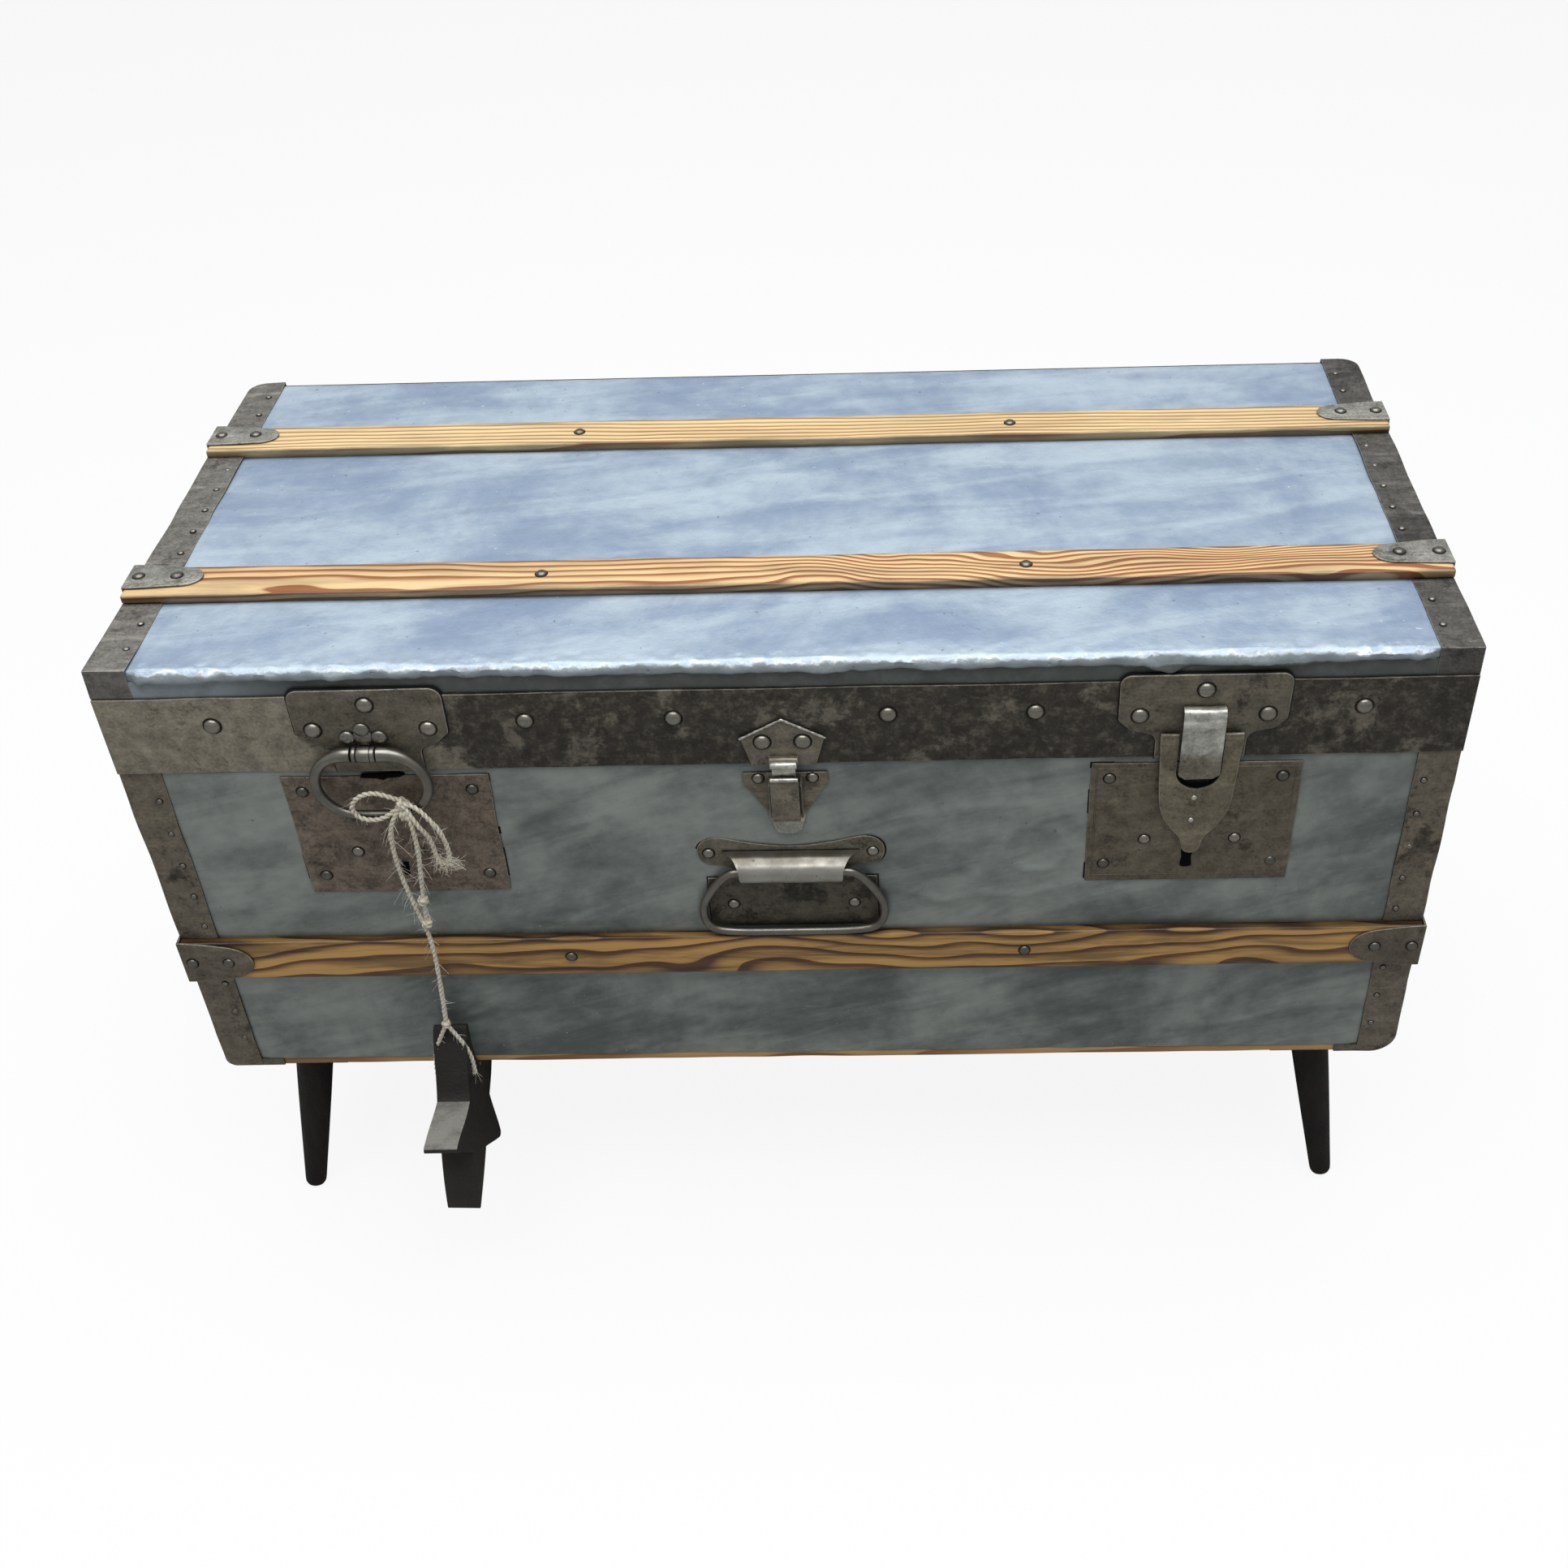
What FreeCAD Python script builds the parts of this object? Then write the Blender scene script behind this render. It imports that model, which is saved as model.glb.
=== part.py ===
import FreeCAD, Part
import math
import os
import re

# A zinc-clad travelling trunk on four splayed legs, in millimetres.
# X runs along the trunk, Y from the front to the back, Z up from the floor.
# The origin lies on the floor, under the middle of the trunk's own bounding box.

Vector = FreeCAD.Vector
doc = FreeCAD.newDocument("zinc_trunk")
sheet = doc.addObject("Spreadsheet::Sheet", "Sizes")

# Driving sizes: alias, value in millimetres or degrees, what it is

sizes = [
    ("width", "900", "trunk over its end bands"),
    ("depth", "406", "trunk over its front and back bands"),
    ("case_height", "369", "underside of the case to the top of the lid"),
    ("lid_height", "84", "top of the lid to the seam"),
    ("seam_gap", "0.4", "gap between the closed lid and the case"),
    ("board", "10", "pine boards of the carcass"),
    ("zinc", "0.8", "zinc sheet"),
    ("band", "1.2", "steel of the corner bands"),
    ("band_width", "28", "each leg of a corner band"),
    ("corner_left", "8", "rounding of the lower left corner"),
    ("corner_right", "18", "rounding of the lower right corner"),
    ("corner_back", "14", "rounding of the upright back corners"),
    ("rim_band", "2", "steel of the band round the lid's rim"),
    ("rim_band_height", "62", "height of the band round the lid's rim"),
    ("slat", "7", "thickness of the wooden slats"),
    ("slat_width", "36", "width of the wooden slats"),
    ("slat_front_y", "80.5", "front of the lid to the lid's front slat"),
    ("slat_rear_y", "281", "front of the lid to the lid's rear slat"),
    ("slat_drop", "239", "top of the lid to the slat on the front"),
    ("clamp", "1.5", "steel of the slat clamps"),
    ("clamp_reach", "51", "end of the trunk to the clamp's round tip"),
    ("clamp_flange", "19", "clamp's leg down the end of the trunk"),
    ("lid_clamp_width", "27", "width of the clamps on the lid"),
    ("runner_strap", "17", "length of the steel strap on a runner's end"),
    ("leg_drop", "150", "floor to the underside of the leg plates"),
    ("leg_plate", "4", "thickness of the leg plates"),
    ("leg_plate_side", "70", "side of a leg plate"),
    ("leg_plate_edge", "5", "front of the case to the leg plate"),
    ("leg_inset_x", "57", "end of the trunk to the leg's axis at its plate"),
    ("leg_inset_y", "40", "face of the trunk to the leg's axis at its plate"),
    ("leg_splay_x", "24", "sideways run of the leg down to the floor"),
    ("leg_splay_y", "32", "forward run of the leg down to the floor"),
    ("leg_top_radius", "15.5", "leg at its plate"),
    ("leg_tip_radius", "8.4", "leg at its round tip"),
    ("leg_flat", "0.5", "depth of the flat worn on a foot's tip"),
    ("nail_radius", "2.1", "band nail's head"),
    ("nail_height", "0.9", "band nail's head"),
    ("nail_pitch", "29.5", "from one band nail to the next"),
    ("nail_inset", "21", "end of the trunk to the row of band nails"),
    ("rivet_radius", "5.6", "large round rivet heads"),
    ("rivet_height", "2.4", "large round rivet heads"),
    ("stud_radius", "4", "round heads on the slats and clamps"),
    ("stud_height", "1.6", "round heads on the slats and clamps"),
    ("slat_nail_x", "165", "middle of the trunk to a slat's nail"),
    ("plate", "1.6", "steel of the lock and hasp plates"),
    ("lock_share", "0.3011111", "place of the left lock from the middle, of the width"),
    ("lock_right_share", "0.3066667", "place of the right lock from the middle, of the width"),
    ("lock_width", "141", "lock plate"),
    ("lock_height", "105", "lock plate"),
    ("lock_screw_inset", "12.5", "edge of a lock plate to its screws"),
    ("lock_drop", "5.5", "seam to the lock plate's top"),
    ("keyhole_drop", "78", "lock plate's top to the keyhole"),
    ("keyhole_radius", "2.6", "round part of the keyhole"),
    ("keyhole_slot", "2.4", "width of the keyhole's slot"),
    ("keyhole_length", "11", "length of the keyhole's slot"),
    ("lock_case_width", "84", "lock case inside the front board"),
    ("lock_case_height", "62", "lock case inside the front board"),
    ("lock_case_depth", "16", "lock case inside the front board"),
    ("hasp_plate_left_width", "102", "hasp plate on the left"),
    ("hasp_plate_width", "111", "hasp plate on the right"),
    ("hasp_plate_drop", "16", "top of the lid to a hasp plate"),
    ("hasp_plate_shoulder", "40", "height of a hasp plate's wide part"),
    ("hasp_neck_width", "60", "lower end of a hasp plate"),
    ("hasp_corner", "8", "rounding of a hasp plate's upper corners"),
    ("hasp_pin_radius", "1.6", "round bar at the top of the hasp"),
    ("hasp_stand_off", "3.2", "hasp plate's face to the bar's axis"),
    ("hasp_drop", "63.5", "top of the lid to the bar's axis"),
    ("hasp_width", "55", "hasp"),
    ("hasp_cheek", "2.4", "hasp above the bar's axis"),
    ("hasp_side", "60", "bar's axis to where the hasp narrows"),
    ("hasp_shoulder", "87", "bar's axis to the start of the nose"),
    ("hasp_length", "101", "bar's axis to the hasp's nose"),
    ("hasp_nose_width", "13.5", "nose of the hasp"),
    ("strap", "1.5", "bright strap that holds the hasp"),
    ("strap_width", "28", "bright strap that holds the hasp"),
    ("strap_top", "43", "top of the lid to the strap"),
    ("strap_foot", "8", "height of the strap's foot on its plate"),
    ("strap_length", "64", "strap down to its round tongue"),
    ("window_gap", "2.4", "gap between the tongue and the hasp's window"),
    ("run_gap", "0.3", "gap between pieces that pass each other"),
    ("pin_gap", "0.05", "radial gap of a pin in its hole"),
    ("ring_shift", "6", "middle of the left lock to the ring pull"),
    ("ring_drop", "63.5", "top of the lid to the ring's axis"),
    ("ring_radius", "3.2", "wire of the ring pull"),
    ("ring_straight", "24", "straight part of the ring's upper bar"),
    ("ring_height", "51.6", "ring's axis to the middle of its lower bar"),
    ("collar_radius", "4.8", "collars on the ring's upper bar"),
    ("collar_length", "2.5", "collars on the ring's upper bar"),
    ("eye_radius", "5.4", "eye that holds the ring"),
    ("eye_length", "9", "eye that holds the ring"),
    ("lug", "2", "trefoil lug"),
    ("lobe_radius", "5.2", "lobes of the trefoil lug"),
    ("lobe_reach", "8.5", "middle of the trefoil to a lobe"),
    ("latch_plate", "2", "steel of the draw latch's plates"),
    ("keeper_top", "46", "top of the lid to the keeper plate's point"),
    ("keeper_shoulder", "15", "keeper plate's point to its shoulders"),
    ("keeper_width", "56", "keeper plate at its shoulders"),
    ("keeper_foot", "43", "keeper plate at the seam"),
    ("keeper_lip", "3", "radius of the keeper's rolled lip"),
    ("keeper_lip_drop", "79", "top of the lid to the rolled lip"),
    ("latch_width", "19", "latch lever"),
    ("latch_head", "57", "latch base at its top"),
    ("latch_waist", "27", "latch base at its waist"),
    ("latch_tip", "16", "latch base at its lower tip"),
    ("latch_gap", "8", "seam to the latch base"),
    ("latch_shoulder", "9", "upright side of the latch base's head"),
    ("latch_length", "54", "height of the latch base"),
    ("latch_pin_drop", "30", "latch base's top to the lever's pin"),
    ("latch_pin_radius", "1.5", "lever's pin"),
    ("latch_stand_off", "5", "base's face to the lever's pin"),
    ("latch_ear", "1.5", "side ears of the latch base"),
    ("lever", "1.4", "steel of the lever"),
    ("lever_length", "35", "lever from its tip below the pin to its top"),
    ("lever_tail", "3", "lever below its pin"),
    ("link_drop", "20", "lever's pin to the link's pin"),
    ("link_radius", "1.8", "rolled ends of the link"),
    ("link", "1.4", "steel of the link"),
    ("handle_drop", "177", "top of the lid to the handle bar's axis"),
    ("bail_radius", "3.1", "wire of the handle"),
    ("sleeve_radius", "6.6", "sleeve that holds the handle"),
    ("sleeve_length", "74", "sleeve that holds the handle"),
    ("bracket_width", "131", "handle bracket over its ears"),
    ("bracket_rise", "13.5", "handle bar's axis to the screws"),
    ("ear_radius", "8.2", "ears of the handle bracket"),
    ("bail_neck", "84", "width of the handle's upper bar"),
    ("bail_width", "130", "handle at its widest"),
    ("bail_knee", "37", "bar's axis down to the handle's widest point"),
    ("bail_length", "55", "bar's axis down to the handle's grip"),
    ("grip_length", "92", "lower bar of the handle between its bends"),
    ("bail_bend", "12", "bends of the handle"),
    ("backing", "1.2", "plate behind the handle"),
    ("backing_width", "120", "plate behind the handle"),
    ("backing_height", "46", "plate behind the handle"),
    ("backing_drop", "10", "bar's axis to the plate behind the handle"),
    ("hinge_share", "0.3", "place of a hinge from the middle, of the width"),
    ("hinge_leaf", "2", "steel of the hinge leaves"),
    ("hinge_width", "60", "hinge"),
    ("hinge_height", "52", "height of a hinge leaf"),
    ("knuckle_radius", "5", "hinge knuckles"),
    ("hinge_pin_radius", "2.5", "hinge pins"),
    ("twine_radius", "1.4", "jute twine"),
    ("knot_radius", "4.5", "knot of the bow"),
    ("knot_offset", "18", "middle of the ring to the knot"),
    ("knot_lift", "2.1", "how far the bow's knot clears the straight part of the ring's lower wire"),
    ("end_knot_radius", "3", "frayed knots in the twine"),
    ("split_knot_radius", "2.6", "knot where the twine parts round the star"),
    ("star_hole", "2.2", "hole through the star's top arm"),
    ("star_radius", "75.7", "hanging star, centre to point"),
    ("star_thickness", "24.8", "hanging star"),
    ("star_shift", "6", "middle of the left lock to the star"),
    ("star_out", "27", "front of the trunk to the star's centre"),
    ("star_drop", "402.7", "top of the lid to the star's centre"),
    ("star_tip", "3", "rounding of the star's points"),
    ("star_lean", "8", "star's lean towards the trunk, in degrees"),
    ("overrun", "2", "how far a cut runs past what it cuts"),
]

# Places that follow from the driving sizes

places = [
    ("front_reach", "rim_band - band + plate + lug + collar_radius + run_gap + eye_radius"),
    ("back_reach", "rim_band - band + run_gap + 2 * knuckle_radius"),
    ("front_y", "-(depth + back_reach - front_reach) / 2"),
    ("back_y", "front_y + depth"),
    ("end_x", "width / 2"),
    ("lock_x", "lock_share * width"),
    ("lock_right_x", "lock_right_share * width"),
    ("ring_x", "lock_x + ring_shift"),
    ("star_x", "lock_x - star_shift"),
    ("hinge_x", "hinge_share * width"),
    ("runner_bottom", "leg_drop + leg_plate"),
    ("case_bottom", "runner_bottom + slat"),
    ("case_top", "case_bottom + case_height"),
    ("seam_z", "case_top - lid_height"),
    ("body_top", "seam_z - seam_gap"),
    ("skin", "band + zinc"),
    ("zinc_y", "front_y + band"),
    ("zinc_back_y", "back_y - band"),
    ("rim_y", "front_y + band - rim_band"),
    ("rim_back_y", "back_y - band + rim_band"),
    ("rim_x", "end_x - band + rim_band"),
    ("rim_top", "seam_z + rim_band_height"),
    ("lid_face_z", "case_top - band"),
    ("slat_z", "case_top - slat_drop"),
    ("lock_top", "seam_z - lock_drop"),
    ("lock_y", "zinc_y - plate"),
    ("keyhole_z", "lock_top - keyhole_drop"),
    ("hasp_face_y", "rim_y - plate"),
    ("hasp_axis_y", "hasp_face_y - hasp_stand_off"),
    ("hasp_axis_z", "case_top - hasp_drop"),
    ("ring_axis_y", "hasp_face_y - lug - collar_radius - run_gap"),
    ("ring_axis_z", "case_top - ring_drop"),
    ("latch_top", "seam_z - latch_gap"),
    ("latch_face_y", "zinc_y - latch_plate"),
    ("latch_pin_y", "latch_face_y - latch_stand_off"),
    ("latch_pin_z", "latch_top - latch_pin_drop"),
    ("handle_axis_y", "zinc_y - sleeve_radius"),
    ("handle_axis_z", "case_top - handle_drop"),
    ("hinge_axis_y", "rim_back_y + run_gap + knuckle_radius"),
    ("hinge_face_y", "rim_back_y + hinge_leaf"),
    ("knot_x", "-ring_x + knot_offset"),
    ("ring_low_z", "ring_axis_z - ring_height"),
    ("knot_z", "ring_low_z + ring_radius + knot_radius + knot_lift"),
]

row = 0
for alias, value, note in sizes:
    row += 1
    sheet.set("A%d" % row, note)
    sheet.set("B%d" % row, value)
    sheet.setAlias("B%d" % row, alias)
for alias, formula in places:
    row += 1
    sheet.set("B%d" % row, "=" + formula)
    sheet.setAlias("B%d" % row, alias)
doc.recompute()
names = [entry[0] for entry in sizes + places]
word = re.compile(r"\b(" + "|".join(names) + r")\b")


def mm(alias):
    """Reads one value from the sheet."""
    return float(sheet.get(alias))


def bind(item, prop, formula):
    """Ties a property to a formula of the sheet's aliases."""
    item.setExpression(prop, word.sub(r"Sizes.\1", formula))


nodes = []


def node(item, label):
    """Marks an object as a finished sub-part."""
    item.Label = label
    nodes.append(item)
    return item


# Primitives and booleans whose sizes follow the sheet

def add_box(name, across, along, upright):
    """Box from pairs of formulas, low and high, for X, Y and Z."""
    item = doc.addObject("Part::Box", name)
    for prop, place, pair in (("Length", "x", across), ("Width", "y", along), ("Height", "z", upright)):
        bind(item, prop, "(%s) - (%s)" % (pair[1], pair[0]))
        bind(item, "Placement.Base." + place, pair[0])
    return item


turns = {
    "x": FreeCAD.Rotation(Vector(0, 1, 0), 90),
    "y": FreeCAD.Rotation(Vector(1, 0, 0), -90),
    "z": FreeCAD.Rotation(),
}


def add_cylinder(name, axis, radius, length, place):
    """Cylinder along an axis, from formulas for its radius, length and start."""
    item = doc.addObject("Part::Cylinder", name)
    item.Placement = FreeCAD.Placement(Vector(), turns[axis])
    bind(item, "Radius", radius)
    bind(item, "Height", length)
    for letter, formula in zip("xyz", place):
        bind(item, "Placement.Base." + letter, formula)
    return item


def add_cut(name, base, *tools):
    """Base with every tool taken out of it."""
    item = base
    for count, tool in enumerate(tools):
        result = doc.addObject("Part::Cut", "%s_%d" % (name, count))
        result.Base = item
        result.Tool = tool
        item = result
    return item


def add_fuse(name, *parts):
    """One solid from pieces that meet."""
    item = doc.addObject("Part::MultiFuse", name)
    item.Shapes = list(parts)
    item.Refine = True
    return item


def add_common(name, base, tool):
    """What base and tool share."""
    item = doc.addObject("Part::Common", name)
    item.Base = base
    item.Tool = tool
    return item


def add_group(name, parts):
    """Separate solids that share one node."""
    item = doc.addObject("Part::Compound", name)
    item.Links = list(parts)
    return item


def add_shape(name, shape, place=Vector()):
    """A shape that no primitive gives, worked out from the sheet round its own zero, set at place."""
    item = doc.addObject("Part::Feature", name)
    item.Shape = shape
    item.Placement = FreeCAD.Placement(place, FreeCAD.Rotation())
    return item


def rounded_wire(points, radii, closed):
    """Straight runs joined by tangent arcs of the given radii, one for each point."""
    count = len(points)
    tiny = min(mm("pin_gap"), mm("run_gap")) / count
    edges = []
    last = None
    first = None
    for index in range(count):
        point = points[index]
        radius = radii[index]
        inner = closed or 0 < index < count - 1
        if inner and radius > 0:
            back = (points[index - 1] - point).normalize()
            ahead = (points[(index + 1) % count] - point).normalize()
            half = back.getAngle(ahead) / 2
            reach = radius / math.tan(half)
            start = point + back * reach
            finish = point + ahead * reach
            middle = (back + ahead).normalize()
            crown = point + middle * (radius / math.sin(half) - radius)
        else:
            start = point
            finish = point
            crown = None
        if last is not None and (start - last).Length > tiny:
            edges.append(Part.LineSegment(last, start).toShape())
        if crown is not None:
            edges.append(Part.Arc(start, crown, finish).toShape())
        if first is None:
            first = start
        last = finish
    if closed and (first - last).Length > tiny:
        edges.append(Part.LineSegment(last, first).toShape())
    return Part.Wire(edges)


def add_plate(name, wires, way, thickness, place):
    """Flat plate: an outline with its holes, drawn on a plane and pushed along way."""
    outline = add_shape(name + "_outline", Part.Face(wires))
    item = doc.addObject("Part::Extrusion", name)
    item.Base = outline
    item.DirMode = "Custom"
    item.Dir = way
    item.Solid = True
    bind(item, "LengthFwd", thickness)
    for letter, formula in place.items():
        bind(item, "Placement.Base." + letter, formula)
    return item


def upright(pairs):
    """Points in the XZ plane."""
    return [Vector(x, 0, z) for x, z in pairs]


def circle_wire(x, z, radius):
    """Round hole in the XZ plane."""
    return Part.Wire(Part.Circle(Vector(x, 0, z), Vector(0, 1, 0), radius).toShape())


def half_outline(pairs, radii):
    """Outline that is the same on both sides of x = 0, from its right-hand points."""
    left = [(-x, z) for x, z in reversed(pairs)]
    return rounded_wire(upright(list(pairs) + left), list(radii) + list(reversed(radii)), True)


def domed_head(place, way, radius, height):
    """Round rivet or nail head: a cap of a ball, flat side at place."""
    ball = (radius ** 2 + height ** 2) / (2 * height)
    half_turn = math.asin(radius / ball) / 2
    middle = Vector(ball * math.sin(half_turn), 0, height - ball + ball * math.cos(half_turn))
    rim = Vector(radius, 0, 0)
    crown = Vector(0, 0, height)
    edges = [Part.LineSegment(Vector(), rim).toShape(), Part.Arc(rim, middle, crown).toShape(),
             Part.LineSegment(crown, Vector()).toShape()]
    cap = Part.Face(Part.Wire(edges)).revolve(Vector(), Vector(0, 0, 1), 360)
    cap.Placement = FreeCAD.Placement(place, FreeCAD.Rotation(Vector(0, 0, 1), way))
    return cap


def add_heads(name, spots, radius, height):
    """Group of round heads, each from a place on a face and the face's outward way."""
    heads = [domed_head(place, way, mm(radius), mm(height)) for place, way in spots]
    return add_shape(name, Part.makeCompound(heads))


# Envelopes that round the case's corners, one for each layer of its skin

def envelope(name, inward):
    """Space inside the outer steel, brought in by a distance."""
    side = mm("end_x") - inward
    low = mm("runner_bottom") + inward
    high = mm("case_top") - inward
    front = mm("front_y") + inward
    back = mm("back_y") - inward
    corners = [max(mm(alias) - inward, 0) for alias in ("corner_left", "corner_right")]
    face = rounded_wire(upright([(-side, low), (side, low), (side, high), (-side, high)]),
                        corners + [0, 0], True)
    plan = [Vector(-side, front, 0), Vector(side, front, 0), Vector(side, back, 0), Vector(-side, back, 0)]
    turn = max(mm("corner_back") - inward, 0)
    ground = rounded_wire(plan, [0, 0, turn, turn], True)
    along = add_plate(name + "_along", [face], Vector(0, 1, 0), "depth + 2 * rim_band",
                      {"y": "front_y - rim_band"})
    tall = add_plate(name + "_tall", [ground], Vector(0, 0, 1), "case_top + rim_band", {})
    return add_common(name, along, tall)


wood_space = envelope("wood_space", mm("skin"))
zinc_space = envelope("zinc_space", mm("band"))
steel_space = envelope("steel_space", 0)

# Carcass of the case: four boards round a floor

wood_x = "(end_x - skin)"
wood_front = "(front_y + skin)"
wood_back = "(back_y - skin)"
inner_front = "(front_y + skin + board)"
inner_back = "(back_y - skin - board)"
inner_x = "(end_x - skin - board)"

case_z = ("case_bottom", "body_top")
front_block = add_box("front_block", ("-" + wood_x, wood_x), (wood_front, inner_front), case_z)
back_block = add_box("back_block", ("-" + wood_x, wood_x), (inner_back, wood_back), case_z)
left_block = add_box("left_block", ("-" + wood_x, "-" + inner_x), (inner_front, inner_back), case_z)
right_block = add_box("right_block", (inner_x, wood_x), (inner_front, inner_back), case_z)


def keyhole(name, lock_centre):
    """Round hole with a slot below it, through the plate, the zinc and the board."""
    deep = "board + skin + plate + overrun"
    start = "lock_y - overrun / 2"
    hole = add_cylinder(name + "_hole", "y", "keyhole_radius", deep, (lock_centre, start, "keyhole_z"))
    slot = add_box(name + "_slot",
                   (lock_centre + " - keyhole_slot / 2", lock_centre + " + keyhole_slot / 2"),
                   (start, start + " + " + deep),
                   ("keyhole_z - keyhole_length", "keyhole_z"))
    return add_fuse(name, hole, slot)


left_keyhole = keyhole("left_keyhole", "-lock_x")
right_keyhole = keyhole("right_keyhole", "lock_right_x")
keyholes = (left_keyhole, right_keyhole)

node(add_cut("front_board_cut", add_common("front_board_shaped", front_block, wood_space), *keyholes),
     "front_board")
node(add_common("back_board", back_block, wood_space), "back_board")
node(add_common("left_end_board", left_block, wood_space), "left_end_board")
node(add_common("right_end_board", right_block, wood_space), "right_end_board")
floor = add_box("floor_block", ("-" + inner_x, inner_x), (inner_front, inner_back),
                ("case_bottom", "case_bottom + board"))
node(add_common("floor_board_shaped", floor, wood_space), "floor_board")

# Zinc sheet round the case

zinc_x = "(end_x - band)"
outer_sheet = add_box("zinc_outer", ("-" + zinc_x, zinc_x), ("zinc_y", "zinc_back_y"), case_z)
sheet_shape = add_common("zinc_rounded", outer_sheet, zinc_space)
wood_core = add_box("zinc_core", ("-" + wood_x, wood_x), (wood_front, wood_back),
                    ("case_bottom - overrun", "body_top + overrun"))
core_shape = add_common("zinc_core_rounded", wood_core, wood_space)
node(add_cut("case_zinc", sheet_shape, core_shape, *keyholes), "case_zinc")


# Steel bands on the upright corners and along the lower ends

def corner_band(name, side, front):
    """L-shaped steel on one upright corner, down over the runner's end."""
    outer = "(%send_x)" % side
    inward = "+" if side == "-" else "-"
    face_pair = [outer, "(%s %s band_width)" % (outer, inward)]
    leg_pair = [outer, "(%s %s band)" % (outer, inward)]
    if side != "-":
        face_pair.reverse()
        leg_pair.reverse()
    if front:
        face_y = ("front_y", "zinc_y")
        leg_y = ("front_y", "front_y + band_width")
    else:
        face_y = ("zinc_back_y", "back_y")
        leg_y = ("back_y - band_width", "back_y")
    face = add_box(name + "_face", face_pair, face_y, ("runner_bottom", "body_top"))
    leg = add_box(name + "_leg", leg_pair, leg_y, ("case_bottom", "body_top"))
    both = add_fuse(name + "_angle", face, leg)
    rounded = add_common(name + "_rounded", both, steel_space)
    return add_cut(name, rounded, zinc_fill)


zinc_block = add_box("zinc_block", ("-" + zinc_x, zinc_x), ("zinc_y", "zinc_back_y"),
                     ("case_bottom", "case_top"))
zinc_fill = add_common("zinc_fill", zinc_block, zinc_space)
corner_bands = []
for side_word, sign in (("left", "-"), ("right", "")):
    corner_bands.append(corner_band("band_front_" + side_word, sign, True))
    corner_bands.append(corner_band("band_back_" + side_word, sign, False))
node(add_group("corner_bands", corner_bands), "corner_bands")

lower_bands = []
for side_word, sign in (("left", "-"), ("right", "")):
    pair = ["%send_x" % sign, "%s(end_x - band)" % sign]
    if not sign:
        pair.reverse()
    strip = add_box("lower_strip_" + side_word, pair,
                    ("front_y + band_width + run_gap", "back_y - band_width - run_gap"),
                    ("case_bottom", "case_bottom + band_width"))
    strip_shape = add_common("lower_strip_shaped_" + side_word, strip, steel_space)
    lower_bands.append(add_cut("lower_band_" + side_word, strip_shape, zinc_fill))
node(add_group("lower_end_bands", lower_bands), "lower_end_bands")

# Wooden slats, notched over the steel bands at their ends

def slat_boards(name, y_pair, z_pair, tools):
    """Slat across the whole trunk, with the steel it lies over taken out."""
    block = add_box(name + "_block", ("-end_x", "end_x"), y_pair, z_pair)
    return node(add_cut(name, block, *tools), name)


def notch(name, y_pair, z_pair):
    """Space of the band legs at both ends of a slat."""
    left = add_box(name + "_left", ("-end_x - overrun", "-end_x + band_width"), y_pair, z_pair)
    right = add_box(name + "_right", ("end_x - band_width", "end_x + overrun"), y_pair, z_pair)
    return [left, right]


slat_front = "(zinc_y - slat)"
slat_back = "(zinc_back_y + slat)"
slat_pair = ("slat_z - slat_width", "slat_z")
notch_pair = ("slat_z - slat_width - overrun", "slat_z + overrun")
slat_boards("case_front_slat", (slat_front, "zinc_y"), slat_pair,
            notch("front_notch", ("front_y", "zinc_y + overrun"), notch_pair))
slat_boards("case_back_slat", ("zinc_back_y", slat_back), slat_pair,
            notch("back_notch", ("zinc_back_y - overrun", "back_y"), notch_pair))

slat_top = "(lid_face_z + slat)"
for slat_name, slat_place in (("lid_front_slat", "slat_front_y"), ("lid_rear_slat", "slat_rear_y")):
    slat_y = "(front_y + %s)" % slat_place
    slat_boards(slat_name, (slat_y, slat_y + " + slat_width"), ("lid_face_z", slat_top),
                notch(slat_name + "_notch", (slat_y + " - overrun", slat_y + " + slat_width + overrun"),
                      ("lid_face_z - overrun", "case_top")))

runner_end = "(end_x - band_width)"
for runner_name, runner_y in (("front_runner", ("zinc_y", "zinc_y + slat_width")),
                              ("back_runner", ("zinc_back_y - slat_width", "zinc_back_y"))):
    node(add_box(runner_name, ("-" + runner_end, runner_end), runner_y, ("runner_bottom", "case_bottom")),
         runner_name)

straps = []
for front_word, strap_y in (("front", ("front_y", "zinc_y")), ("back", ("zinc_back_y", "back_y"))):
    for side_word, strap_x in (("left", ("-" + runner_end, "-%s + runner_strap" % runner_end)),
                               ("right", (runner_end + " - runner_strap", runner_end))):
        straps.append(add_box("runner_strap_%s_%s" % (front_word, side_word), strap_x, strap_y,
                              ("runner_bottom", "case_bottom")))
node(add_group("runner_straps", straps), "runner_straps")


# Steel clamps over the slats' ends: a tongue with a round tip and a leg down the trunk's end

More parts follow.
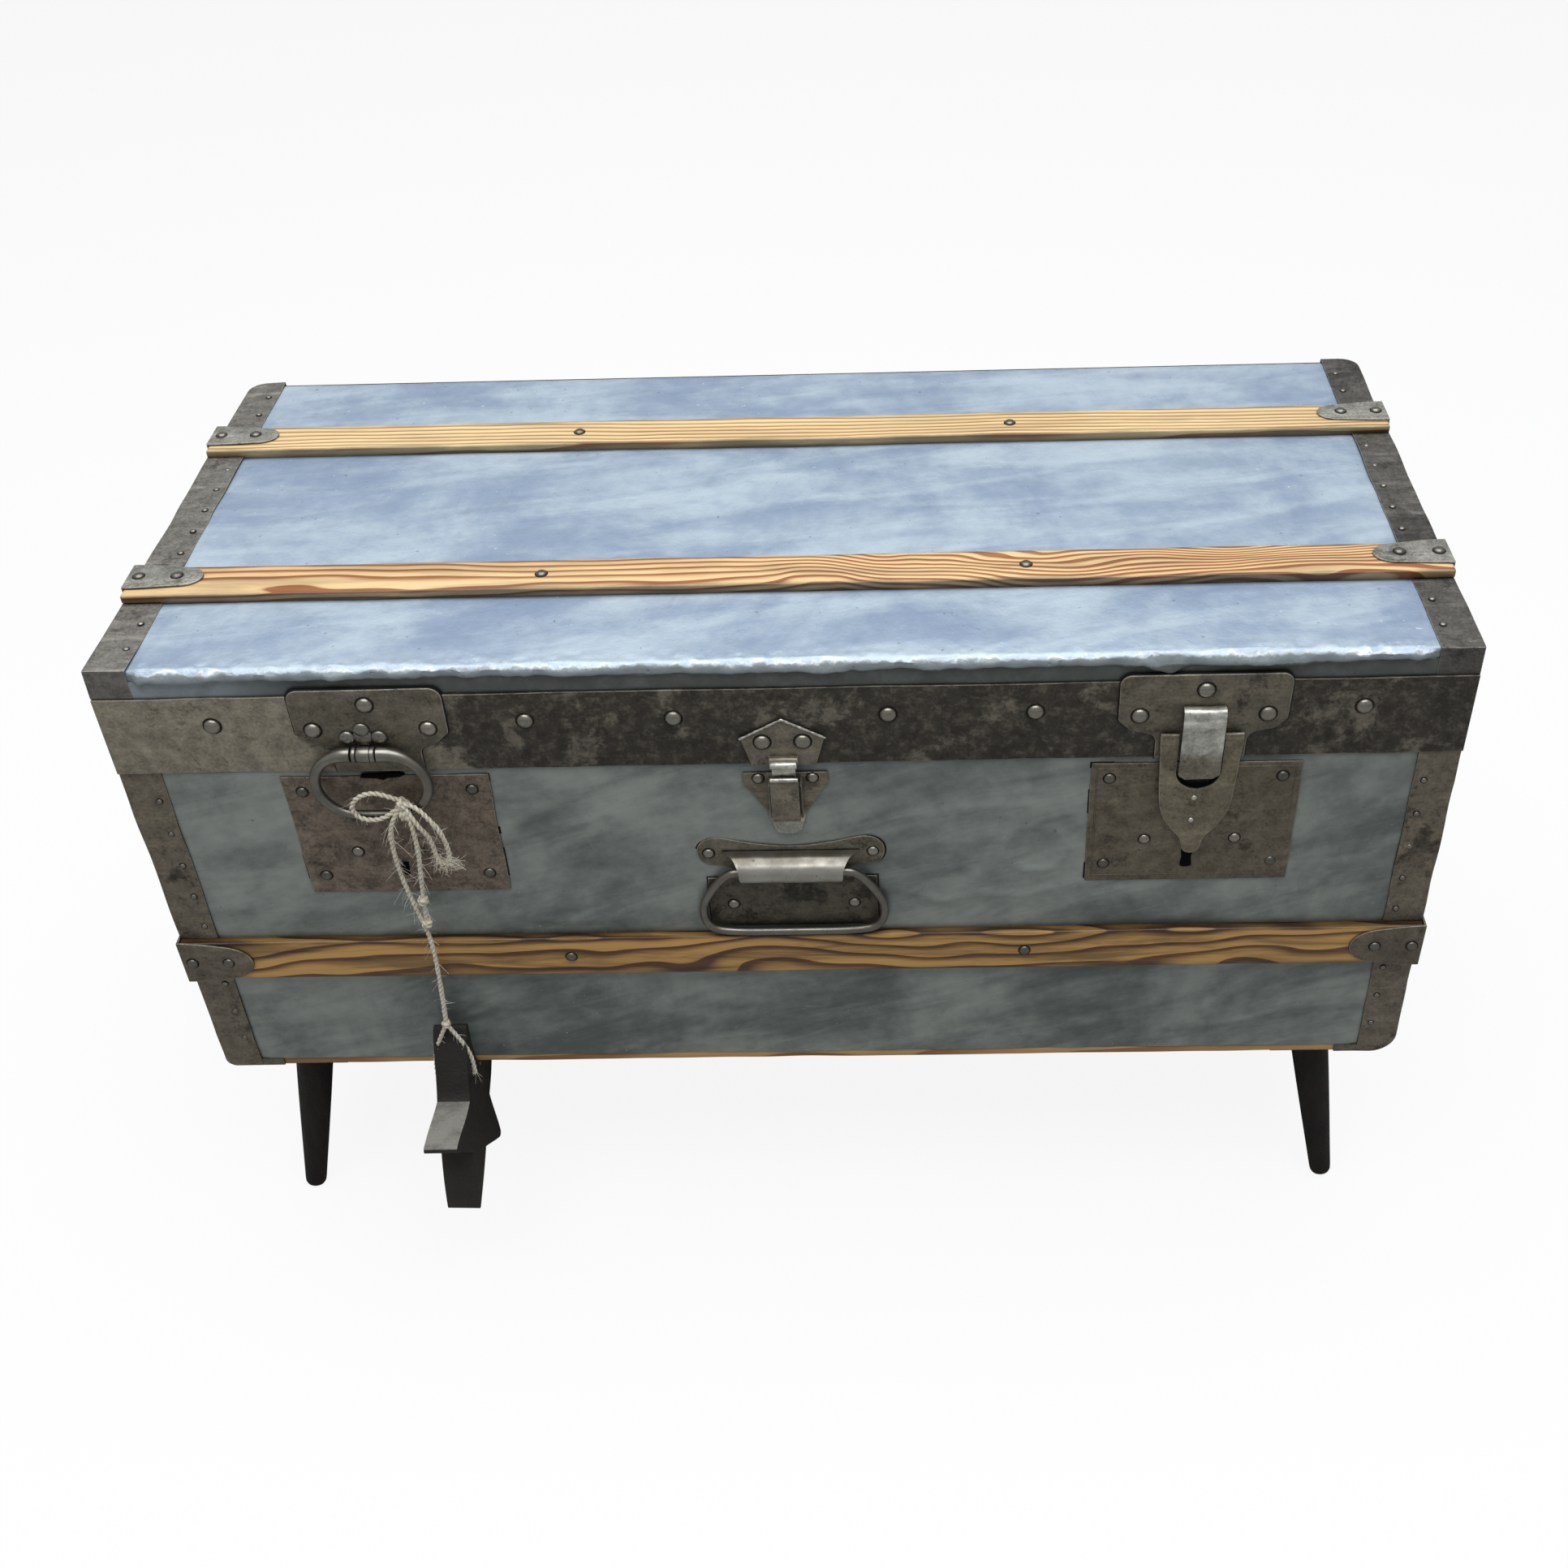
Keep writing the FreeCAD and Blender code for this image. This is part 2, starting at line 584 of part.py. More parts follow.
def clamp_shape(face, across, tongue_width, leg_depth):
    """Clamp for the right-hand end; face lies on the slat, across points over its width."""
    reach = mm("clamp_reach")
    steel = mm("clamp")
    half = tongue_width / 2
    outside = Vector(1, 0, 0)
    tip = reach - half
    corners = [outside * 0 - across * half, outside * 0 + across * half,
               across * half - outside * tip, -across * half - outside * tip]
    crown = outside * -reach
    edges = [Part.LineSegment(corners[3], corners[0]).toShape(),
             Part.LineSegment(corners[0], corners[1]).toShape(),
             Part.LineSegment(corners[1], corners[2]).toShape(),
             Part.Arc(corners[2], crown, corners[3]).toShape()]
    tongue = Part.Face(Part.Wire(edges)).extrude(face * steel)
    leg_points = [-across * half, across * half, across * half + outside * steel,
                  outside * steel - across * half]
    leg_wire = Part.makePolygon(leg_points + leg_points[:1])
    leg = Part.Face(leg_wire).extrude(face * -leg_depth)
    top_leg = Part.Face(leg_wire).extrude(face * steel)
    return tongue.fuse([leg, top_leg]).removeSplitter()


def add_clamp(name, face, across, width, place, side, leg_depth):
    """Clamp at one end of a slat; side is 1 at the right-hand end and -1 at the left."""
    shape = clamp_shape(face, across, width, leg_depth)
    if side < 0:
        shape = shape.mirror(Vector(), Vector(1, 0, 0))
    return add_shape(name, shape, place)


front_way = Vector(0, -1, 0)
back_way = Vector(0, 1, 0)
up_way = Vector(0, 0, 1)
slat_middle_z = mm("slat_z") - mm("slat_width") / 2
slat_reach = mm("slat") - mm("band")
case_clamps = []
lid_clamps = []
case_heads = []
lid_heads = []
rivet_inset = mm("clamp_reach") / 4
tip_inset = mm("clamp_reach") - mm("slat_width") / 2
for side in (-1, 1):
    end = side * mm("end_x")
    for face, face_y in ((front_way, mm("front_y") - slat_reach), (back_way, mm("back_y") + slat_reach)):
        place = Vector(end, face_y, slat_middle_z)
        label = "case_clamp_%d" % len(case_clamps)
        case_clamps.append(add_clamp(label, face, up_way, mm("slat_width"), place, side,
                                     mm("clamp_flange") + slat_reach))
        for inset in (rivet_inset / 2, tip_inset):
            case_heads.append((place - Vector(side * inset, 0, 0) + face * mm("clamp"), face))
    for alias in ("slat_front_y", "slat_rear_y"):
        clamp_y = mm("front_y") + mm(alias) + mm("slat_width") - mm("lid_clamp_width") / 2
        place = Vector(end, clamp_y, mm("case_top") + slat_reach)
        label = "lid_clamp_%d" % len(lid_clamps)
        lid_clamps.append(add_clamp(label, up_way, back_way, mm("lid_clamp_width"), place, side,
                                    mm("clamp_flange") + slat_reach))
        for inset in (rivet_inset / 2, tip_inset):
            lid_heads.append((place - Vector(side * inset, 0, 0) + up_way * mm("clamp"), up_way))
node(add_group("case_slat_clamps", case_clamps), "case_slat_clamps")
node(add_group("lid_slat_clamps", lid_clamps), "lid_slat_clamps")

for side in (-1, 1):
    nail_x = side * mm("slat_nail_x")
    for face, face_y in ((front_way, mm("zinc_y") - mm("slat")), (back_way, mm("zinc_back_y") + mm("slat"))):
        case_heads.append((Vector(nail_x, face_y, slat_middle_z), face))
    for alias in ("slat_front_y", "slat_rear_y"):
        nail_y = mm("front_y") + mm(alias) + mm("slat_width") / 2
        lid_heads.append((Vector(nail_x, nail_y, mm("lid_face_z") + mm("slat")), up_way))
node(add_heads("case_slat_studs", case_heads, "stud_radius", "stud_height"), "case_slat_studs")
node(add_heads("lid_slat_studs", lid_heads, "stud_radius", "stud_height"), "lid_slat_studs")


# Small nails along the bands, left out where a slat's clamp covers the band

def nail_row(start, way, length, face, covered):
    """Places of the nails in one row; covered lists the stretches that hold none."""
    pitch = mm("nail_pitch")
    count = int(length / pitch)
    margin = (length - (count - 1) * pitch) / 2
    spots = []
    for index in range(count):
        along = margin + index * pitch
        hidden = [low for low, high in covered if low < along < high]
        if not hidden:
            spots.append((start + way * along, face))
    return spots


nail_clear = 2 * mm("nail_radius")
case_spots = []
lid_spots = []
row_height = mm("body_top") - mm("case_bottom")
slat_low = slat_middle_z - mm("slat_width") / 2 - mm("case_bottom") - nail_clear
slat_high = slat_middle_z + mm("slat_width") / 2 - mm("case_bottom") + nail_clear
row_depth = mm("depth")
lid_covered = [(mm(alias) - nail_clear, mm(alias) + mm("slat_width") + nail_clear)
               for alias in ("slat_front_y", "slat_rear_y")]
for side in (-1, 1):
    nail_x = side * (mm("end_x") - mm("nail_inset"))
    for face, face_y in ((front_way, mm("front_y")), (back_way, mm("back_y"))):
        start = Vector(nail_x, face_y, mm("case_bottom"))
        case_spots += nail_row(start, up_way, row_height, face, [(slat_low, slat_high)])
    end_way = Vector(side, 0, 0)
    end_face = Vector(side * mm("end_x"), mm("front_y") + mm("nail_inset"), mm("case_bottom"))
    low_end = (0, mm("band_width"))
    case_spots += nail_row(end_face, up_way, row_height, end_way, [low_end, (slat_low, slat_high)])
    back_face = Vector(side * mm("end_x"), mm("back_y") - mm("nail_inset"), mm("case_bottom"))
    case_spots += nail_row(back_face, up_way, row_height, end_way, [low_end, (slat_low, slat_high)])
    top_start = Vector(nail_x, mm("front_y"), mm("case_top"))
    lid_spots += nail_row(top_start, back_way, row_depth, up_way, lid_covered)
node(add_heads("case_band_nails", case_spots, "nail_radius", "nail_height"), "case_band_nails")
node(add_heads("lid_band_nails", lid_spots, "nail_radius", "nail_height"), "lid_band_nails")

# Lid: four rim boards under a top board, a zinc skin and its steel

lid_under = "(case_top - skin - board)"
rim_z = ("seam_z", lid_under)
lid_top = add_box("lid_top_block", ("-" + wood_x, wood_x), (wood_front, wood_back),
                  (lid_under, "case_top - skin"))
node(add_common("lid_top_board", lid_top, wood_space), "lid_top_board")
rim_front = add_box("rim_front_block", ("-" + wood_x, wood_x), (wood_front, inner_front), rim_z)
node(add_common("lid_front_rim", rim_front, wood_space), "lid_front_rim")
rim_back = add_box("rim_back_block", ("-" + wood_x, wood_x), (inner_back, wood_back), rim_z)
node(add_common("lid_back_rim", rim_back, wood_space), "lid_back_rim")
end_rims = []
for side_word, pair in (("left", ("-" + wood_x, "-" + inner_x)), ("right", (inner_x, wood_x))):
    block = add_box("rim_block_" + side_word, pair, (inner_front, inner_back), rim_z)
    end_rims.append(add_common("rim_end_" + side_word, block, wood_space))
node(add_group("lid_end_rims", end_rims), "lid_end_rims")

lid_sheet = add_box("lid_sheet", ("-" + zinc_x, zinc_x), ("zinc_y", "zinc_back_y"), ("seam_z", "lid_face_z"))
lid_sheet_shape = add_common("lid_sheet_rounded", lid_sheet, zinc_space)
lid_core = add_box("lid_core", ("-" + wood_x, wood_x), (wood_front, wood_back),
                   ("seam_z - overrun", "case_top - skin"))
lid_core_shape = add_common("lid_core_rounded", lid_core, wood_space)
node(add_cut("lid_zinc", lid_sheet_shape, lid_core_shape), "lid_zinc")

rim_ring = envelope("rim_space", mm("band") - mm("rim_band"))
rim_block = add_box("rim_block", ("-end_x - rim_band", "end_x + rim_band"),
                    ("front_y - rim_band", "back_y + rim_band"), ("seam_z", "rim_top"))
rim_shape = add_common("rim_rounded", rim_block, rim_ring)
node(add_cut("lid_rim_band", rim_shape, zinc_fill), "lid_rim_band")

edge_bands = []
for side_word, sign in (("left", "-"), ("right", "")):
    outer = ["%send_x" % sign, "%s(end_x - band_width)" % sign]
    if not sign:
        outer.reverse()
    cap = add_box("lid_cap_" + side_word, outer, ("front_y", "back_y"), ("rim_top", "case_top"))
    cap_shape = add_common("lid_cap_rounded_" + side_word, cap, steel_space)
    edge_bands.append(add_cut("lid_edge_" + side_word, cap_shape, zinc_fill))
node(add_group("lid_edge_bands", edge_bands), "lid_edge_bands")

rim_middle_share = 0.64
rim_rivet_shares = (-0.4175, -0.187, -0.0785, 0.078, 0.185, 0.422)
leaf_rivet_share = 0.6
rim_middle = mm("seam_z") + mm("rim_band_height") * rim_middle_share
rim_spots = []
for across_share in rim_rivet_shares:
    rivet_x = across_share * mm("width")
    rim_spots.append((Vector(rivet_x, mm("rim_y"), rim_middle), front_way))
    rim_spots.append((Vector(rivet_x, mm("rim_back_y"), rim_middle), back_way))

# Lock plates and lock cases on the front board

lock_stud_share = 0.22
screw_low_share = 1.3


def lock(side_word, centre_formula, hole):
    """Lock plate outside with its keyhole, and its case inside the board."""
    half = "lock_width / 2"
    plate = add_box("lock_plate_block_" + side_word,
                    ("%s - %s" % (centre_formula, half), "%s + %s" % (centre_formula, half)),
                    ("lock_y", "zinc_y"), ("lock_top - lock_height", "lock_top"))
    node(add_cut("lock_plate_" + side_word, plate, hole), "lock_plate_" + side_word)
    case_half = "lock_case_width / 2"
    return add_box("lock_case_" + side_word,
                   ("%s - %s" % (centre_formula, case_half), "%s + %s" % (centre_formula, case_half)),
                   (inner_front, inner_front + " + lock_case_depth"),
                   ("keyhole_z - lock_case_height / 2", "keyhole_z + lock_case_height / 2"))


lock_cases = [lock("left", "-lock_x", left_keyhole), lock("right", "lock_right_x", right_keyhole)]
node(add_group("lock_cases", lock_cases), "lock_cases")

hardware_spots = []
for centre in (-mm("lock_x"), mm("lock_right_x")):
    for side in (-1, 1):
        spot_x = centre + side * (mm("lock_width") / 2 - mm("lock_screw_inset"))
        low_drop = mm("lock_height") - mm("lock_screw_inset") * screw_low_share
        for drop in (mm("lock_screw_inset"), low_drop):
            hardware_spots.append((Vector(spot_x, mm("lock_y"), mm("lock_top") - drop), front_way))
stud_z = mm("keyhole_z") + mm("keyhole_length")
stud_offset = lock_stud_share * mm("lock_width")
for stud_x in (-mm("lock_x") - stud_offset, mm("lock_right_x") - stud_offset,
               mm("lock_right_x") + stud_offset):
    hardware_spots.append((Vector(stud_x, mm("lock_y"), stud_z), front_way))


# Hasp plates on the lid's rim

def hasp_plate(name, centre_alias, sign, width_alias):
    """Plate with two round upper corners, wide lobes and a narrower neck down to the seam."""
    half = mm(width_alias) / 2
    neck = mm("hasp_neck_width") / 2
    top = mm("case_top") - mm("hasp_plate_drop")
    shoulder = top - mm("hasp_plate_shoulder")
    step = mm("hasp_corner")
    points = [(neck, mm("seam_z")), (neck, shoulder - step), (half - step, shoulder - step / 2),
              (half, shoulder + step / 2), (half, top)]
    wire = half_outline(points, [0, step, step / 2, step / 2, step])
    return node(add_plate(name, [wire], Vector(0, 1, 0), "plate",
                          {"x": "%s%s" % (sign, centre_alias), "y": "hasp_face_y"}), name)


hasp_high_share = 0.3
hasp_low_share = 0.8
hasp_side_share = 0.375
hasp_plate("hasp_plate_left", "lock_x", "-", "hasp_plate_left_width")
hasp_plate("hasp_plate_right", "lock_right_x", "", "hasp_plate_width")
for centre, alias in ((-mm("lock_x"), "hasp_plate_left_width"), (mm("lock_right_x"), "hasp_plate_width")):
    top = mm("case_top") - mm("hasp_plate_drop")
    high_spot = Vector(centre, mm("hasp_face_y"), top - hasp_high_share * mm("hasp_plate_shoulder"))
    rim_spots.append((high_spot, front_way))
    for side in (-1, 1):
        low_spot = Vector(centre + side * hasp_side_share * mm(alias), mm("hasp_face_y"),
                          top - hasp_low_share * mm("hasp_plate_shoulder"))
        rim_spots.append((low_spot, front_way))

# Hasp on the right: a shield with a round bar, hung in a bright strap

strap_face = "(hasp_axis_y - hasp_pin_radius - run_gap)"
round_end_share = 0.98
tongue_half = mm("strap_width") / 2
strap_top_z = mm("case_top") - mm("strap_top")
tongue_wire = rounded_wire(upright([(tongue_half, strap_top_z), (-tongue_half, strap_top_z),
                                    (-tongue_half, strap_top_z - mm("strap_length")),
                                    (tongue_half, strap_top_z - mm("strap_length"))]),
                           [0, 0, tongue_half * round_end_share, tongue_half * round_end_share], True)
tongue = add_plate("strap_tongue", [tongue_wire], Vector(0, 1, 0), "strap",
                   {"x": "lock_right_x", "y": strap_face + " - strap"})
strap_foot = add_box("strap_foot_block",
                     ("lock_right_x - strap_width / 2", "lock_right_x + strap_width / 2"),
                     (strap_face, "hasp_face_y"),
                     ("case_top - strap_top - strap_foot", "case_top - strap_top"))
node(add_fuse("hasp_strap", tongue, strap_foot), "hasp_strap")

hasp_half = mm("hasp_width") / 2
nose_half = mm("hasp_nose_width") / 2
axis_z = mm("hasp_axis_z")
shield_points = [(nose_half, axis_z - mm("hasp_length")), (nose_half, axis_z - mm("hasp_shoulder")),
                 (hasp_half, axis_z - mm("hasp_side")), (hasp_half, axis_z + mm("hasp_cheek"))]
shield_round_shares = (0.7, 0.6, 0.17)
shield_radii = [nose_half * shield_round_shares[0], nose_half * shield_round_shares[1],
                hasp_half * shield_round_shares[2], 0]
shield_wire = half_outline(shield_points, shield_radii)
window_half = tongue_half + mm("window_gap")
window_low = strap_top_z - mm("strap_length") - mm("window_gap")
window_top = axis_z + mm("hasp_cheek") + mm("overrun")
window_wire = rounded_wire(upright([(window_half, window_top), (-window_half, window_top),
                                    (-window_half, window_low), (window_half, window_low)]),
                           [0, 0, window_half * round_end_share, window_half * round_end_share], True)
shield = add_plate("shield", [shield_wire], Vector(0, 1, 0), "plate",
                   {"x": "lock_right_x", "y": "hasp_axis_y - plate / 2"})
window = add_plate("window", [window_wire], Vector(0, 1, 0), "plate + overrun",
                   {"x": "lock_right_x", "y": "hasp_axis_y - plate / 2 - overrun / 2"})
hasp_bar = add_cylinder("hasp_bar", "x", "hasp_pin_radius", "hasp_width",
                        ("lock_right_x - hasp_width / 2", "hasp_axis_y", "hasp_axis_z"))
node(add_fuse("hasp", add_cut("shield_open", shield, window), hasp_bar), "hasp")

# Ring pull on the left, through an eye on a trefoil lug

lug_z = mm("ring_axis_z") + mm("eye_radius")
lobe = mm("lobe_radius")
lobes = []
for degrees in (90, 210, 330):
    turn = math.radians(degrees)
    centre = Vector(mm("lobe_reach") * math.cos(turn), 0, lug_z + mm("lobe_reach") * math.sin(turn))
    lobes.append(Part.makeCylinder(lobe, mm("lug"), centre, Vector(0, 1, 0)))
heart = Part.makeCylinder(mm("lobe_reach"), mm("lug"), Vector(0, 0, lug_z), Vector(0, 1, 0))
trefoil_place = Vector(-mm("ring_x"), mm("hasp_face_y") - mm("lug"), 0)
trefoil = add_shape("trefoil", heart.fuse(lobes).removeSplitter(), trefoil_place)
eye_half = "eye_length / 2"
eye = add_cylinder("eye_barrel", "x", "eye_radius", "eye_length",
                   ("-ring_x - " + eye_half, "ring_axis_y", "ring_axis_z"))
eye_bore = add_cylinder("eye_bore", "x", "ring_radius + pin_gap", "eye_length + 2 * overrun",
                        ("-ring_x - %s - overrun" % eye_half, "ring_axis_y", "ring_axis_z"))
node(add_cut("ring_lug", add_fuse("lug_body", trefoil, eye), eye_bore), "ring_lug")

bow = mm("ring_height") / 2
straight = mm("ring_straight") / 2


def oval_path(half_straight, half_round):
    """Closed path: two straight bars joined by half circles, hung from its upper bar."""
    low = -2 * half_round
    edges = [
        Part.LineSegment(Vector(half_straight, 0, 0), Vector(-half_straight, 0, 0)).toShape(),
        Part.Arc(Vector(-half_straight, 0, 0), Vector(-half_straight - half_round, 0, -half_round),
                 Vector(-half_straight, 0, low)).toShape(),
        Part.LineSegment(Vector(-half_straight, 0, low), Vector(half_straight, 0, low)).toShape(),
        Part.Arc(Vector(half_straight, 0, low), Vector(half_straight + half_round, 0, -half_round),
                 Vector(half_straight, 0, 0)).toShape(),
    ]
    return Part.Wire(edges)


def round_bar(path, radius, start, way):
    """Round wire of a radius bent along a path that starts at start and runs along way."""
    profile = Part.Wire(Part.Circle(start, way, radius).toShape())
    return path.makePipeShell([profile], True, False)


ring_wire = round_bar(oval_path(straight, bow), mm("ring_radius"), Vector(straight, 0, 0), Vector(-1, 0, 0))
collars = []
for side in (-1, 1):
    inner_edge = side * (mm("eye_length") / 2 + mm("run_gap"))
    collars.append(Part.makeCylinder(mm("collar_radius"), mm("collar_length"), Vector(inner_edge, 0, 0),
                                     Vector(side, 0, 0)))
ring_place = Vector(-mm("ring_x"), mm("ring_axis_y"), mm("ring_axis_z"))
node(add_shape("ring_pull", ring_wire.fuse(collars).removeSplitter(), ring_place), "ring_pull")

# Draw latch in the middle: keeper plate on the lid, base, lever and link on the case

keeper_tip = mm("case_top") - mm("keeper_top")
keeper_points = [(mm("keeper_foot") / 2, mm("seam_z")),
                 (mm("keeper_width") / 2, keeper_tip - mm("keeper_shoulder")), (0, keeper_tip)]
keeper_left = [(-x, z) for x, z in reversed(keeper_points[:2])]
keeper_wire = rounded_wire(upright(keeper_points + keeper_left), [0] * 5, True)
keeper_plate = add_plate("keeper_plate", [keeper_wire], Vector(0, 1, 0), "latch_plate",
                         {"y": "rim_y - latch_plate"})
lip_y = "(rim_y - latch_plate - keeper_lip / 2)"
lip = add_cylinder("keeper_lip_roll", "x", "keeper_lip", "latch_width",
                   ("-latch_width / 2", lip_y, "case_top - keeper_lip_drop"))
lip_trim = add_box("lip_trim", ("-latch_width", "latch_width"), ("rim_y", "rim_y + 2 * keeper_lip"),
                   ("seam_z", "case_top"))
lip_shape = add_cut("keeper_lip_shape", lip, lip_trim)
node(add_fuse("latch_keeper", keeper_plate, lip_shape), "latch_keeper")
keeper_across_share = 0.24
keeper_down_share = 1.2
for side in (-1, 1):
    spot = Vector(side * keeper_across_share * mm("keeper_width"), mm("rim_y") - mm("latch_plate"),
                  keeper_tip - keeper_down_share * mm("keeper_shoulder"))
    rim_spots.append((spot, front_way))
for centre in (-mm("hinge_x"), mm("hinge_x")):
    for side in (-1, 1):
        spot = Vector(centre + side * mm("hinge_width") / 4, mm("hinge_face_y"),
                      mm("seam_z") + leaf_rivet_share * mm("hinge_height"))
        rim_spots.append((spot, back_way))
node(add_heads("lid_rim_rivets", rim_spots, "rivet_radius", "rivet_height"), "lid_rim_rivets")

latch_top_z = mm("latch_top")
head = mm("latch_head") / 2
waist = mm("latch_waist") / 2
tip_half = mm("latch_tip") / 2
latch_low = latch_top_z - mm("latch_length")
waist_share = 0.63
tip_round_share = 0.8
waist_z = latch_top_z - waist_share * mm("latch_length")
base_points = [(tip_half, latch_low), (waist, waist_z), (head, latch_top_z - mm("latch_shoulder")),
               (head, latch_top_z)]
base_wire = half_outline(base_points, [tip_half * tip_round_share, 0, 0, 0])
base_plate = add_plate("latch_base_plate", [base_wire], Vector(0, 1, 0), "latch_plate",
                       {"y": "latch_face_y"})
ear_reach = "(latch_stand_off + 2 * latch_pin_radius)"
ear_x = "(latch_width / 2 + run_gap)"
ears = []
for side_word, ear_pair in (("left", ("-%s - latch_ear" % ear_x, "-" + ear_x)),
                            ("right", (ear_x, ear_x + " + latch_ear"))):
    ears.append(add_box("latch_ear_" + side_word, ear_pair, ("latch_face_y - " + ear_reach, "latch_face_y"),
                        ("latch_pin_z - 2 * latch_pin_radius - run_gap", "latch_top - latch_shoulder / 2")))
latch_pin_length = "2 * (%s + latch_ear)" % ear_x
ear_hole = add_cylinder("latch_ear_hole", "x", "latch_pin_radius", latch_pin_length + " + 2 * overrun",
                        ("-(%s + latch_ear) - overrun" % ear_x, "latch_pin_y", "latch_pin_z"))
node(add_cut("latch_base_drilled", add_fuse("latch_base_fused", base_plate, *ears), ear_hole), "latch_base")
node(add_cylinder("latch_pin", "x", "latch_pin_radius", latch_pin_length,
                  ("-(%s + latch_ear)" % ear_x, "latch_pin_y", "latch_pin_z")), "latch_pin")

link_y = "(rim_y - latch_plate - 1.5 * keeper_lip - run_gap - link_radius)"
link_z = "(latch_pin_z + link_drop)"
link_top = "(case_top - keeper_lip_drop)"
lever_in = "(%s - link_radius - run_gap)" % link_y
lever_out = "(%s - lever)" % lever_in
lever_x = ("-latch_width / 2", "latch_width / 2")
lever_face = add_box("lever_face", lever_x, (lever_out, lever_in),
                     ("latch_pin_z - lever_tail", "latch_pin_z - lever_tail + lever_length"))
cheeks = []
for side_word, cheek_x in (("left", ("-latch_width / 2", "-latch_width / 2 + lever")),
                           ("right", ("latch_width / 2 - lever", "latch_width / 2"))):
    cheek_y = (lever_out, "latch_pin_y + 2 * latch_pin_radius")
    cheeks.append(add_box("lever_cheek_" + side_word, cheek_x, cheek_y,
                          ("latch_pin_z - lever_tail", link_z + " + 2 * link_radius")))
lever_body = add_fuse("lever_body", lever_face, *cheeks)
across_start = "-latch_width / 2 - overrun"
across_length = "latch_width + 2 * overrun"
pin_hole = add_cylinder("lever_pin_hole", "x", "latch_pin_radius + pin_gap", across_length,
                        (across_start, "latch_pin_y", "latch_pin_z"))
link_hole = add_cylinder("lever_link_hole", "x", "link_radius + pin_gap", across_length,
                         (across_start, link_y, link_z))
node(add_cut("latch_lever", lever_body, pin_hole, link_hole), "latch_lever")

link_half = "(latch_width / 2 - lever - run_gap)"
link_bar = add_cylinder("link_bar", "x", "link_radius", "latch_width", ("-latch_width / 2", link_y, link_z))
link_strip = add_box("link_strip", ("-" + link_half, link_half),
                     (link_y + " - link / 2", link_y + " + link / 2"), (link_z, link_top))
link_roll = add_cylinder("link_roll", "x", "link_radius", "2 * " + link_half,
                         ("-" + link_half, link_y, link_top))
node(add_fuse("latch_link", link_bar, link_strip, link_roll), "latch_link")

latch_stud_share = 0.32
for side in (-1, 1):
    spot = Vector(side * latch_stud_share * mm("latch_head"), mm("latch_face_y"),
                  latch_top_z - mm("latch_shoulder") / 2)
    hardware_spots.append((spot, front_way))

# Handle on the front: bracket with a sleeve, backing plate and a bent wire bail

bridge_high_share = 0.4
bridge_low_share = 0.7
bend_share = 0.55
backing_across_share = 0.36
backing_down_share = 0.55
ear_half = "(bracket_width / 2 - ear_radius)"
screw_z = "(handle_axis_z + bracket_rise)"
bracket_y = ("zinc_y - plate", "zinc_y")
bridge_top = screw_z + " + %s * ear_radius" % bridge_high_share
half_sleeve = "sleeve_length / 2"
bracket_parts = [
    add_box("bracket_middle", ("-" + half_sleeve, half_sleeve), bracket_y,
            ("handle_axis_z", bridge_top)),
    add_box("bracket_bridge", ("-" + ear_half, ear_half), bracket_y,
            (screw_z + " - %s * ear_radius" % bridge_low_share, bridge_top)),
    add_cylinder("sleeve", "x", "sleeve_radius", "sleeve_length",
                 ("-" + half_sleeve, "handle_axis_y", "handle_axis_z")),
]
for side_word, sign in (("left", "-"), ("right", "")):
    bracket_parts.append(add_cylinder("bracket_ear_" + side_word, "y", "ear_radius", "plate",
                                      (sign + ear_half, "zinc_y - plate", screw_z)))
sleeve_bore = add_cylinder("sleeve_bore", "x", "bail_radius + pin_gap", "sleeve_length + 2 * overrun",
                           ("-%s - overrun" % half_sleeve, "handle_axis_y", "handle_axis_z"))
node(add_cut("handle_bracket", add_fuse("bracket_body", *bracket_parts), sleeve_bore), "handle_bracket")
node(add_box("handle_backing", ("-backing_width / 2", "backing_width / 2"), ("zinc_y - backing", "zinc_y"),
             ("handle_axis_z - backing_drop - backing_height", "handle_axis_z - backing_drop")),
     "handle_backing")

neck = mm("bail_neck") / 2
knee = mm("bail_width") / 2 - mm("bail_radius")
grip = mm("grip_length") / 2
bend = mm("bail_bend")
bail_points = [Vector(0, 0, 0), Vector(neck, 0, 0), Vector(knee, 0, -mm("bail_knee")),
               Vector(grip, 0, -mm("bail_length")), Vector(-grip, 0, -mm("bail_length")),
               Vector(-knee, 0, -mm("bail_knee")), Vector(-neck, 0, 0)]
neck_bend = bend_share * bend
bail_path = rounded_wire(bail_points, [0, neck_bend, bend, bend, bend, bend, neck_bend], True)
bail_shape = round_bar(bail_path, mm("bail_radius"), Vector(), Vector(1, 0, 0))
bail_place = Vector(0, mm("handle_axis_y"), mm("handle_axis_z"))
node(add_shape("handle_bail", bail_shape, bail_place), "handle_bail")

for side in (-1, 1):
    screw_x = side * (mm("bracket_width") / 2 - mm("ear_radius"))
    screw_place = Vector(screw_x, mm("zinc_y") - mm("plate"), mm("handle_axis_z") + mm("bracket_rise"))
    hardware_spots.append((screw_place, front_way))
    backing_x = side * backing_across_share * mm("backing_width")
    backing_z = mm("handle_axis_z") - mm("backing_drop") - backing_down_share * mm("backing_height")
    hardware_spots.append((Vector(backing_x, mm("zinc_y") - mm("backing"), backing_z), front_way))

# Hinges on the back

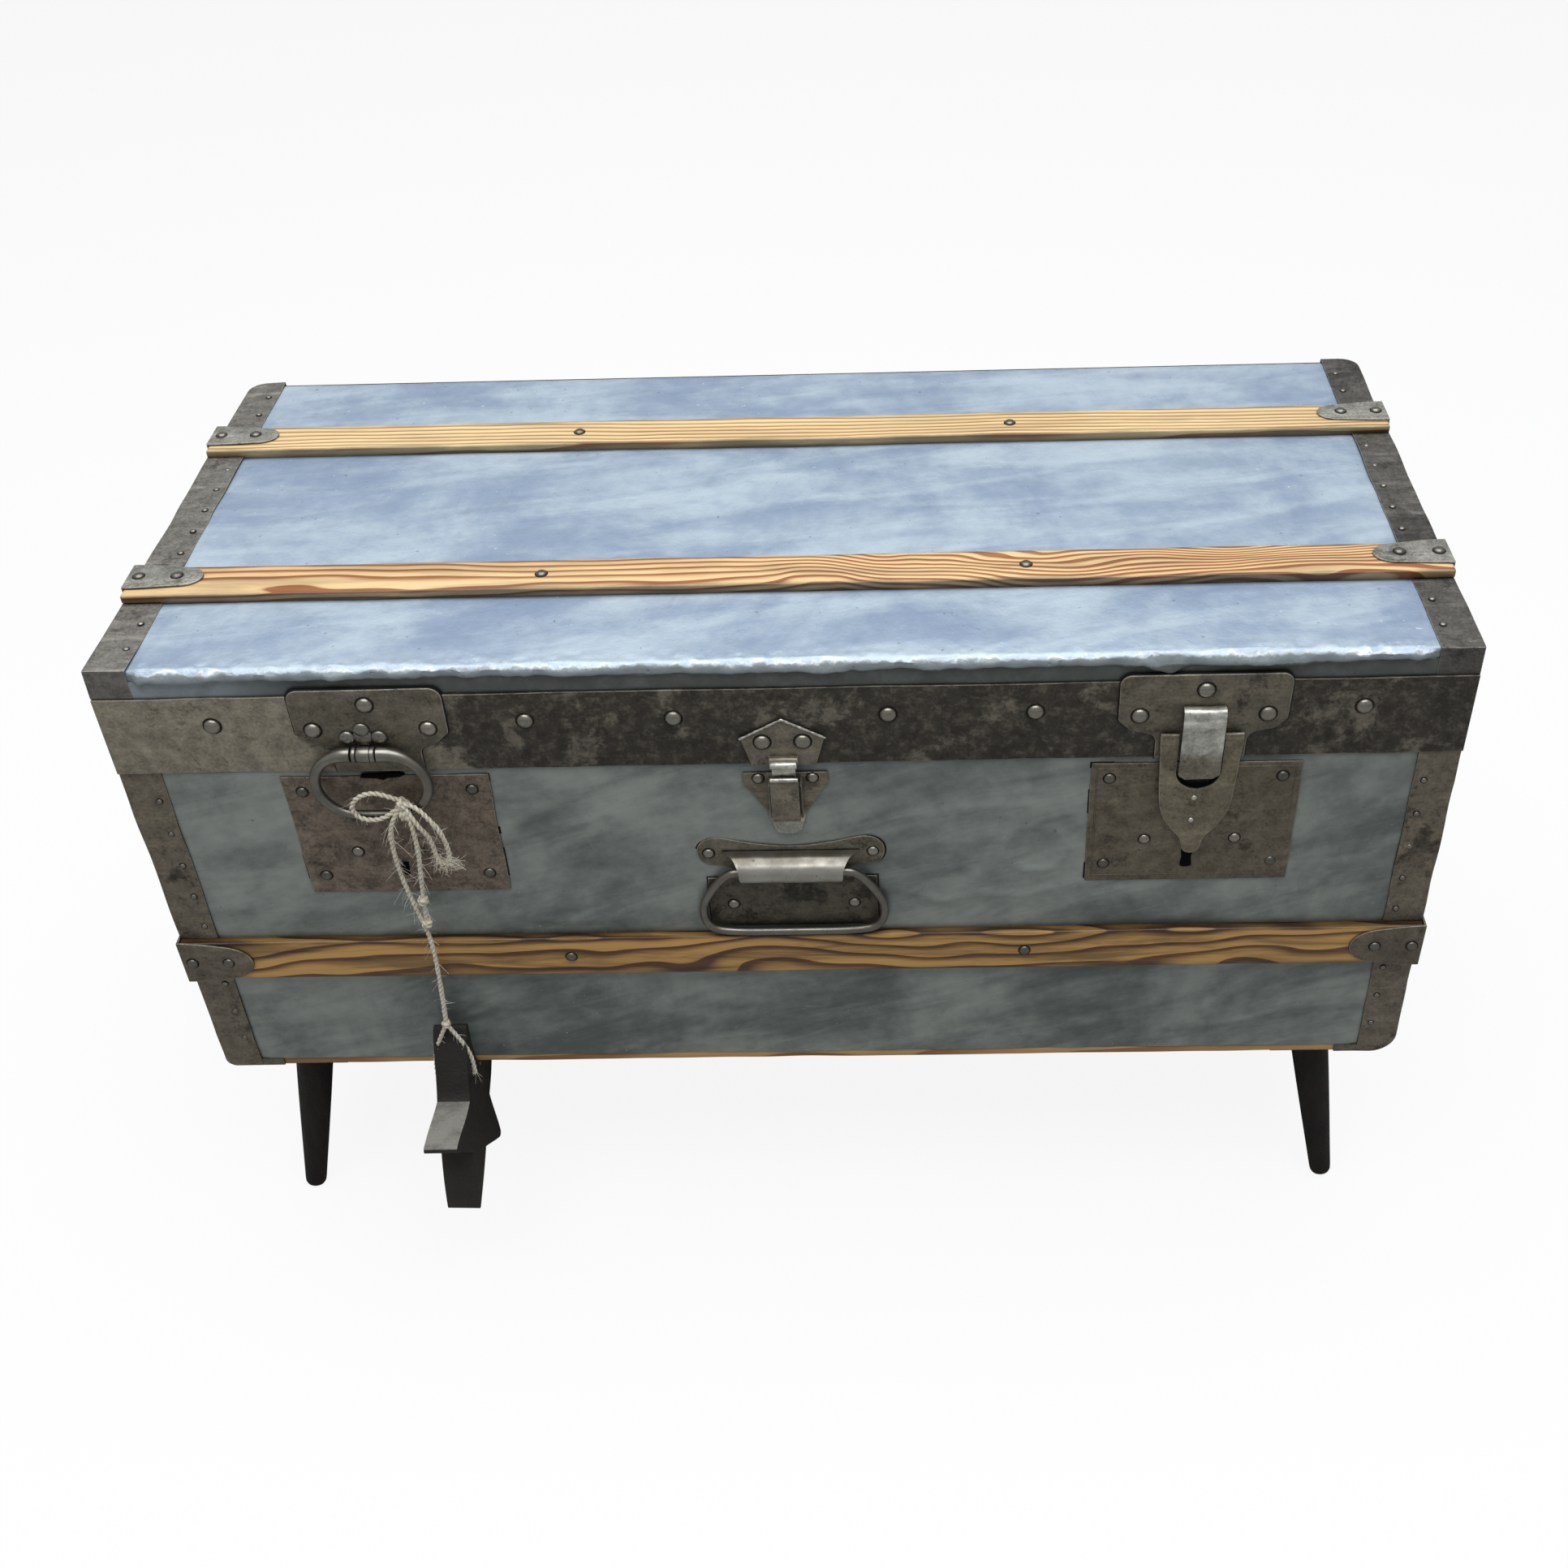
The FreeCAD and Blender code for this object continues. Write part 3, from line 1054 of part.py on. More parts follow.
knuckle = "(hinge_width / 3 - run_gap)"
case_leaves = []
lid_leaves = []
pins = []
for side_word, sign in (("left", -1), ("right", 1)):
    centre = "(%d * hinge_x)" % sign
    low_x = centre + " - hinge_width / 2"
    high_x = centre + " + hinge_width / 2"
    bore = add_cylinder("hinge_bore_" + side_word, "x", "hinge_pin_radius + pin_gap",
                        "hinge_width + 2 * overrun", (low_x + " - overrun", "hinge_axis_y", "seam_z"))
    pins.append(add_cylinder("hinge_pin_" + side_word, "x", "hinge_pin_radius", "hinge_width",
                             (low_x, "hinge_axis_y", "seam_z")))
    lower = [add_box("case_leaf_plate_" + side_word, (low_x, high_x), ("zinc_back_y", "hinge_face_y"),
                     ("seam_z - hinge_height", "seam_z - knuckle_radius - run_gap"))]
    for count, start in enumerate((low_x, high_x + " - " + knuckle)):
        tag = "%s_%d" % (side_word, count)
        lower.append(add_box("case_knuckle_root_" + tag, (start, start + " + " + knuckle),
                             ("zinc_back_y", "hinge_face_y"),
                             ("seam_z - knuckle_radius - overrun", "body_top")))
        lower.append(add_cylinder("case_knuckle_" + tag, "x", "knuckle_radius", knuckle,
                                  (start, "hinge_axis_y", "seam_z")))
    case_pin_space = add_cylinder("case_pin_space_" + side_word, "x", "hinge_pin_radius",
                                  "hinge_width + 2 * overrun",
                                  (low_x + " - overrun", "hinge_axis_y", "seam_z"))
    case_leaves.append(add_cut("case_leaf_" + side_word, add_fuse("case_leaf_body_" + side_word, *lower),
                               case_pin_space))
    middle_low = centre + " - hinge_width / 6 + run_gap"
    middle_high = centre + " + hinge_width / 6 - run_gap"
    upper = [
        add_box("lid_leaf_plate_" + side_word, (low_x, high_x), ("rim_back_y", "hinge_face_y"),
                ("seam_z + knuckle_radius + run_gap", "seam_z + hinge_height")),
        add_box("lid_knuckle_root_" + side_word, (middle_low, middle_high), ("rim_back_y", "hinge_face_y"),
                ("seam_z", "seam_z + knuckle_radius + overrun")),
        add_cylinder("lid_knuckle_" + side_word, "x", "knuckle_radius", "hinge_width / 3 - 2 * run_gap",
                     (middle_low, "hinge_axis_y", "seam_z")),
    ]
    lid_leaves.append(add_cut("lid_leaf_" + side_word, add_fuse("lid_leaf_body_" + side_word, *upper), bore))
node(add_group("case_hinge_leaves", case_leaves), "case_hinge_leaves")
node(add_group("lid_hinge_leaves", lid_leaves), "lid_hinge_leaves")
node(add_group("hinge_pins", pins), "hinge_pins")
for sign in (-1, 1):
    for offset in (-1, 0, 1):
        spot_x = sign * mm("hinge_x") + offset * mm("hinge_width") / 3
        low_spot = Vector(spot_x, mm("hinge_face_y"), mm("seam_z") - leaf_rivet_share * mm("hinge_height"))
        hardware_spots.append((low_spot, back_way))
node(add_heads("case_hardware_rivets", hardware_spots, "stud_radius", "stud_height"), "case_hardware_rivets")

# Legs: turned and tapered, splayed outward and forward or back, on steel plates

tip = mm("leg_tip_radius")
leg_plates = []
for front_word, front_sign in (("front", -1), ("back", 1)):
    for side_word, side in (("left", -1), ("right", 1)):
        face_y = mm("front_y") if front_sign < 0 else mm("back_y")
        top = Vector(side * (mm("end_x") - mm("leg_inset_x")), face_y - front_sign * mm("leg_inset_y"),
                     mm("leg_drop"))
        foot = Vector(top.x + side * mm("leg_splay_x"), top.y + front_sign * mm("leg_splay_y"),
                      tip - mm("leg_flat"))
        run = foot - top
        taper = (mm("leg_top_radius") - tip) / run.Length
        above = mm("leg_top_radius")
        start = top - Vector(run).normalize() * above
        cone = Part.makeCone(mm("leg_top_radius") + taper * above, tip, run.Length + above, start, run)
        toe = Part.makeSphere(tip, foot)
        side_length = 4 * above + mm("leg_splay_x") + mm("leg_splay_y")
        block = Part.makeBox(2 * side_length, 2 * side_length, mm("leg_drop"),
                             Vector(top.x - side_length, top.y - side_length, 0))
        label = "leg_%s_%s" % (front_word, side_word)
        node(add_shape(label, cone.fuse(toe).common(block).removeSplitter()), label)
        sign = "" if side > 0 else "-"
        middle = "%s(end_x - leg_inset_x)" % sign
        if front_sign < 0:
            plate_y = ("front_y + leg_plate_edge", "front_y + leg_plate_edge + leg_plate_side")
        else:
            plate_y = ("back_y - leg_plate_edge - leg_plate_side", "back_y - leg_plate_edge")
        leg_plates.append(add_box("plate_" + label,
                                  (middle + " - leg_plate_side / 2", middle + " + leg_plate_side / 2"),
                                  plate_y, ("leg_drop", "runner_bottom")))
node(add_group("leg_plates", leg_plates), "leg_plates")

# Star: five points, hung edge on to the trunk

lean = math.radians(mm("star_lean"))
star_inner_share = 0.462
star_hole_share = 0.5
star_corners = []
star_radii = []
for index in range(10):
    turn = math.pi / 2 + index * math.pi / 5 - lean
    reach = mm("star_radius") * (star_inner_share if index % 2 else 1)
    star_corners.append(Vector(0, reach * math.cos(turn), reach * math.sin(turn)))
    star_radii.append(0 if index % 2 else mm("star_tip"))
star_face = Part.Face(rounded_wire(star_corners, star_radii, True))
star_body = star_face.extrude(Vector(mm("star_thickness"), 0, 0))
hole_reach = star_hole_share * mm("star_radius")
hole_place = Vector(-mm("overrun"), hole_reach * math.sin(lean), hole_reach * math.cos(lean))
star_drill = Part.makeCylinder(mm("star_hole"), mm("star_thickness") + 2 * mm("overrun"), hole_place,
                               Vector(1, 0, 0))
star_place = Vector(-mm("star_x") - mm("star_thickness") / 2, mm("front_y") - mm("star_out"),
                    mm("case_top") - mm("star_drop"))
node(add_shape("star", star_body.cut(star_drill), star_place), "star")

# Twine: its routes are chosen by hand, as points from the bow down to the star

loop_left_route = [(-261.1, -212.7, 428.7), (-265.5, -215.2, 433.5), (-276, -215.8, 438.2), (-287, -216, 434.8),
                   (-293.4, -216, 425.8), (-290, -216, 416.2), (-279, -216, 413.6),
                   (-268.5, -215.8, 417.6), (-262.7, -212.6, 422)]
loop_right_route = [(-254.7, -213.1, 424.8), (-248.5, -216.8, 425), (-240.8, -217.8, 414), (-236, -216.4, 401),
                    (-234.2, -214.8, 387), (-234.8, -214.2, 377), (-237, -214.1, 371.8),
                    (-241.8, -214, 371.8), (-243.8, -214.1, 377.5), (-244.2, -214.4, 386.5),
                    (-245.2, -215.4, 398), (-250.4, -219.6, 412), (-256.8, -214.2, 422)]
line_route = [(-261, -213.6, 422.6), (-269.6, -217.4, 411), (-272, -216, 388), (-271.4, -214.4, 358),
              (-266.4, -213.8, 326), (-261.4, -214.3, 300), (-262.4, -216.2, 254), (-265, -218, 215)]
strand_route = [(-257.2, -213.6, 422.6), (-254.2, -218, 411.4), (-254.6, -216, 388), (-257.8, -214.6, 361),
                (-260.4, -214, 338), (-261.8, -214, 315)]
sling_route = [(-264.4, -218, 214), (-255.4, -218.8, 196), (-251.2, -220.2, 182),
               (-250.7, -222.2, 171.5), (-250.4, -222.8, 164.8), (-279.6, -222.8, 164.8),
               (-279.3, -222.2, 171.5), (-278.8, -220.2, 182), (-274.6, -218.8, 196),
               (-265.6, -218, 214)]


arc_share = 0.45


def twine_tube(label, route):
    """Tube along straight runs joined by arcs as large as the runs allow."""
    points = [Vector(*place) for place in route]
    radii = [0]
    for before, point, after in zip(points, points[1:], points[2:]):
        turn = (point - before).getAngle(after - point)
        shorter = min((point - before).Length, (after - point).Length)
        radii.append(arc_share * shorter / math.tan(turn / 2))
    radii.append(0)
    path = rounded_wire(points, radii, False)
    tube = round_bar(path, mm("twine_radius"), points[0], points[1] - points[0])
    section = math.pi * mm("twine_radius") ** 2
    volume_share = tube.Volume / (section * path.Length)
    shown = [round(radius, 1) for radius in radii[1:-1]]
    print("%s: %.1f long, volume share %.4f, radii %s" % (label, path.Length, volume_share, shown))
    return tube


knot_place = Vector(mm("knot_x"), mm("ring_axis_y"), mm("knot_z"))
knot = Part.makeSphere(mm("knot_radius"), knot_place)
bow_loops = [twine_tube("left loop", loop_left_route), twine_tube("right loop", loop_right_route)]
node(add_shape("twine_bow", Part.makeCompound([knot] + bow_loops)), "twine_bow")

upper_knot = Part.makeSphere(mm("end_knot_radius"), Vector(*strand_route[-2]))
lower_knot = Part.makeSphere(mm("end_knot_radius"), Vector(*strand_route[-1]))
split_knot = Part.makeSphere(mm("split_knot_radius"), Vector(*line_route[-1]))
line_tube = twine_tube("line", line_route)
strand_tube = twine_tube("strand", strand_route)
line_shape = line_tube.fuse([strand_tube, upper_knot, lower_knot, split_knot])
node(add_shape("twine_line", line_shape), "twine_line")
node(add_shape("twine_sling", twine_tube("sling", sling_route)), "twine_sling")

# Every object is checked before anything is written

doc.recompute()
for item in doc.Objects:
    if "Invalid" in item.State or "Error" in item.State:
        raise RuntimeError("%s failed: %s" % (item.Name, item.State))
for item in nodes:
    if item.Shape.isNull() or not item.Shape.isValid() or not item.Shape.Solids:
        raise RuntimeError("%s has no valid solid" % item.Label)

os.makedirs("parts", exist_ok=True)
for item in nodes:
    item.Shape.exportStep("parts/%s.step" % item.Label)
print("%d sub-parts, %d solids" % (len(nodes), sum(len(item.Shape.Solids) for item in nodes)))
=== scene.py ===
import math

import bmesh
import bpy
import numpy as np
from mathutils import Matrix


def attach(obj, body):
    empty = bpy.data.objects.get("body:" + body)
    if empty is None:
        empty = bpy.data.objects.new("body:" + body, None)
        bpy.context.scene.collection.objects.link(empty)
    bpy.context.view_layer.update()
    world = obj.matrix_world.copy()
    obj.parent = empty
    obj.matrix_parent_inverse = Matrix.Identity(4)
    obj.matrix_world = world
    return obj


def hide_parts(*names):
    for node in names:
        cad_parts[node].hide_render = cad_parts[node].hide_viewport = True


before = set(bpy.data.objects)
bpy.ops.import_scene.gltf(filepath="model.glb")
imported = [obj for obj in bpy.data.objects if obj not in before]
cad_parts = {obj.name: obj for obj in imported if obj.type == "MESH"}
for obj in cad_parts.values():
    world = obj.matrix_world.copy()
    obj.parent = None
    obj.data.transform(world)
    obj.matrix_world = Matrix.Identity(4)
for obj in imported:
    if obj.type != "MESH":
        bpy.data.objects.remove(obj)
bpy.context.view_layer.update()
print("frame loaded:", len(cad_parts), "nodes")

# Camera: the photograph's place, tip and turn; its frame is square
cameraView = {"place": (0.0813, -1.13742, 1.19313), "tipDown": 39.30, "turn": 1.822, "roll": -2.12,
              "focalPixels": 2208.77, "framePixels": 1932, "middlePixel": 1062.15, "sensorWidth": 36}


def makeCamera(view):
    data = bpy.data.cameras.new("photo_camera")
    data.sensor_width = view["sensorWidth"]
    data.lens = data.sensor_width * view["focalPixels"] / view["framePixels"]
    data.shift_x = (view["framePixels"] / 2 - view["middlePixel"]) / view["framePixels"]
    camera = bpy.data.objects.new("photo_camera", data)
    turned = Matrix.Rotation(math.radians(view["turn"]), 4, "Z")
    tipped = Matrix.Rotation(math.radians(90 - view["tipDown"]), 4, "X")
    rolled = Matrix.Rotation(math.radians(view["roll"]), 4, "Z")
    camera.matrix_world = Matrix.Translation(view["place"]) @ turned @ tipped @ rolled
    bpy.context.collection.objects.link(camera)
    bpy.context.scene.camera = camera


makeCamera(cameraView)
print("camera set")


# Mesh helpers: arrays of points in, finished pieces out

def gridFaces(rows, columns, wrapped=False):
    # quads between neighbouring rows and columns; wrapped joins the last column to the first
    last = columns if wrapped else columns - 1
    row, column = np.meshgrid(np.arange(rows - 1), np.arange(last), indexing="ij")
    ahead = (column + 1) % columns
    quads = [row * columns + column, row * columns + ahead, (row + 1) * columns + ahead,
             (row + 1) * columns + column]
    return np.stack(quads, axis=-1).reshape(-1, 4).tolist()


def meshPoints(mesh):
    # the mesh's vertices as one array
    points = np.empty(len(mesh.vertices) * 3)
    mesh.vertices.foreach_get("co", points)
    return points.reshape(-1, 3)


def buildMesh(name, shape, sharpAngle):
    # a shape is its points, its faces and, for the twine, a UV pair for each point, kept as its own UV map
    points, faces, *around = shape
    mesh = bpy.data.meshes.new(name)
    mesh.from_pydata(np.asarray(points, float).reshape(-1, 3).tolist(), [], faces)
    mesh.validate()
    if around:
        corners = np.empty(len(mesh.loops), int)
        mesh.loops.foreach_get("vertex_index", corners)
        mesh.uv_layers.new(name="UVMap").data.foreach_set("uv", np.asarray(around[0], float)[corners].ravel())
    shop = bmesh.new()
    shop.from_mesh(mesh)
    bmesh.ops.recalc_face_normals(shop, faces=shop.faces)
    shop.to_mesh(mesh)
    shop.free()
    smoothMesh(mesh, sharpAngle)
    return mesh


def smoothMesh(mesh, sharpAngle):
    mesh.polygons.foreach_set("use_smooth", np.ones(len(mesh.polygons), bool))
    mesh.set_sharp_from_angle(angle=math.radians(sharpAngle))
    mesh.update()


def closeShop(shop, name, move=None):
    # the bmesh as a new mesh with its faces turned outwards; move takes all its points and gives new ones
    bmesh.ops.recalc_face_normals(shop, faces=shop.faces)
    mesh = bpy.data.meshes.new(name)
    shop.to_mesh(mesh)
    shop.free()
    if move:
        mesh.vertices.foreach_set("co", move(meshPoints(mesh)).ravel())
    return mesh


def addPiece(name, mesh, body, slot, finish, *replaced):
    piece = bpy.data.objects.new(name, mesh)
    bpy.context.collection.objects.link(piece)
    piece.data.materials.append(finishes[finish])
    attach(piece, body)
    if replaced:
        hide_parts(*replaced)
    return piece


def addShape(name, shape, sharpAngle, body, slot, finish, *replaced):
    return addPiece(name, buildMesh(name, shape, sharpAngle), body, slot, finish, *replaced)


def joinParts(parts):
    # several shapes in one list of points and faces
    points, faces, offset = [], [], 0
    for somePoints, someFaces, *_ in parts:
        somePoints = np.asarray(somePoints, float).reshape(-1, 3)
        points.append(somePoints)
        faces += [[index + offset for index in face] for face in someFaces]
        offset += len(somePoints)
    return np.concatenate(points), faces


def latticeNoise(x, y, seed):
    # random heights from -1 to 1 on a unit lattice, joined by the curve 3t^2 - 2t^3 in both directions
    heights = np.random.default_rng(seed).uniform(-1, 1, (256, 256))
    xFloor, yFloor = np.floor(x).astype(int), np.floor(y).astype(int)
    xPart, yPart = x - xFloor, y - yFloor
    xBlend, yBlend = xPart * xPart * (3 - 2 * xPart), yPart * yPart * (3 - 2 * yPart)
    x0, x1, y0, y1 = xFloor % 256, (xFloor + 1) % 256, yFloor % 256, (yFloor + 1) % 256
    near = heights[x0, y0] * (1 - xBlend) + heights[x1, y0] * xBlend
    far = heights[x0, y1] * (1 - xBlend) + heights[x1, y1] * xBlend
    return near * (1 - yBlend) + far * yBlend


def smoothStep(low, high, value):
    # 0 below low, 1 above high, and 3t^2 - 2t^3 between
    share = np.clip((value - low) / (high - low), 0, 1)
    return share * share * (3 - 2 * share)


def cappedRings(rings):
    # points and faces of a tube through a stack of rings, with a point in the middle of each end
    count, sides = rings.shape[:2]
    ends = [rings[0].mean(axis=0)[None], rings[-1].mean(axis=0)[None]]
    points = np.concatenate([rings.reshape(-1, 3)] + ends)
    faces = gridFaces(count, sides, True)
    first, last, base = count * sides, count * sides + 1, (count - 1) * sides
    for index in range(sides):
        ahead = (index + 1) % sides
        faces += [[first, ahead, index], [last, base + index, base + ahead]]
    return points, faces


def carriedTube(line, reach, sides=10):
    # a ring of points round each point of the line, reach(turn, length) away, in a frame carried along it;
    # the shape's UV pairs are the share of a turn and the length along the line
    line = np.asarray(line, float)
    along = np.gradient(line, axis=0)
    along /= np.linalg.norm(along, axis=1)[:, None]
    side = np.cross(along[0], [0.0, 0.0, 1.0])
    if np.linalg.norm(side) < 0.1:
        side = np.cross(along[0], [1.0, 0.0, 0.0])
    sideways = np.empty_like(line)
    for index in range(len(line)):
        side = side - along[index] * (side @ along[index])
        side = side / np.linalg.norm(side)
        sideways[index] = side
    upwards = np.cross(along, sideways)
    length = np.concatenate([[0], np.cumsum(np.linalg.norm(np.diff(line, axis=0), axis=1))])
    turnGrid, lengthGrid = np.meshgrid(np.linspace(0, 2 * math.pi, sides, endpoint=False), length)
    away = (reach(turnGrid, lengthGrid) + 0 * turnGrid)[..., None]
    rings = line[:, None] + away * (np.cos(turnGrid)[..., None] * sideways[:, None]
                                    + np.sin(turnGrid)[..., None] * upwards[:, None])
    around = np.stack([turnGrid.ravel() / (2 * math.pi), lengthGrid.ravel()], axis=-1)
    return *cappedRings(rings), np.concatenate([around, around[:1], around[-1:]])


def lathe(profile, foot, tip, sides=28):
    # (radius, share of the way from foot to tip) pairs turned about the line from foot to tip
    foot, tip = np.asarray(foot, float), np.asarray(tip, float)
    axis = tip - foot
    height = np.linalg.norm(axis)
    axis = axis / height
    side = np.cross(axis, [0.0, 1.0, 0.0] if abs(axis[1]) < 0.9 else [1.0, 0.0, 0.0])
    side /= np.linalg.norm(side)
    other = np.cross(axis, side)
    profile = np.asarray(profile, float)
    turns = np.linspace(0, 2 * math.pi, sides, endpoint=False)
    rings = (foot + axis * height * profile[:, 1, None, None]
             + profile[:, 0, None, None] * (np.cos(turns)[None, :, None] * side
                                            + np.sin(turns)[None, :, None] * other))
    return cappedRings(rings)


# Shader helpers and the shared effects, as node groups

class Net:
    # short calls that place nodes in a tree and join their sockets
    def __init__(self, tree):
        self.tree = tree

    def add(self, kind, inputs=None, **settings):
        node = self.tree.nodes.new(kind)
        for name, value in settings.items():
            setattr(node, name, value)
        for name, value in (inputs or {}).items():
            socket = node.inputs[name]
            if isinstance(value, bpy.types.NodeSocket):
                self.tree.links.new(value, socket)
            else:
                socket.default_value = value
        return node

    def noise(self, vector, scale, detail=4.0, rough=0.55, distortion=0.0):
        node = self.add("ShaderNodeTexNoise", {"Vector": vector, "Scale": scale, "Detail": detail,
                                               "Roughness": rough, "Distortion": distortion})
        return node.outputs["Fac"]

    def step(self, value, low, high, toLow=0.0, toHigh=1.0):
        node = self.add("ShaderNodeMapRange", {"Value": value, "From Min": low, "From Max": high,
                                               "To Min": toLow, "To Max": toHigh},
                        interpolation_type="SMOOTHSTEP")
        return node.outputs["Result"]

    def calc(self, operation, first, second=0.0, third=0.0):
        return self.add("ShaderNodeMath", {0: first, 1: second, 2: third}, operation=operation).outputs[0]

    def plus(self, first, second):
        return self.calc("ADD", first, second)

    def minus(self, first, second):
        return self.calc("SUBTRACT", first, second)

    def times(self, first, second):
        return self.calc("MULTIPLY", first, second)

    def apart(self, vector):
        # the vector's X, Y and Z
        return self.add("ShaderNodeSeparateXYZ", {0: vector}).outputs

    def drift(self, vector, scale, detail, reach):
        # a noise that wanders from -reach to reach
        return self.step(self.noise(vector, scale, detail), 0.3, 0.7, -reach, reach)

    def mix(self, share, first, second, blend="MIX"):
        node = self.add("ShaderNodeMix", data_type="RGBA", blend_type=blend)
        for index, value in ((0, share), (6, first), (7, second)):
            if isinstance(value, bpy.types.NodeSocket):
                self.tree.links.new(value, node.inputs[index])
            else:
                node.inputs[index].default_value = value
        return node.outputs[2]

    def darker(self, shade, level):
        # the colour times a level
        grey = self.add("ShaderNodeCombineColor", {0: level, 1: level, 2: level}).outputs[0]
        return self.mix(1.0, shade, grey, "MULTIPLY")

    def place(self, vector, location=(0, 0, 0), rotation=(0, 0, 0), scale=(1, 1, 1)):
        node = self.add("ShaderNodeMapping", {"Vector": vector, "Location": location, "Rotation": rotation,
                                              "Scale": scale})
        return node.outputs["Vector"]


def newGroup(name, takes, gives):
    # a node group with named sockets; comes back with its net, its inputs and its output node
    group = bpy.data.node_groups.new(name, "ShaderNodeTree")
    for label, kind, value in takes:
        socket = group.interface.new_socket(label, in_out="INPUT", socket_type=kind)
        if value is not None:
            socket.default_value = value
    for label, kind in gives:
        group.interface.new_socket(label, in_out="OUTPUT", socket_type=kind)
    net = Net(group)
    return net, net.add("NodeGroupInput").outputs, net.add("NodeGroupOutput")


def giveOut(net, output, **values):
    for label, value in values.items():
        net.tree.links.new(value, output.inputs[label])


colour, number, vector = "NodeSocketColor", "NodeSocketFloat", "NodeSocketVector"
surfaceOutputs = [("Colour", colour), ("Roughness", number), ("Height", number)]


def cornerShadeGroup():
    # painted shade: 1 in the open and less in corners, where shade falls
    net, given, output = newGroup("cornerShade", [("Reach", number, 0.004), ("Floor", number, 0.25)],
                                  [("Clear", number)])
    openness = net.add("ShaderNodeAmbientOcclusion", {"Distance": given["Reach"]}, samples=6).outputs["AO"]
    giveOut(net, output, Clear=net.step(openness, 0.25, 0.97, given["Floor"], 1.0))
    return net.tree


def wornEdgeGroup():
    # the piece's own edge attribute, broken up by noise
    net, given, output = newGroup("wornEdge", [("Place", vector, None)], [("Wear", number)])
    edge = net.add("ShaderNodeAttribute", attribute_name="worn").outputs["Fac"]
    patchy = net.noise(given["Place"], 110.0, 4.0)
    giveOut(net, output, Wear=net.times(net.step(edge, 0.1, 0.7), net.step(patchy, 0.34, 0.58, 0.3, 1.0)))
    return net.tree


def agedSteelGroup():
    # clean metal under dark blotches and specks, reddish rust, pale smears along X, fine mottling and pits
    net, given, output = newGroup("agedSteel", [
        ("Place", vector, None), ("Clean", colour, (0.2, 0.18, 0.15, 1)),
        ("Dark", colour, (0.02, 0.018, 0.015, 1)), ("Rust", colour, (0.1, 0.04, 0.02, 1)),
        ("Patch Scale", number, 30.0), ("Dark Share", number, 0.4), ("Rust Share", number, 0.2),
        ("Gloss", number, 0.4), ("Smear", number, 0.35), ("Mottle", number, 1.0)], surfaceOutputs)
    place = given["Place"]
    broad = net.noise(place, given["Patch Scale"], 12.0, 0.70, 0.25)
    speck = net.noise(place, net.times(given["Patch Scale"], 6.5), 8.0, 0.72)
    edgeOfDark = net.step(given["Dark Share"], 0.0, 1.0, 0.72, 0.32)
    beyond = net.minus(broad, edgeOfDark)
    dark = net.times(net.step(beyond, -0.035, 0.05), net.step(speck, 0.36, 0.54, 0.55, 1.0))
    specks = net.times(net.step(speck, 0.55, 0.63), net.step(beyond, -0.16, 0.0, 0.15, 0.8))
    dark = net.calc("MAXIMUM", dark, specks)
    rustPlace = net.place(place, location=(3.1, 1.7, 5.3))
    rustBroad = net.noise(rustPlace, net.times(given["Patch Scale"], 0.8), 8.0, 0.66)
    edgeOfRust = net.step(given["Rust Share"], 0.0, 1.0, 0.72, 0.36)
    rust = net.step(net.minus(rustBroad, edgeOfRust), -0.03, 0.09)
    fine = net.noise(place, 480.0, 4.0, 0.65)
    middling = net.noise(place, 85.0, 6.0, 0.66)
    smear = net.step(net.noise(net.place(place, scale=(16.0, 95.0, 70.0)), 1.0, 6.0, 0.66), 0.50, 0.70)
    tone = net.plus(net.step(fine, 0.28, 0.72, -0.22, 0.22), net.step(middling, 0.3, 0.7, -0.26, 0.26))
    tone = net.plus(1.0, net.times(tone, given["Mottle"]))
    tone = net.plus(tone, net.times(smear, given["Smear"]))
    base = net.mix(net.times(rust, 0.8), given["Clean"], given["Rust"])
    base = net.mix(net.times(dark, 0.85), base, given["Dark"])
    rough = net.plus(net.step(given["Gloss"], 0.0, 1.0, 0.62, 0.22), net.step(fine, 0.3, 0.7, -0.05, 0.09))
    rough = net.plus(rough, net.times(dark, 0.16))
    height = net.plus(net.times(fine, 0.3), net.times(dark, -0.45))
    height = net.plus(height, net.times(middling, 1.1))
    giveOut(net, output, Colour=net.darker(base, tone), Roughness=rough, Height=height)
    return net.tree


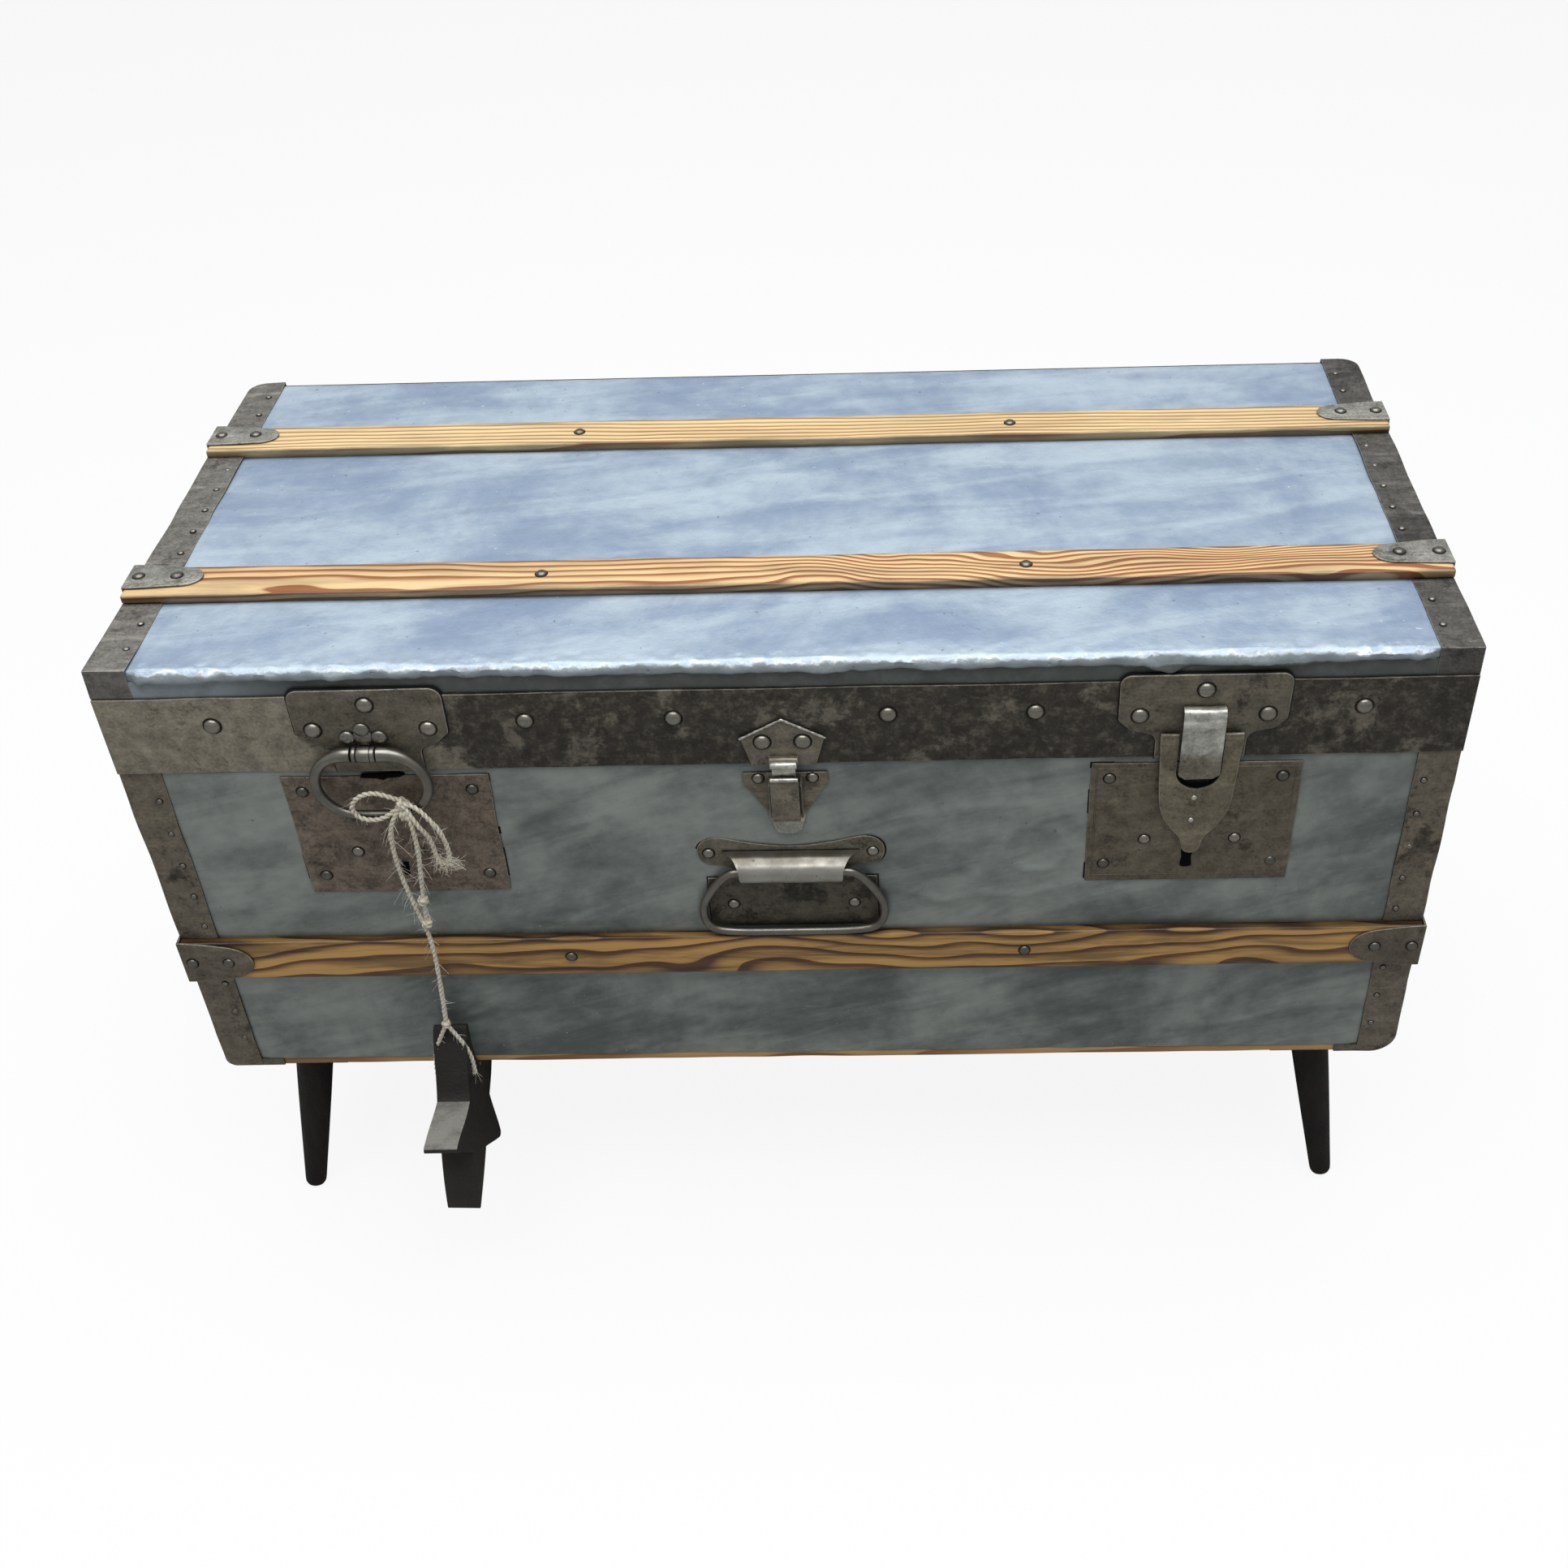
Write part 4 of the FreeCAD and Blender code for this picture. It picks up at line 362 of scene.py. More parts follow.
def zincGroup():
    # clouded zinc: broad blooms, brush-like streaks across them, wisps, specks and small pits
    net, given, output = newGroup("cloudedZinc", [
        ("Place", vector, None), ("Pale", colour, (0.5, 0.6, 0.7, 1)), ("Deep", colour, (0.3, 0.4, 0.55, 1)),
        ("Speck", colour, (0.8, 0.85, 0.88, 1)), ("Streak Turn", vector, (0.0, 0.0, 0.5)),
        ("Cloud Share", number, 0.5)], surfaceOutputs)
    place = given["Place"]
    turned = net.add("ShaderNodeVectorRotate", {"Vector": place, "Rotation": given["Streak Turn"]},
                     rotation_type="EULER_XYZ").outputs["Vector"]
    bloom = net.noise(place, 7.5, 8.0, 0.60, 0.5)
    streak = net.noise(net.place(turned, scale=(7.0, 30.0, 30.0)), 1.0, 3.0, 0.50, 1.0)
    brush = net.noise(net.place(turned, scale=(60.0, 260.0, 260.0)), 1.0, 5.0, 0.66)
    mottle = net.noise(place, 48.0, 7.0, 0.68)
    share = net.plus(net.times(bloom, 0.48), net.times(streak, 0.32))
    share = net.plus(share, net.times(mottle, 0.20))
    share = net.plus(share, net.step(given["Cloud Share"], 0.0, 1.0, -0.15, 0.15))
    share = net.step(share, 0.36, 0.64)
    share = net.plus(share, net.step(brush, 0.3, 0.7, -0.05, 0.05))
    base = net.mix(share, given["Pale"], given["Deep"])
    wispPlace = net.place(turned, location=(4.0, 2.0, 1.0), scale=(9.0, 75.0, 75.0))
    wisp = net.step(net.noise(wispPlace, 1.0, 7.0, 0.7, 0.8), 0.60, 0.72)
    base = net.mix(net.times(wisp, 0.15), base, given["Speck"])
    speckNoise = net.noise(place, 300.0, 1.0, 0.4)
    speck = net.times(net.step(speckNoise, 0.77, 0.80), net.step(bloom, 0.5, 0.58))
    base = net.mix(net.times(speck, 0.75), base, given["Speck"])
    pits = net.step(net.noise(place, 210.0, 1.0, 0.4), 0.24, 0.20)
    base = net.mix(net.times(pits, 0.35), base, (0.06, 0.07, 0.08, 1))
    rough = net.plus(net.step(share, 0.0, 1.0, 0.50, 0.36), net.step(brush, 0.3, 0.7, -0.05, 0.07))
    height = net.plus(net.times(bloom, 1.6), net.times(brush, 0.10))
    height = net.plus(height, net.times(mottle, 0.75))
    height = net.minus(height, net.times(pits, 0.25))
    giveOut(net, output, Colour=base, Roughness=rough, Height=height)
    return net.tree


def pineGroup():
    # growth rings round a pith line under the slat: pale early wood that darkens to a thin late-wood line
    net, given, output = newGroup("pineGrain", [
        ("Place", vector, None), ("Early", colour, (0.75, 0.48, 0.2, 1)),
        ("Late", colour, (0.3, 0.11, 0.03, 1)), ("Pith", vector, (0.0, 0.0, 0.0)),
        ("Tilt", vector, (0.0, 0.0, 0.0)), ("Ring Pitch", number, 0.004), ("Waver", number, 0.006),
        ("Late Share", number, 0.35)], surfaceOutputs)
    place = given["Place"]
    moved = net.add("ShaderNodeVectorMath", {0: place, 1: given["Pith"]}, operation="SUBTRACT").outputs[0]
    turned = net.add("ShaderNodeVectorRotate", {"Vector": moved, "Rotation": given["Tilt"]},
                     rotation_type="EULER_XYZ").outputs["Vector"]
    slow = net.add("ShaderNodeTexNoise", {"Vector": net.place(place, scale=(5.5, 14.0, 14.0)), "Scale": 1.0,
                                          "Detail": 2.0, "Roughness": 0.45}).outputs["Color"]
    centred = net.add("ShaderNodeVectorMath", {0: slow, 1: (0.5, 0.5, 0.5)}, operation="SUBTRACT").outputs[0]
    shifted = net.add("ShaderNodeVectorMath", {0: centred, 3: given["Waver"]}, operation="SCALE").outputs[0]
    warped = net.add("ShaderNodeVectorMath", {0: turned, 1: shifted}, operation="ADD").outputs[0]
    parts = net.apart(warped)
    away = net.calc("SQRT", net.plus(net.times(parts[1], parts[1]), net.times(parts[2], parts[2])))
    ring = net.calc("FRACT", net.calc("DIVIDE", away, given["Ring Pitch"]))
    late = net.calc("POWER", net.times(net.step(ring, 0.2, 0.9), net.step(ring, 0.92, 1.0, 1.0, 0.0)), 1.6)
    fibre = net.noise(net.place(place, scale=(40.0, 900.0, 900.0)), 1.0, 3.0, 0.6)
    broad = net.noise(net.place(place, scale=(4.0, 30.0, 30.0)), 1.0, 3.0)
    share = net.calc("MINIMUM", net.times(late, given["Late Share"]), 1.0)
    share = net.plus(share, net.step(fibre, 0.3, 0.7, -0.07, 0.1))
    share = net.plus(share, net.step(broad, 0.35, 0.7, -0.08, 0.16))
    base = net.mix(share, given["Early"], given["Late"])
    rough = net.step(fibre, 0.3, 0.7, 0.38, 0.5)
    height = net.plus(net.times(late, 0.6), net.times(fibre, 0.3))
    giveOut(net, output, Colour=base, Roughness=rough, Height=height)
    return net.tree


effects = {"agedSteel": agedSteelGroup(), "cloudedZinc": zincGroup(), "pineGrain": pineGroup(),
           "wornEdge": wornEdgeGroup(), "cornerShade": cornerShadeGroup()}
print("shared effects built")


def newMaterial(name, **fixed):
    # a material with one Principled shader, whose plain values are set on its own sockets
    material = bpy.data.materials.new(name)
    material.use_nodes = True
    net = Net(material.node_tree)
    shader = material.node_tree.nodes["Principled BSDF"]
    for label, value in fixed.items():
        shader.inputs[label.replace("_", " ")].default_value = value
    return material, net, shader


def useGroup(net, name, **values):
    node = net.add("ShaderNodeGroup", node_tree=effects[name])
    for label, value in values.items():
        socket = node.inputs[label.replace("_", " ")]
        if isinstance(value, bpy.types.NodeSocket):
            net.tree.links.new(value, socket)
        else:
            socket.default_value = value
    return node.outputs


def objectPlace(net):
    return net.add("ShaderNodeTexCoord").outputs["Object"]


def wire(net, shader, shade, roughness, height=None, bump=0.0004):
    net.tree.links.new(shade, shader.inputs["Base Color"])
    net.tree.links.new(roughness, shader.inputs["Roughness"])
    if height is not None:
        bumped = net.add("ShaderNodeBump", {"Height": height, "Strength": 1.0, "Distance": bump})
        net.tree.links.new(bumped.outputs["Normal"], shader.inputs["Normal"])


def cornerShaded(net, shade, reach=0.004, floor=0.25):
    # the colour, darkened in corners by painted shade
    clear = useGroup(net, "cornerShade", Reach=reach, Floor=floor)["Clear"]
    return net.darker(shade, clear)


def steelMaterial(name, clean, dark, rust=(0.09, 0.035, 0.018, 1), patch=30.0, darkShare=0.4, rustShare=0.2,
                  edge=(0.46, 0.43, 0.37, 1), gloss=0.4, smear=0.35, metallic=0.55, bump=0.0005, along=None,
                  wearShare=0.8, dim=None, mottle=1.0):
    # along = (axis, from, to, dark share there, dark share here, clean colour here, waver) lets a piece
    # darken along itself; dim is a function of the net and the place that gives a share of the colour
    material, net, shader = newMaterial(name, Metallic=metallic)
    place = objectPlace(net)
    if along:
        axis, start, stop, darkThere, darkHere, cleanHere, waver = along
        spot = net.apart(place)["XYZ".index(axis)]
        wander = net.plus(spot, net.drift(place, 0.35 / waver, 4.0, waver))
        darkShare = net.step(wander, start, stop, darkThere, darkHere)
        clean = net.mix(net.step(wander, start, stop), clean, cleanHere)
    steel = useGroup(net, "agedSteel", Place=place, Clean=clean, Dark=dark, Rust=rust, Patch_Scale=patch,
                     Dark_Share=darkShare, Rust_Share=rustShare, Gloss=gloss, Smear=smear, Mottle=mottle)
    wear = net.times(useGroup(net, "wornEdge", Place=place)["Wear"], wearShare)
    shade = net.mix(wear, steel["Colour"], edge)
    if dim:
        shade = net.darker(shade, dim(net, place))
    wire(net, shader, cornerShaded(net, shade), steel["Roughness"], steel["Height"], bump)
    return material


def polishedMaterial(name, clean, dull, low, high, roughness):
    # bright worn steel with only slow changes, duller above a height that wanders
    material, net, shader = newMaterial(name, Metallic=0.95)
    place = objectPlace(net)
    z = net.apart(place)[2]
    z = net.plus(z, net.drift(place, 90.0, 3.0, 0.0012))
    shade = net.mix(net.step(z, low, high), clean, dull)
    slow = net.step(net.noise(place, 70.0, 3.0), 0.35, 0.7, 0.0, 0.45)
    shade = net.mix(slow, shade, tuple(value * 0.5 for value in clean[:3]) + (1,))
    pits = net.step(net.noise(place, 420.0, 2.0), 0.66, 0.74)
    shade = net.mix(net.times(pits, 0.7), shade, (0.05, 0.043, 0.033, 1))
    wire(net, shader, cornerShaded(net, shade, 0.003, 0.2), net.step(slow, 0.0, 0.45, roughness, roughness + 0.12))
    return material


def cornerScrews(net, place):
    # the lock plates' corner screws are dark, and every other head is bright
    parts = net.apart(place)
    x = net.calc("ABSOLUTE", parts[0])
    outside = net.minus(net.calc("GREATER_THAN", x, 0.2), net.calc("GREATER_THAN", x, 0.235))
    outside = net.plus(outside, net.minus(net.calc("GREATER_THAN", x, 0.316),
                                          net.calc("GREATER_THAN", x, 0.345)))
    level = net.minus(net.calc("GREATER_THAN", parts[2], 0.335), net.calc("GREATER_THAN", parts[2], 0.442))
    return net.minus(1.0, net.times(net.times(outside, level), 0.5))


def zincMaterial(name, pale, deep, turn, cloud):
    material, net, shader = newMaterial(name, Metallic=0.25)
    zinc = useGroup(net, "cloudedZinc", Place=objectPlace(net), Pale=pale, Deep=deep, Streak_Turn=turn,
                    Cloud_Share=cloud, Speck=tuple(min(1.0, value * 1.45) for value in pale[:3]) + (1,))
    wire(net, shader, cornerShaded(net, zinc["Colour"], 0.006, 0.2), zinc["Roughness"], zinc["Height"], 0.0006)
    return material


def lidZincMaterial(name, pale, deep, lip, strip, turn, cloud):
    # the lid's zinc: paler near its beaten front edge and palest on the edge itself, a painted highlight;
    # darker on the lip's underside and on the strip under it, painted shade; the strip paler again at the
    # left end
    material, net, shader = newMaterial(name, Metallic=0.25)
    place = objectPlace(net)
    zinc = useGroup(net, "cloudedZinc", Place=place, Pale=pale, Deep=deep, Streak_Turn=turn,
                    Cloud_Share=cloud, Speck=(0.74, 0.8, 0.84, 1))
    parts = net.apart(place)
    wander = net.drift(place, 120.0, 4.0, 0.003)
    # paler near the front edge and palest on the edge itself: a painted highlight
    near = net.step(net.plus(parts[1], wander), -0.1900, -0.1985)
    edgeHighlight = net.step(net.plus(parts[1], net.times(wander, 0.7)), -0.1990, -0.2012)
    edgeHighlight = net.times(edgeHighlight, net.step(net.noise(place, 210.0, 4.0, 0.7), 0.32, 0.54, 0.3, 1.0))
    edgeHighlight = net.times(edgeHighlight, net.step(net.noise(place, 34.0, 3.0), 0.38, 0.56, 0.3, 1.0))
    # the lip's underside and the strip below it darkened: painted shade
    foot = net.step(net.plus(parts[2], net.times(wander, 0.4)), 0.5282, 0.5264)
    below = net.step(net.plus(parts[2], net.times(wander, 0.2)), 0.5222, 0.5208)
    stripShade = net.mix(net.step(net.plus(parts[0], wander), -0.30, -0.39), strip, (0.36, 0.42, 0.45, 1))
    stripShade = net.mix(net.step(net.noise(place, 60.0, 5.0, 0.66), 0.42, 0.7, 0.0, 0.5), stripShade,
                         (0.20, 0.225, 0.22, 1))
    shade = net.mix(net.times(near, 0.4), zinc["Colour"], (0.60, 0.69, 0.75, 1))
    shade = net.mix(net.times(edgeHighlight, 0.9), shade, lip)
    shade = net.mix(net.times(foot, 0.85), shade, (0.21, 0.245, 0.26, 1))
    shade = net.mix(below, shade, stripShade)
    wire(net, shader, cornerShaded(net, shade, 0.006, 0.2), zinc["Roughness"], zinc["Height"], 0.0014)
    return material


def pineMaterial(name, early, late, pith, tilt, pitch=0.004, waver=0.006, lateShare=0.4, border=None,
                 change=None, stain=0.0):
    # stain is how much darker the slow patches along the grain are; border = (axis, middle, half width)
    # darkens a slat's long edges; change = (from, to, waver, late share there) strengthens the figure along X
    material, net, shader = newMaterial(name, Coat_Weight=0.25, Coat_Roughness=0.25)
    place = objectPlace(net)
    parts = net.apart(place)
    if change:
        start, stop, waverThere, lateThere = change
        x = net.plus(parts[0], net.drift(place, 9.0, 3.0, 0.06))
        waver = net.step(x, start, stop, waver, waverThere)
        lateShare = net.step(x, start, stop, lateShare, lateThere)
    wood = useGroup(net, "pineGrain", Place=place, Early=early, Late=late, Pith=pith, Tilt=tilt,
                    Ring_Pitch=pitch, Waver=waver, Late_Share=lateShare)
    patches = net.noise(net.place(place, scale=(7.0, 75.0, 75.0)), 1.0, 5.0, 0.62, 0.6)
    shade = net.darker(wood["Colour"], net.step(patches, 0.42, 0.66, 1.0, 1.0 - stain))
    if border:
        axis, middle, half = border
        away = net.calc("ABSOLUTE", net.minus(parts["XYZ".index(axis)], middle))
        away = net.plus(away, net.step(net.noise(net.place(place, scale=(18.0, 90.0, 90.0)), 1.0, 4.0, 0.6),
                                       0.3, 0.7, -0.0012, 0.0012))
        shade = net.darker(shade, net.step(away, half - 0.0042, half, 1.0, 0.42))
    wire(net, shader, cornerShaded(net, shade, 0.005, 0.35), wood["Roughness"], wood["Height"], 0.0002)
    return material


def blackWoodMaterial(name, base, worn, upLitShare):
    # black stain with fine grain; pale where the wood faces up, with pale flecks there: painted light from
    # above
    material, net, shader = newMaterial(name, Specular_IOR_Level=0.25)
    coordinates = net.add("ShaderNodeTexCoord").outputs
    grain = net.noise(net.place(coordinates["Object"], scale=(160.0, 160.0, 30.0)), 1.0, 4.0, 0.6)
    broad = net.noise(coordinates["Object"], 40.0, 5.0, 0.65)
    facing = net.apart(coordinates["Normal"])[2]
    fleck = net.noise(coordinates["Object"], 520.0, 2.0, 0.5)
    # share is where the wood faces up, painted paler there as light from above
    share = net.times(net.step(facing, 0.55, 0.85, 0.05, 1.0), net.step(broad, 0.3, 0.6, 0.35, 1.0))
    level = net.apart(coordinates["Object"])[2]
    share = net.times(net.times(share, upLitShare), net.step(level, 0.168, 0.160))
    base = net.mix(net.step(grain, 0.35, 0.7, 0.0, 0.5), base, (0.03, 0.022, 0.014, 1))
    shade = net.mix(share, base, worn)
    shade = net.mix(net.times(net.step(fleck, 0.68, 0.74), share), shade, (0.62, 0.6, 0.56, 1))
    height = net.plus(net.times(grain, 0.5), net.times(fleck, 0.5))
    wire(net, shader, shade, net.step(broad, 0.3, 0.7, 0.5, 0.66), height, 0.0012)
    return material


def twineMaterial():
    # two plies of jute: darker in the groove between them, a painted shade, with fibres that run round with
    # the twist
    material, net, shader = newMaterial("juteTwine", Sheen_Weight=0.3)
    parts = net.apart(net.add("ShaderNodeUVMap", uv_map="UVMap").outputs[0])
    twisted = net.minus(parts[0], net.calc("DIVIDE", parts[1], twine["plyTurn"]))
    groove = net.calc("COSINE", net.times(twisted, 4 * math.pi))
    along = net.add("ShaderNodeCombineXYZ", {0: net.times(twisted, 9.0),
                                             1: net.times(parts[1], 260.0), 2: 0.0}).outputs[0]
    fibre = net.noise(along, 1.0, 4.0, 0.7)
    blotch = net.noise(objectPlace(net), 120.0, 3.0)
    share = net.plus(net.step(groove, -1.0, 0.2, 0.12, 0.8), net.step(fibre, 0.35, 0.65, -0.2, 0.34))
    pale = net.mix(net.step(blotch, 0.35, 0.65), (0.93, 0.85, 0.67, 1), (1.0, 0.98, 0.88, 1))
    shade = net.mix(share, (0.50, 0.40, 0.25, 1), pale)
    wire(net, shader, shade, net.step(fibre, 0.3, 0.7, 0.75, 0.92), fibre, 0.0003)
    return material


# Twine: each cord keeps its own smooth line, and its two plies turn round that line
twine = {"diameter": 0.0036, "plyTurn": 0.0085, "plyDepth": 0.16, "sides": 12, "sharpAngle": 75,
         "hairs": 420, "hairReach": 0.0055, "hairRadius": 0.00011, "hairAngle": 80, "hairDroop": 0.35,
         "frayFibres": 70, "frayReach": 0.015, "frayBack": -0.2105, "hairPlace": [0.2, 0.1]}
routes = {
    "loopLeft": [(-0.2611, -0.2127, 0.4287), (-0.2655, -0.2152, 0.4335), (-0.276, -0.2158, 0.4382),
                 (-0.287, -0.216, 0.4348), (-0.2934, -0.216, 0.4258), (-0.29, -0.216, 0.4162),
                 (-0.279, -0.216, 0.4136), (-0.2685, -0.2158, 0.4176), (-0.2627, -0.2126, 0.422)],
    "loopRight": [(-0.2547, -0.2131, 0.4248), (-0.2485, -0.2168, 0.425), (-0.2408, -0.2178, 0.414),
                  (-0.236, -0.2164, 0.401), (-0.2342, -0.2148, 0.387), (-0.2348, -0.2142, 0.377),
                  (-0.237, -0.2141, 0.3718), (-0.2418, -0.214, 0.3718), (-0.2438, -0.2141, 0.3775),
                  (-0.2442, -0.2144, 0.3865), (-0.2452, -0.2154, 0.398), (-0.2504, -0.2196, 0.412),
                  (-0.2568, -0.2142, 0.422)],
    "line": [(-0.261, -0.2136, 0.4226), (-0.2696, -0.2174, 0.411), (-0.272, -0.216, 0.388),
             (-0.2714, -0.2144, 0.358), (-0.2664, -0.2138, 0.326), (-0.2614, -0.2143, 0.3),
             (-0.2624, -0.2162, 0.254), (-0.265, -0.218, 0.215)],
    "strand": [(-0.2572, -0.2136, 0.4226), (-0.2542, -0.218, 0.4114), (-0.2546, -0.216, 0.388),
               (-0.2578, -0.2146, 0.361), (-0.2604, -0.214, 0.338), (-0.2618, -0.214, 0.315)],
    "sling": [(-0.2644, -0.218, 0.214), (-0.2554, -0.2188, 0.196), (-0.2512, -0.2202, 0.182),
              (-0.2507, -0.2222, 0.1715), (-0.2504, -0.2228, 0.1648), (-0.2796, -0.2228, 0.1648),
              (-0.2793, -0.2222, 0.1715), (-0.2788, -0.2202, 0.182), (-0.2746, -0.2188, 0.196),
              (-0.2656, -0.218, 0.214)]}


def smoothLine(route):
    # the route's points are the control points of one smooth spline, whose own points come back
    curve = bpy.data.curves.new("route", "CURVE")
    curve.dimensions = "3D"
    curve.resolution_u = 14
    spline = curve.splines.new("NURBS")
    spline.points.add(len(route) - 1)
    for point, place in zip(spline.points, route):
        point.co = (*place, 1)
    spline.order_u = 3
    spline.use_endpoint_u = True
    carrier = bpy.data.objects.new("route", curve)
    bpy.context.collection.objects.link(carrier)
    bpy.context.view_layer.update()
    mesh = bpy.data.meshes.new_from_object(carrier.evaluated_get(bpy.context.evaluated_depsgraph_get()))
    line = meshPoints(mesh)
    bpy.data.objects.remove(carrier)
    bpy.data.meshes.remove(mesh)
    return line


def twoPly(turn, length):
    # a two-lobed section that turns once in every plyTurn of length
    swing = 2 * (turn - 2 * math.pi * length / twine["plyTurn"])
    return twine["diameter"] / 2 * (1 - twine["plyDepth"] + twine["plyDepth"] * np.cos(swing))


def addTwine(name, shape, *replaced):
    return addShape(name, shape, twine["sharpAngle"], "tag", "twine", "twine", *replaced)


finishes = {"twine": twineMaterial()}
lines = {name: smoothLine(route) for name, route in routes.items()}
lengths = {name: float(np.linalg.norm(np.diff(line, axis=0), axis=1).sum()) for name, line in lines.items()}
print("cord lengths:", {name: round(length, 4) for name, length in lengths.items()})
cords = {route: addTwine(name, carriedTube(lines[route], twoPly, twine["sides"]), *replaced)
         for route, name, *replaced in (("loopLeft", "twineLoopLeft", "twine_bow"),
                                        ("loopRight", "twineLoopRight"), ("line", "twineLine", "twine_line"),
                                        ("strand", "twineStrand"), ("sling", "twineSling", "twine_sling"))}


def knotLine(middle, axis, radius, height, turns, seed):
    # a coil that bulges at its waist: its radius is largest halfway up and falls to 0.45 of that at its ends
    rng = np.random.default_rng(seed)
    share = np.linspace(0, 1, int(turns * 16))
    angle = 2 * math.pi * turns * share + rng.uniform(0, 6)
    reach = radius * (0.45 + 0.55 * np.sin(math.pi * share) ** 0.6)
    axis = np.asarray(axis, float) / np.linalg.norm(axis)
    side = np.cross(axis, [0.3, 1.0, 0.2])
    side /= np.linalg.norm(side)
    other = np.cross(axis, side)
    return (np.asarray(middle) + axis * (share - 0.5)[:, None] * height
            + reach[:, None] * (np.cos(angle)[:, None] * side + np.sin(angle)[:, None] * other))


# name, middle, axis, radius, height, turns, seed, thickness as a share of the twine's
knots = [("knotBow", (-0.259, -0.2118, 0.4247), (0.75, 0.1, 0.65), 0.0036, 0.0055, 2.6, 3, 1.0),
         ("knotUpper", (-0.2604, -0.2145, 0.338), (0.1, 0, 1), 0.0026, 0.006, 2.4, 5, 0.9),
         ("knotLower", (-0.2616, -0.2145, 0.316), (0.2, 0, 1), 0.0026, 0.0062, 2.4, 7, 0.9),
         ("knotSplit", (-0.265, -0.218, 0.2155), (0.1, 0, 1), 0.0022, 0.005, 2.2, 9, 0.85)]


def knotShape(middle, axis, radius, height, turns, seed, thick):
    # the coil of twine round a plain core that fills it
    thin = twine["diameter"] / 2 * thick
    coil = carriedTube(knotLine(middle, axis, radius, height, turns, seed),
                       lambda turn, length: twoPly(turn, length) * thick)
    ends = np.linspace(-height * 0.42, height * 0.42, 8)
    core = carriedTube([np.asarray(middle) + np.asarray(axis) * reach for reach in ends],
                       lambda turn, length: radius * 0.8 + thin * 0.2)
    return *joinParts([coil, core]), np.concatenate([coil[2], core[2]])


for name, *values in knots:
    addTwine(name, knotShape(*values))


wrapTurns = {"turns": 2.1, "start": 0.6, "steps": 56, "wireRadius": 0.0032, "sunk": 0.47, "wide": 0.0052,
             "middle": (-0.259, -0.2106, 0.4166)}


def ringWrap(wrap):
    # turns of twine round the lower wire of the ring, beside the bow's knot
    share = np.linspace(0, 1, wrap["steps"])
    angle = 2 * math.pi * wrap["turns"] * share + wrap["start"]
    reach = wrap["wireRadius"] + twine["diameter"] * wrap["sunk"]
    coil = np.stack([(share - 0.5) * wrap["wide"], reach * np.cos(angle), reach * np.sin(angle)], axis=-1)
    addTwine("ringWrap", carriedTube(np.array(wrap["middle"]) + coil, twoPly))


ringWrap(wrapTurns)


def addHairs(name, parts):
    points, faces = joinParts(parts)
    around = np.zeros((len(points), 2)) + twine["hairPlace"]
    addShape(name, (points, faces, around), twine["hairAngle"], "tag", "twine", "twine")


def twineHairs():
    # frayed fibres: three-sided hairs that start in the twine, leave it sideways and droop as they go
    rng = np.random.default_rng(21)
    names = ["loopLeft", "loopRight", "line", "strand", "sling"]
    shares = np.array([lengths[name] for name in names]) * np.array([0.8, 1.5, 1.0, 1.5, 0.6])
    parts = []
    for _ in range(twine["hairs"]):
        line = lines[names[rng.choice(5, p=shares / shares.sum())]]
        spot = rng.integers(1, len(line) - 2)
        start, along = line[spot], line[spot + 1] - line[spot]
        along = along / np.linalg.norm(along)
        outward = rng.normal(size=3) * [1, 0.8, 0.8] + [0, -0.5, 0]
        outward -= along * (outward @ along)
        outward /= np.linalg.norm(outward)
        reach = twine["hairReach"] * rng.uniform(0.35, 1.3)
        bend = rng.normal(size=3) * 0.5
        share = np.linspace(0, 1, 7)[:, None]
        hair = (start + outward * (0.0006 + reach * share) + along * reach * share * rng.uniform(-0.2, 1.1)
                + bend * reach * share ** 2 + np.array([0, 0, -twine["hairDroop"]]) * reach * share ** 2)
        hair[:, 1] = np.minimum(hair[:, 1], start[1] + 0.0012)
        thin = twine["hairRadius"] * rng.uniform(0.7, 1.5)
        taper = lambda turn, length: thin * (1 - 0.6 * length / (length.max() + 1e-9))
        parts.append(carriedTube(hair, taper, 3))
    addHairs("twineHairs", parts)


def frayedEnd():
    # a brush of fibres let loose round the foot of the right loop, each curled as it falls
    rng = np.random.default_rng(77)
    line = lines["loopRight"]
    low = np.argsort(line[:, 2])[:len(line) // 3]
    parts = []
    for _ in range(twine["frayFibres"]):
        start = line[rng.choice(low)] + rng.normal(size=3) * [0.0008, 0.0004, 0.0008]
        heading = rng.uniform(-2.6, 0.5)
        bend = rng.uniform(-2.4, 2.4)
        share = np.linspace(0, 1, 12)
        angle = heading + bend * share
        step = twine["frayReach"] * rng.uniform(0.3, 1.0) / 12
        across, down = np.cumsum(np.cos(angle)) * step, np.cumsum(np.sin(angle)) * step
        ahead = -0.002 * np.sin(math.pi * share) * rng.uniform(0, 1)
        fibre = start + np.stack([across, ahead, down], axis=-1)
        fibre[:, 1] = np.minimum(fibre[:, 1], twine["frayBack"])
        thin = twine["hairRadius"] * rng.uniform(0.8, 1.5)
        parts.append(carriedTube(fibre, lambda turn, length: thin, 3))
    addHairs("frayedEnd", parts)


twineHairs()
frayedEnd()
print("twine laid")

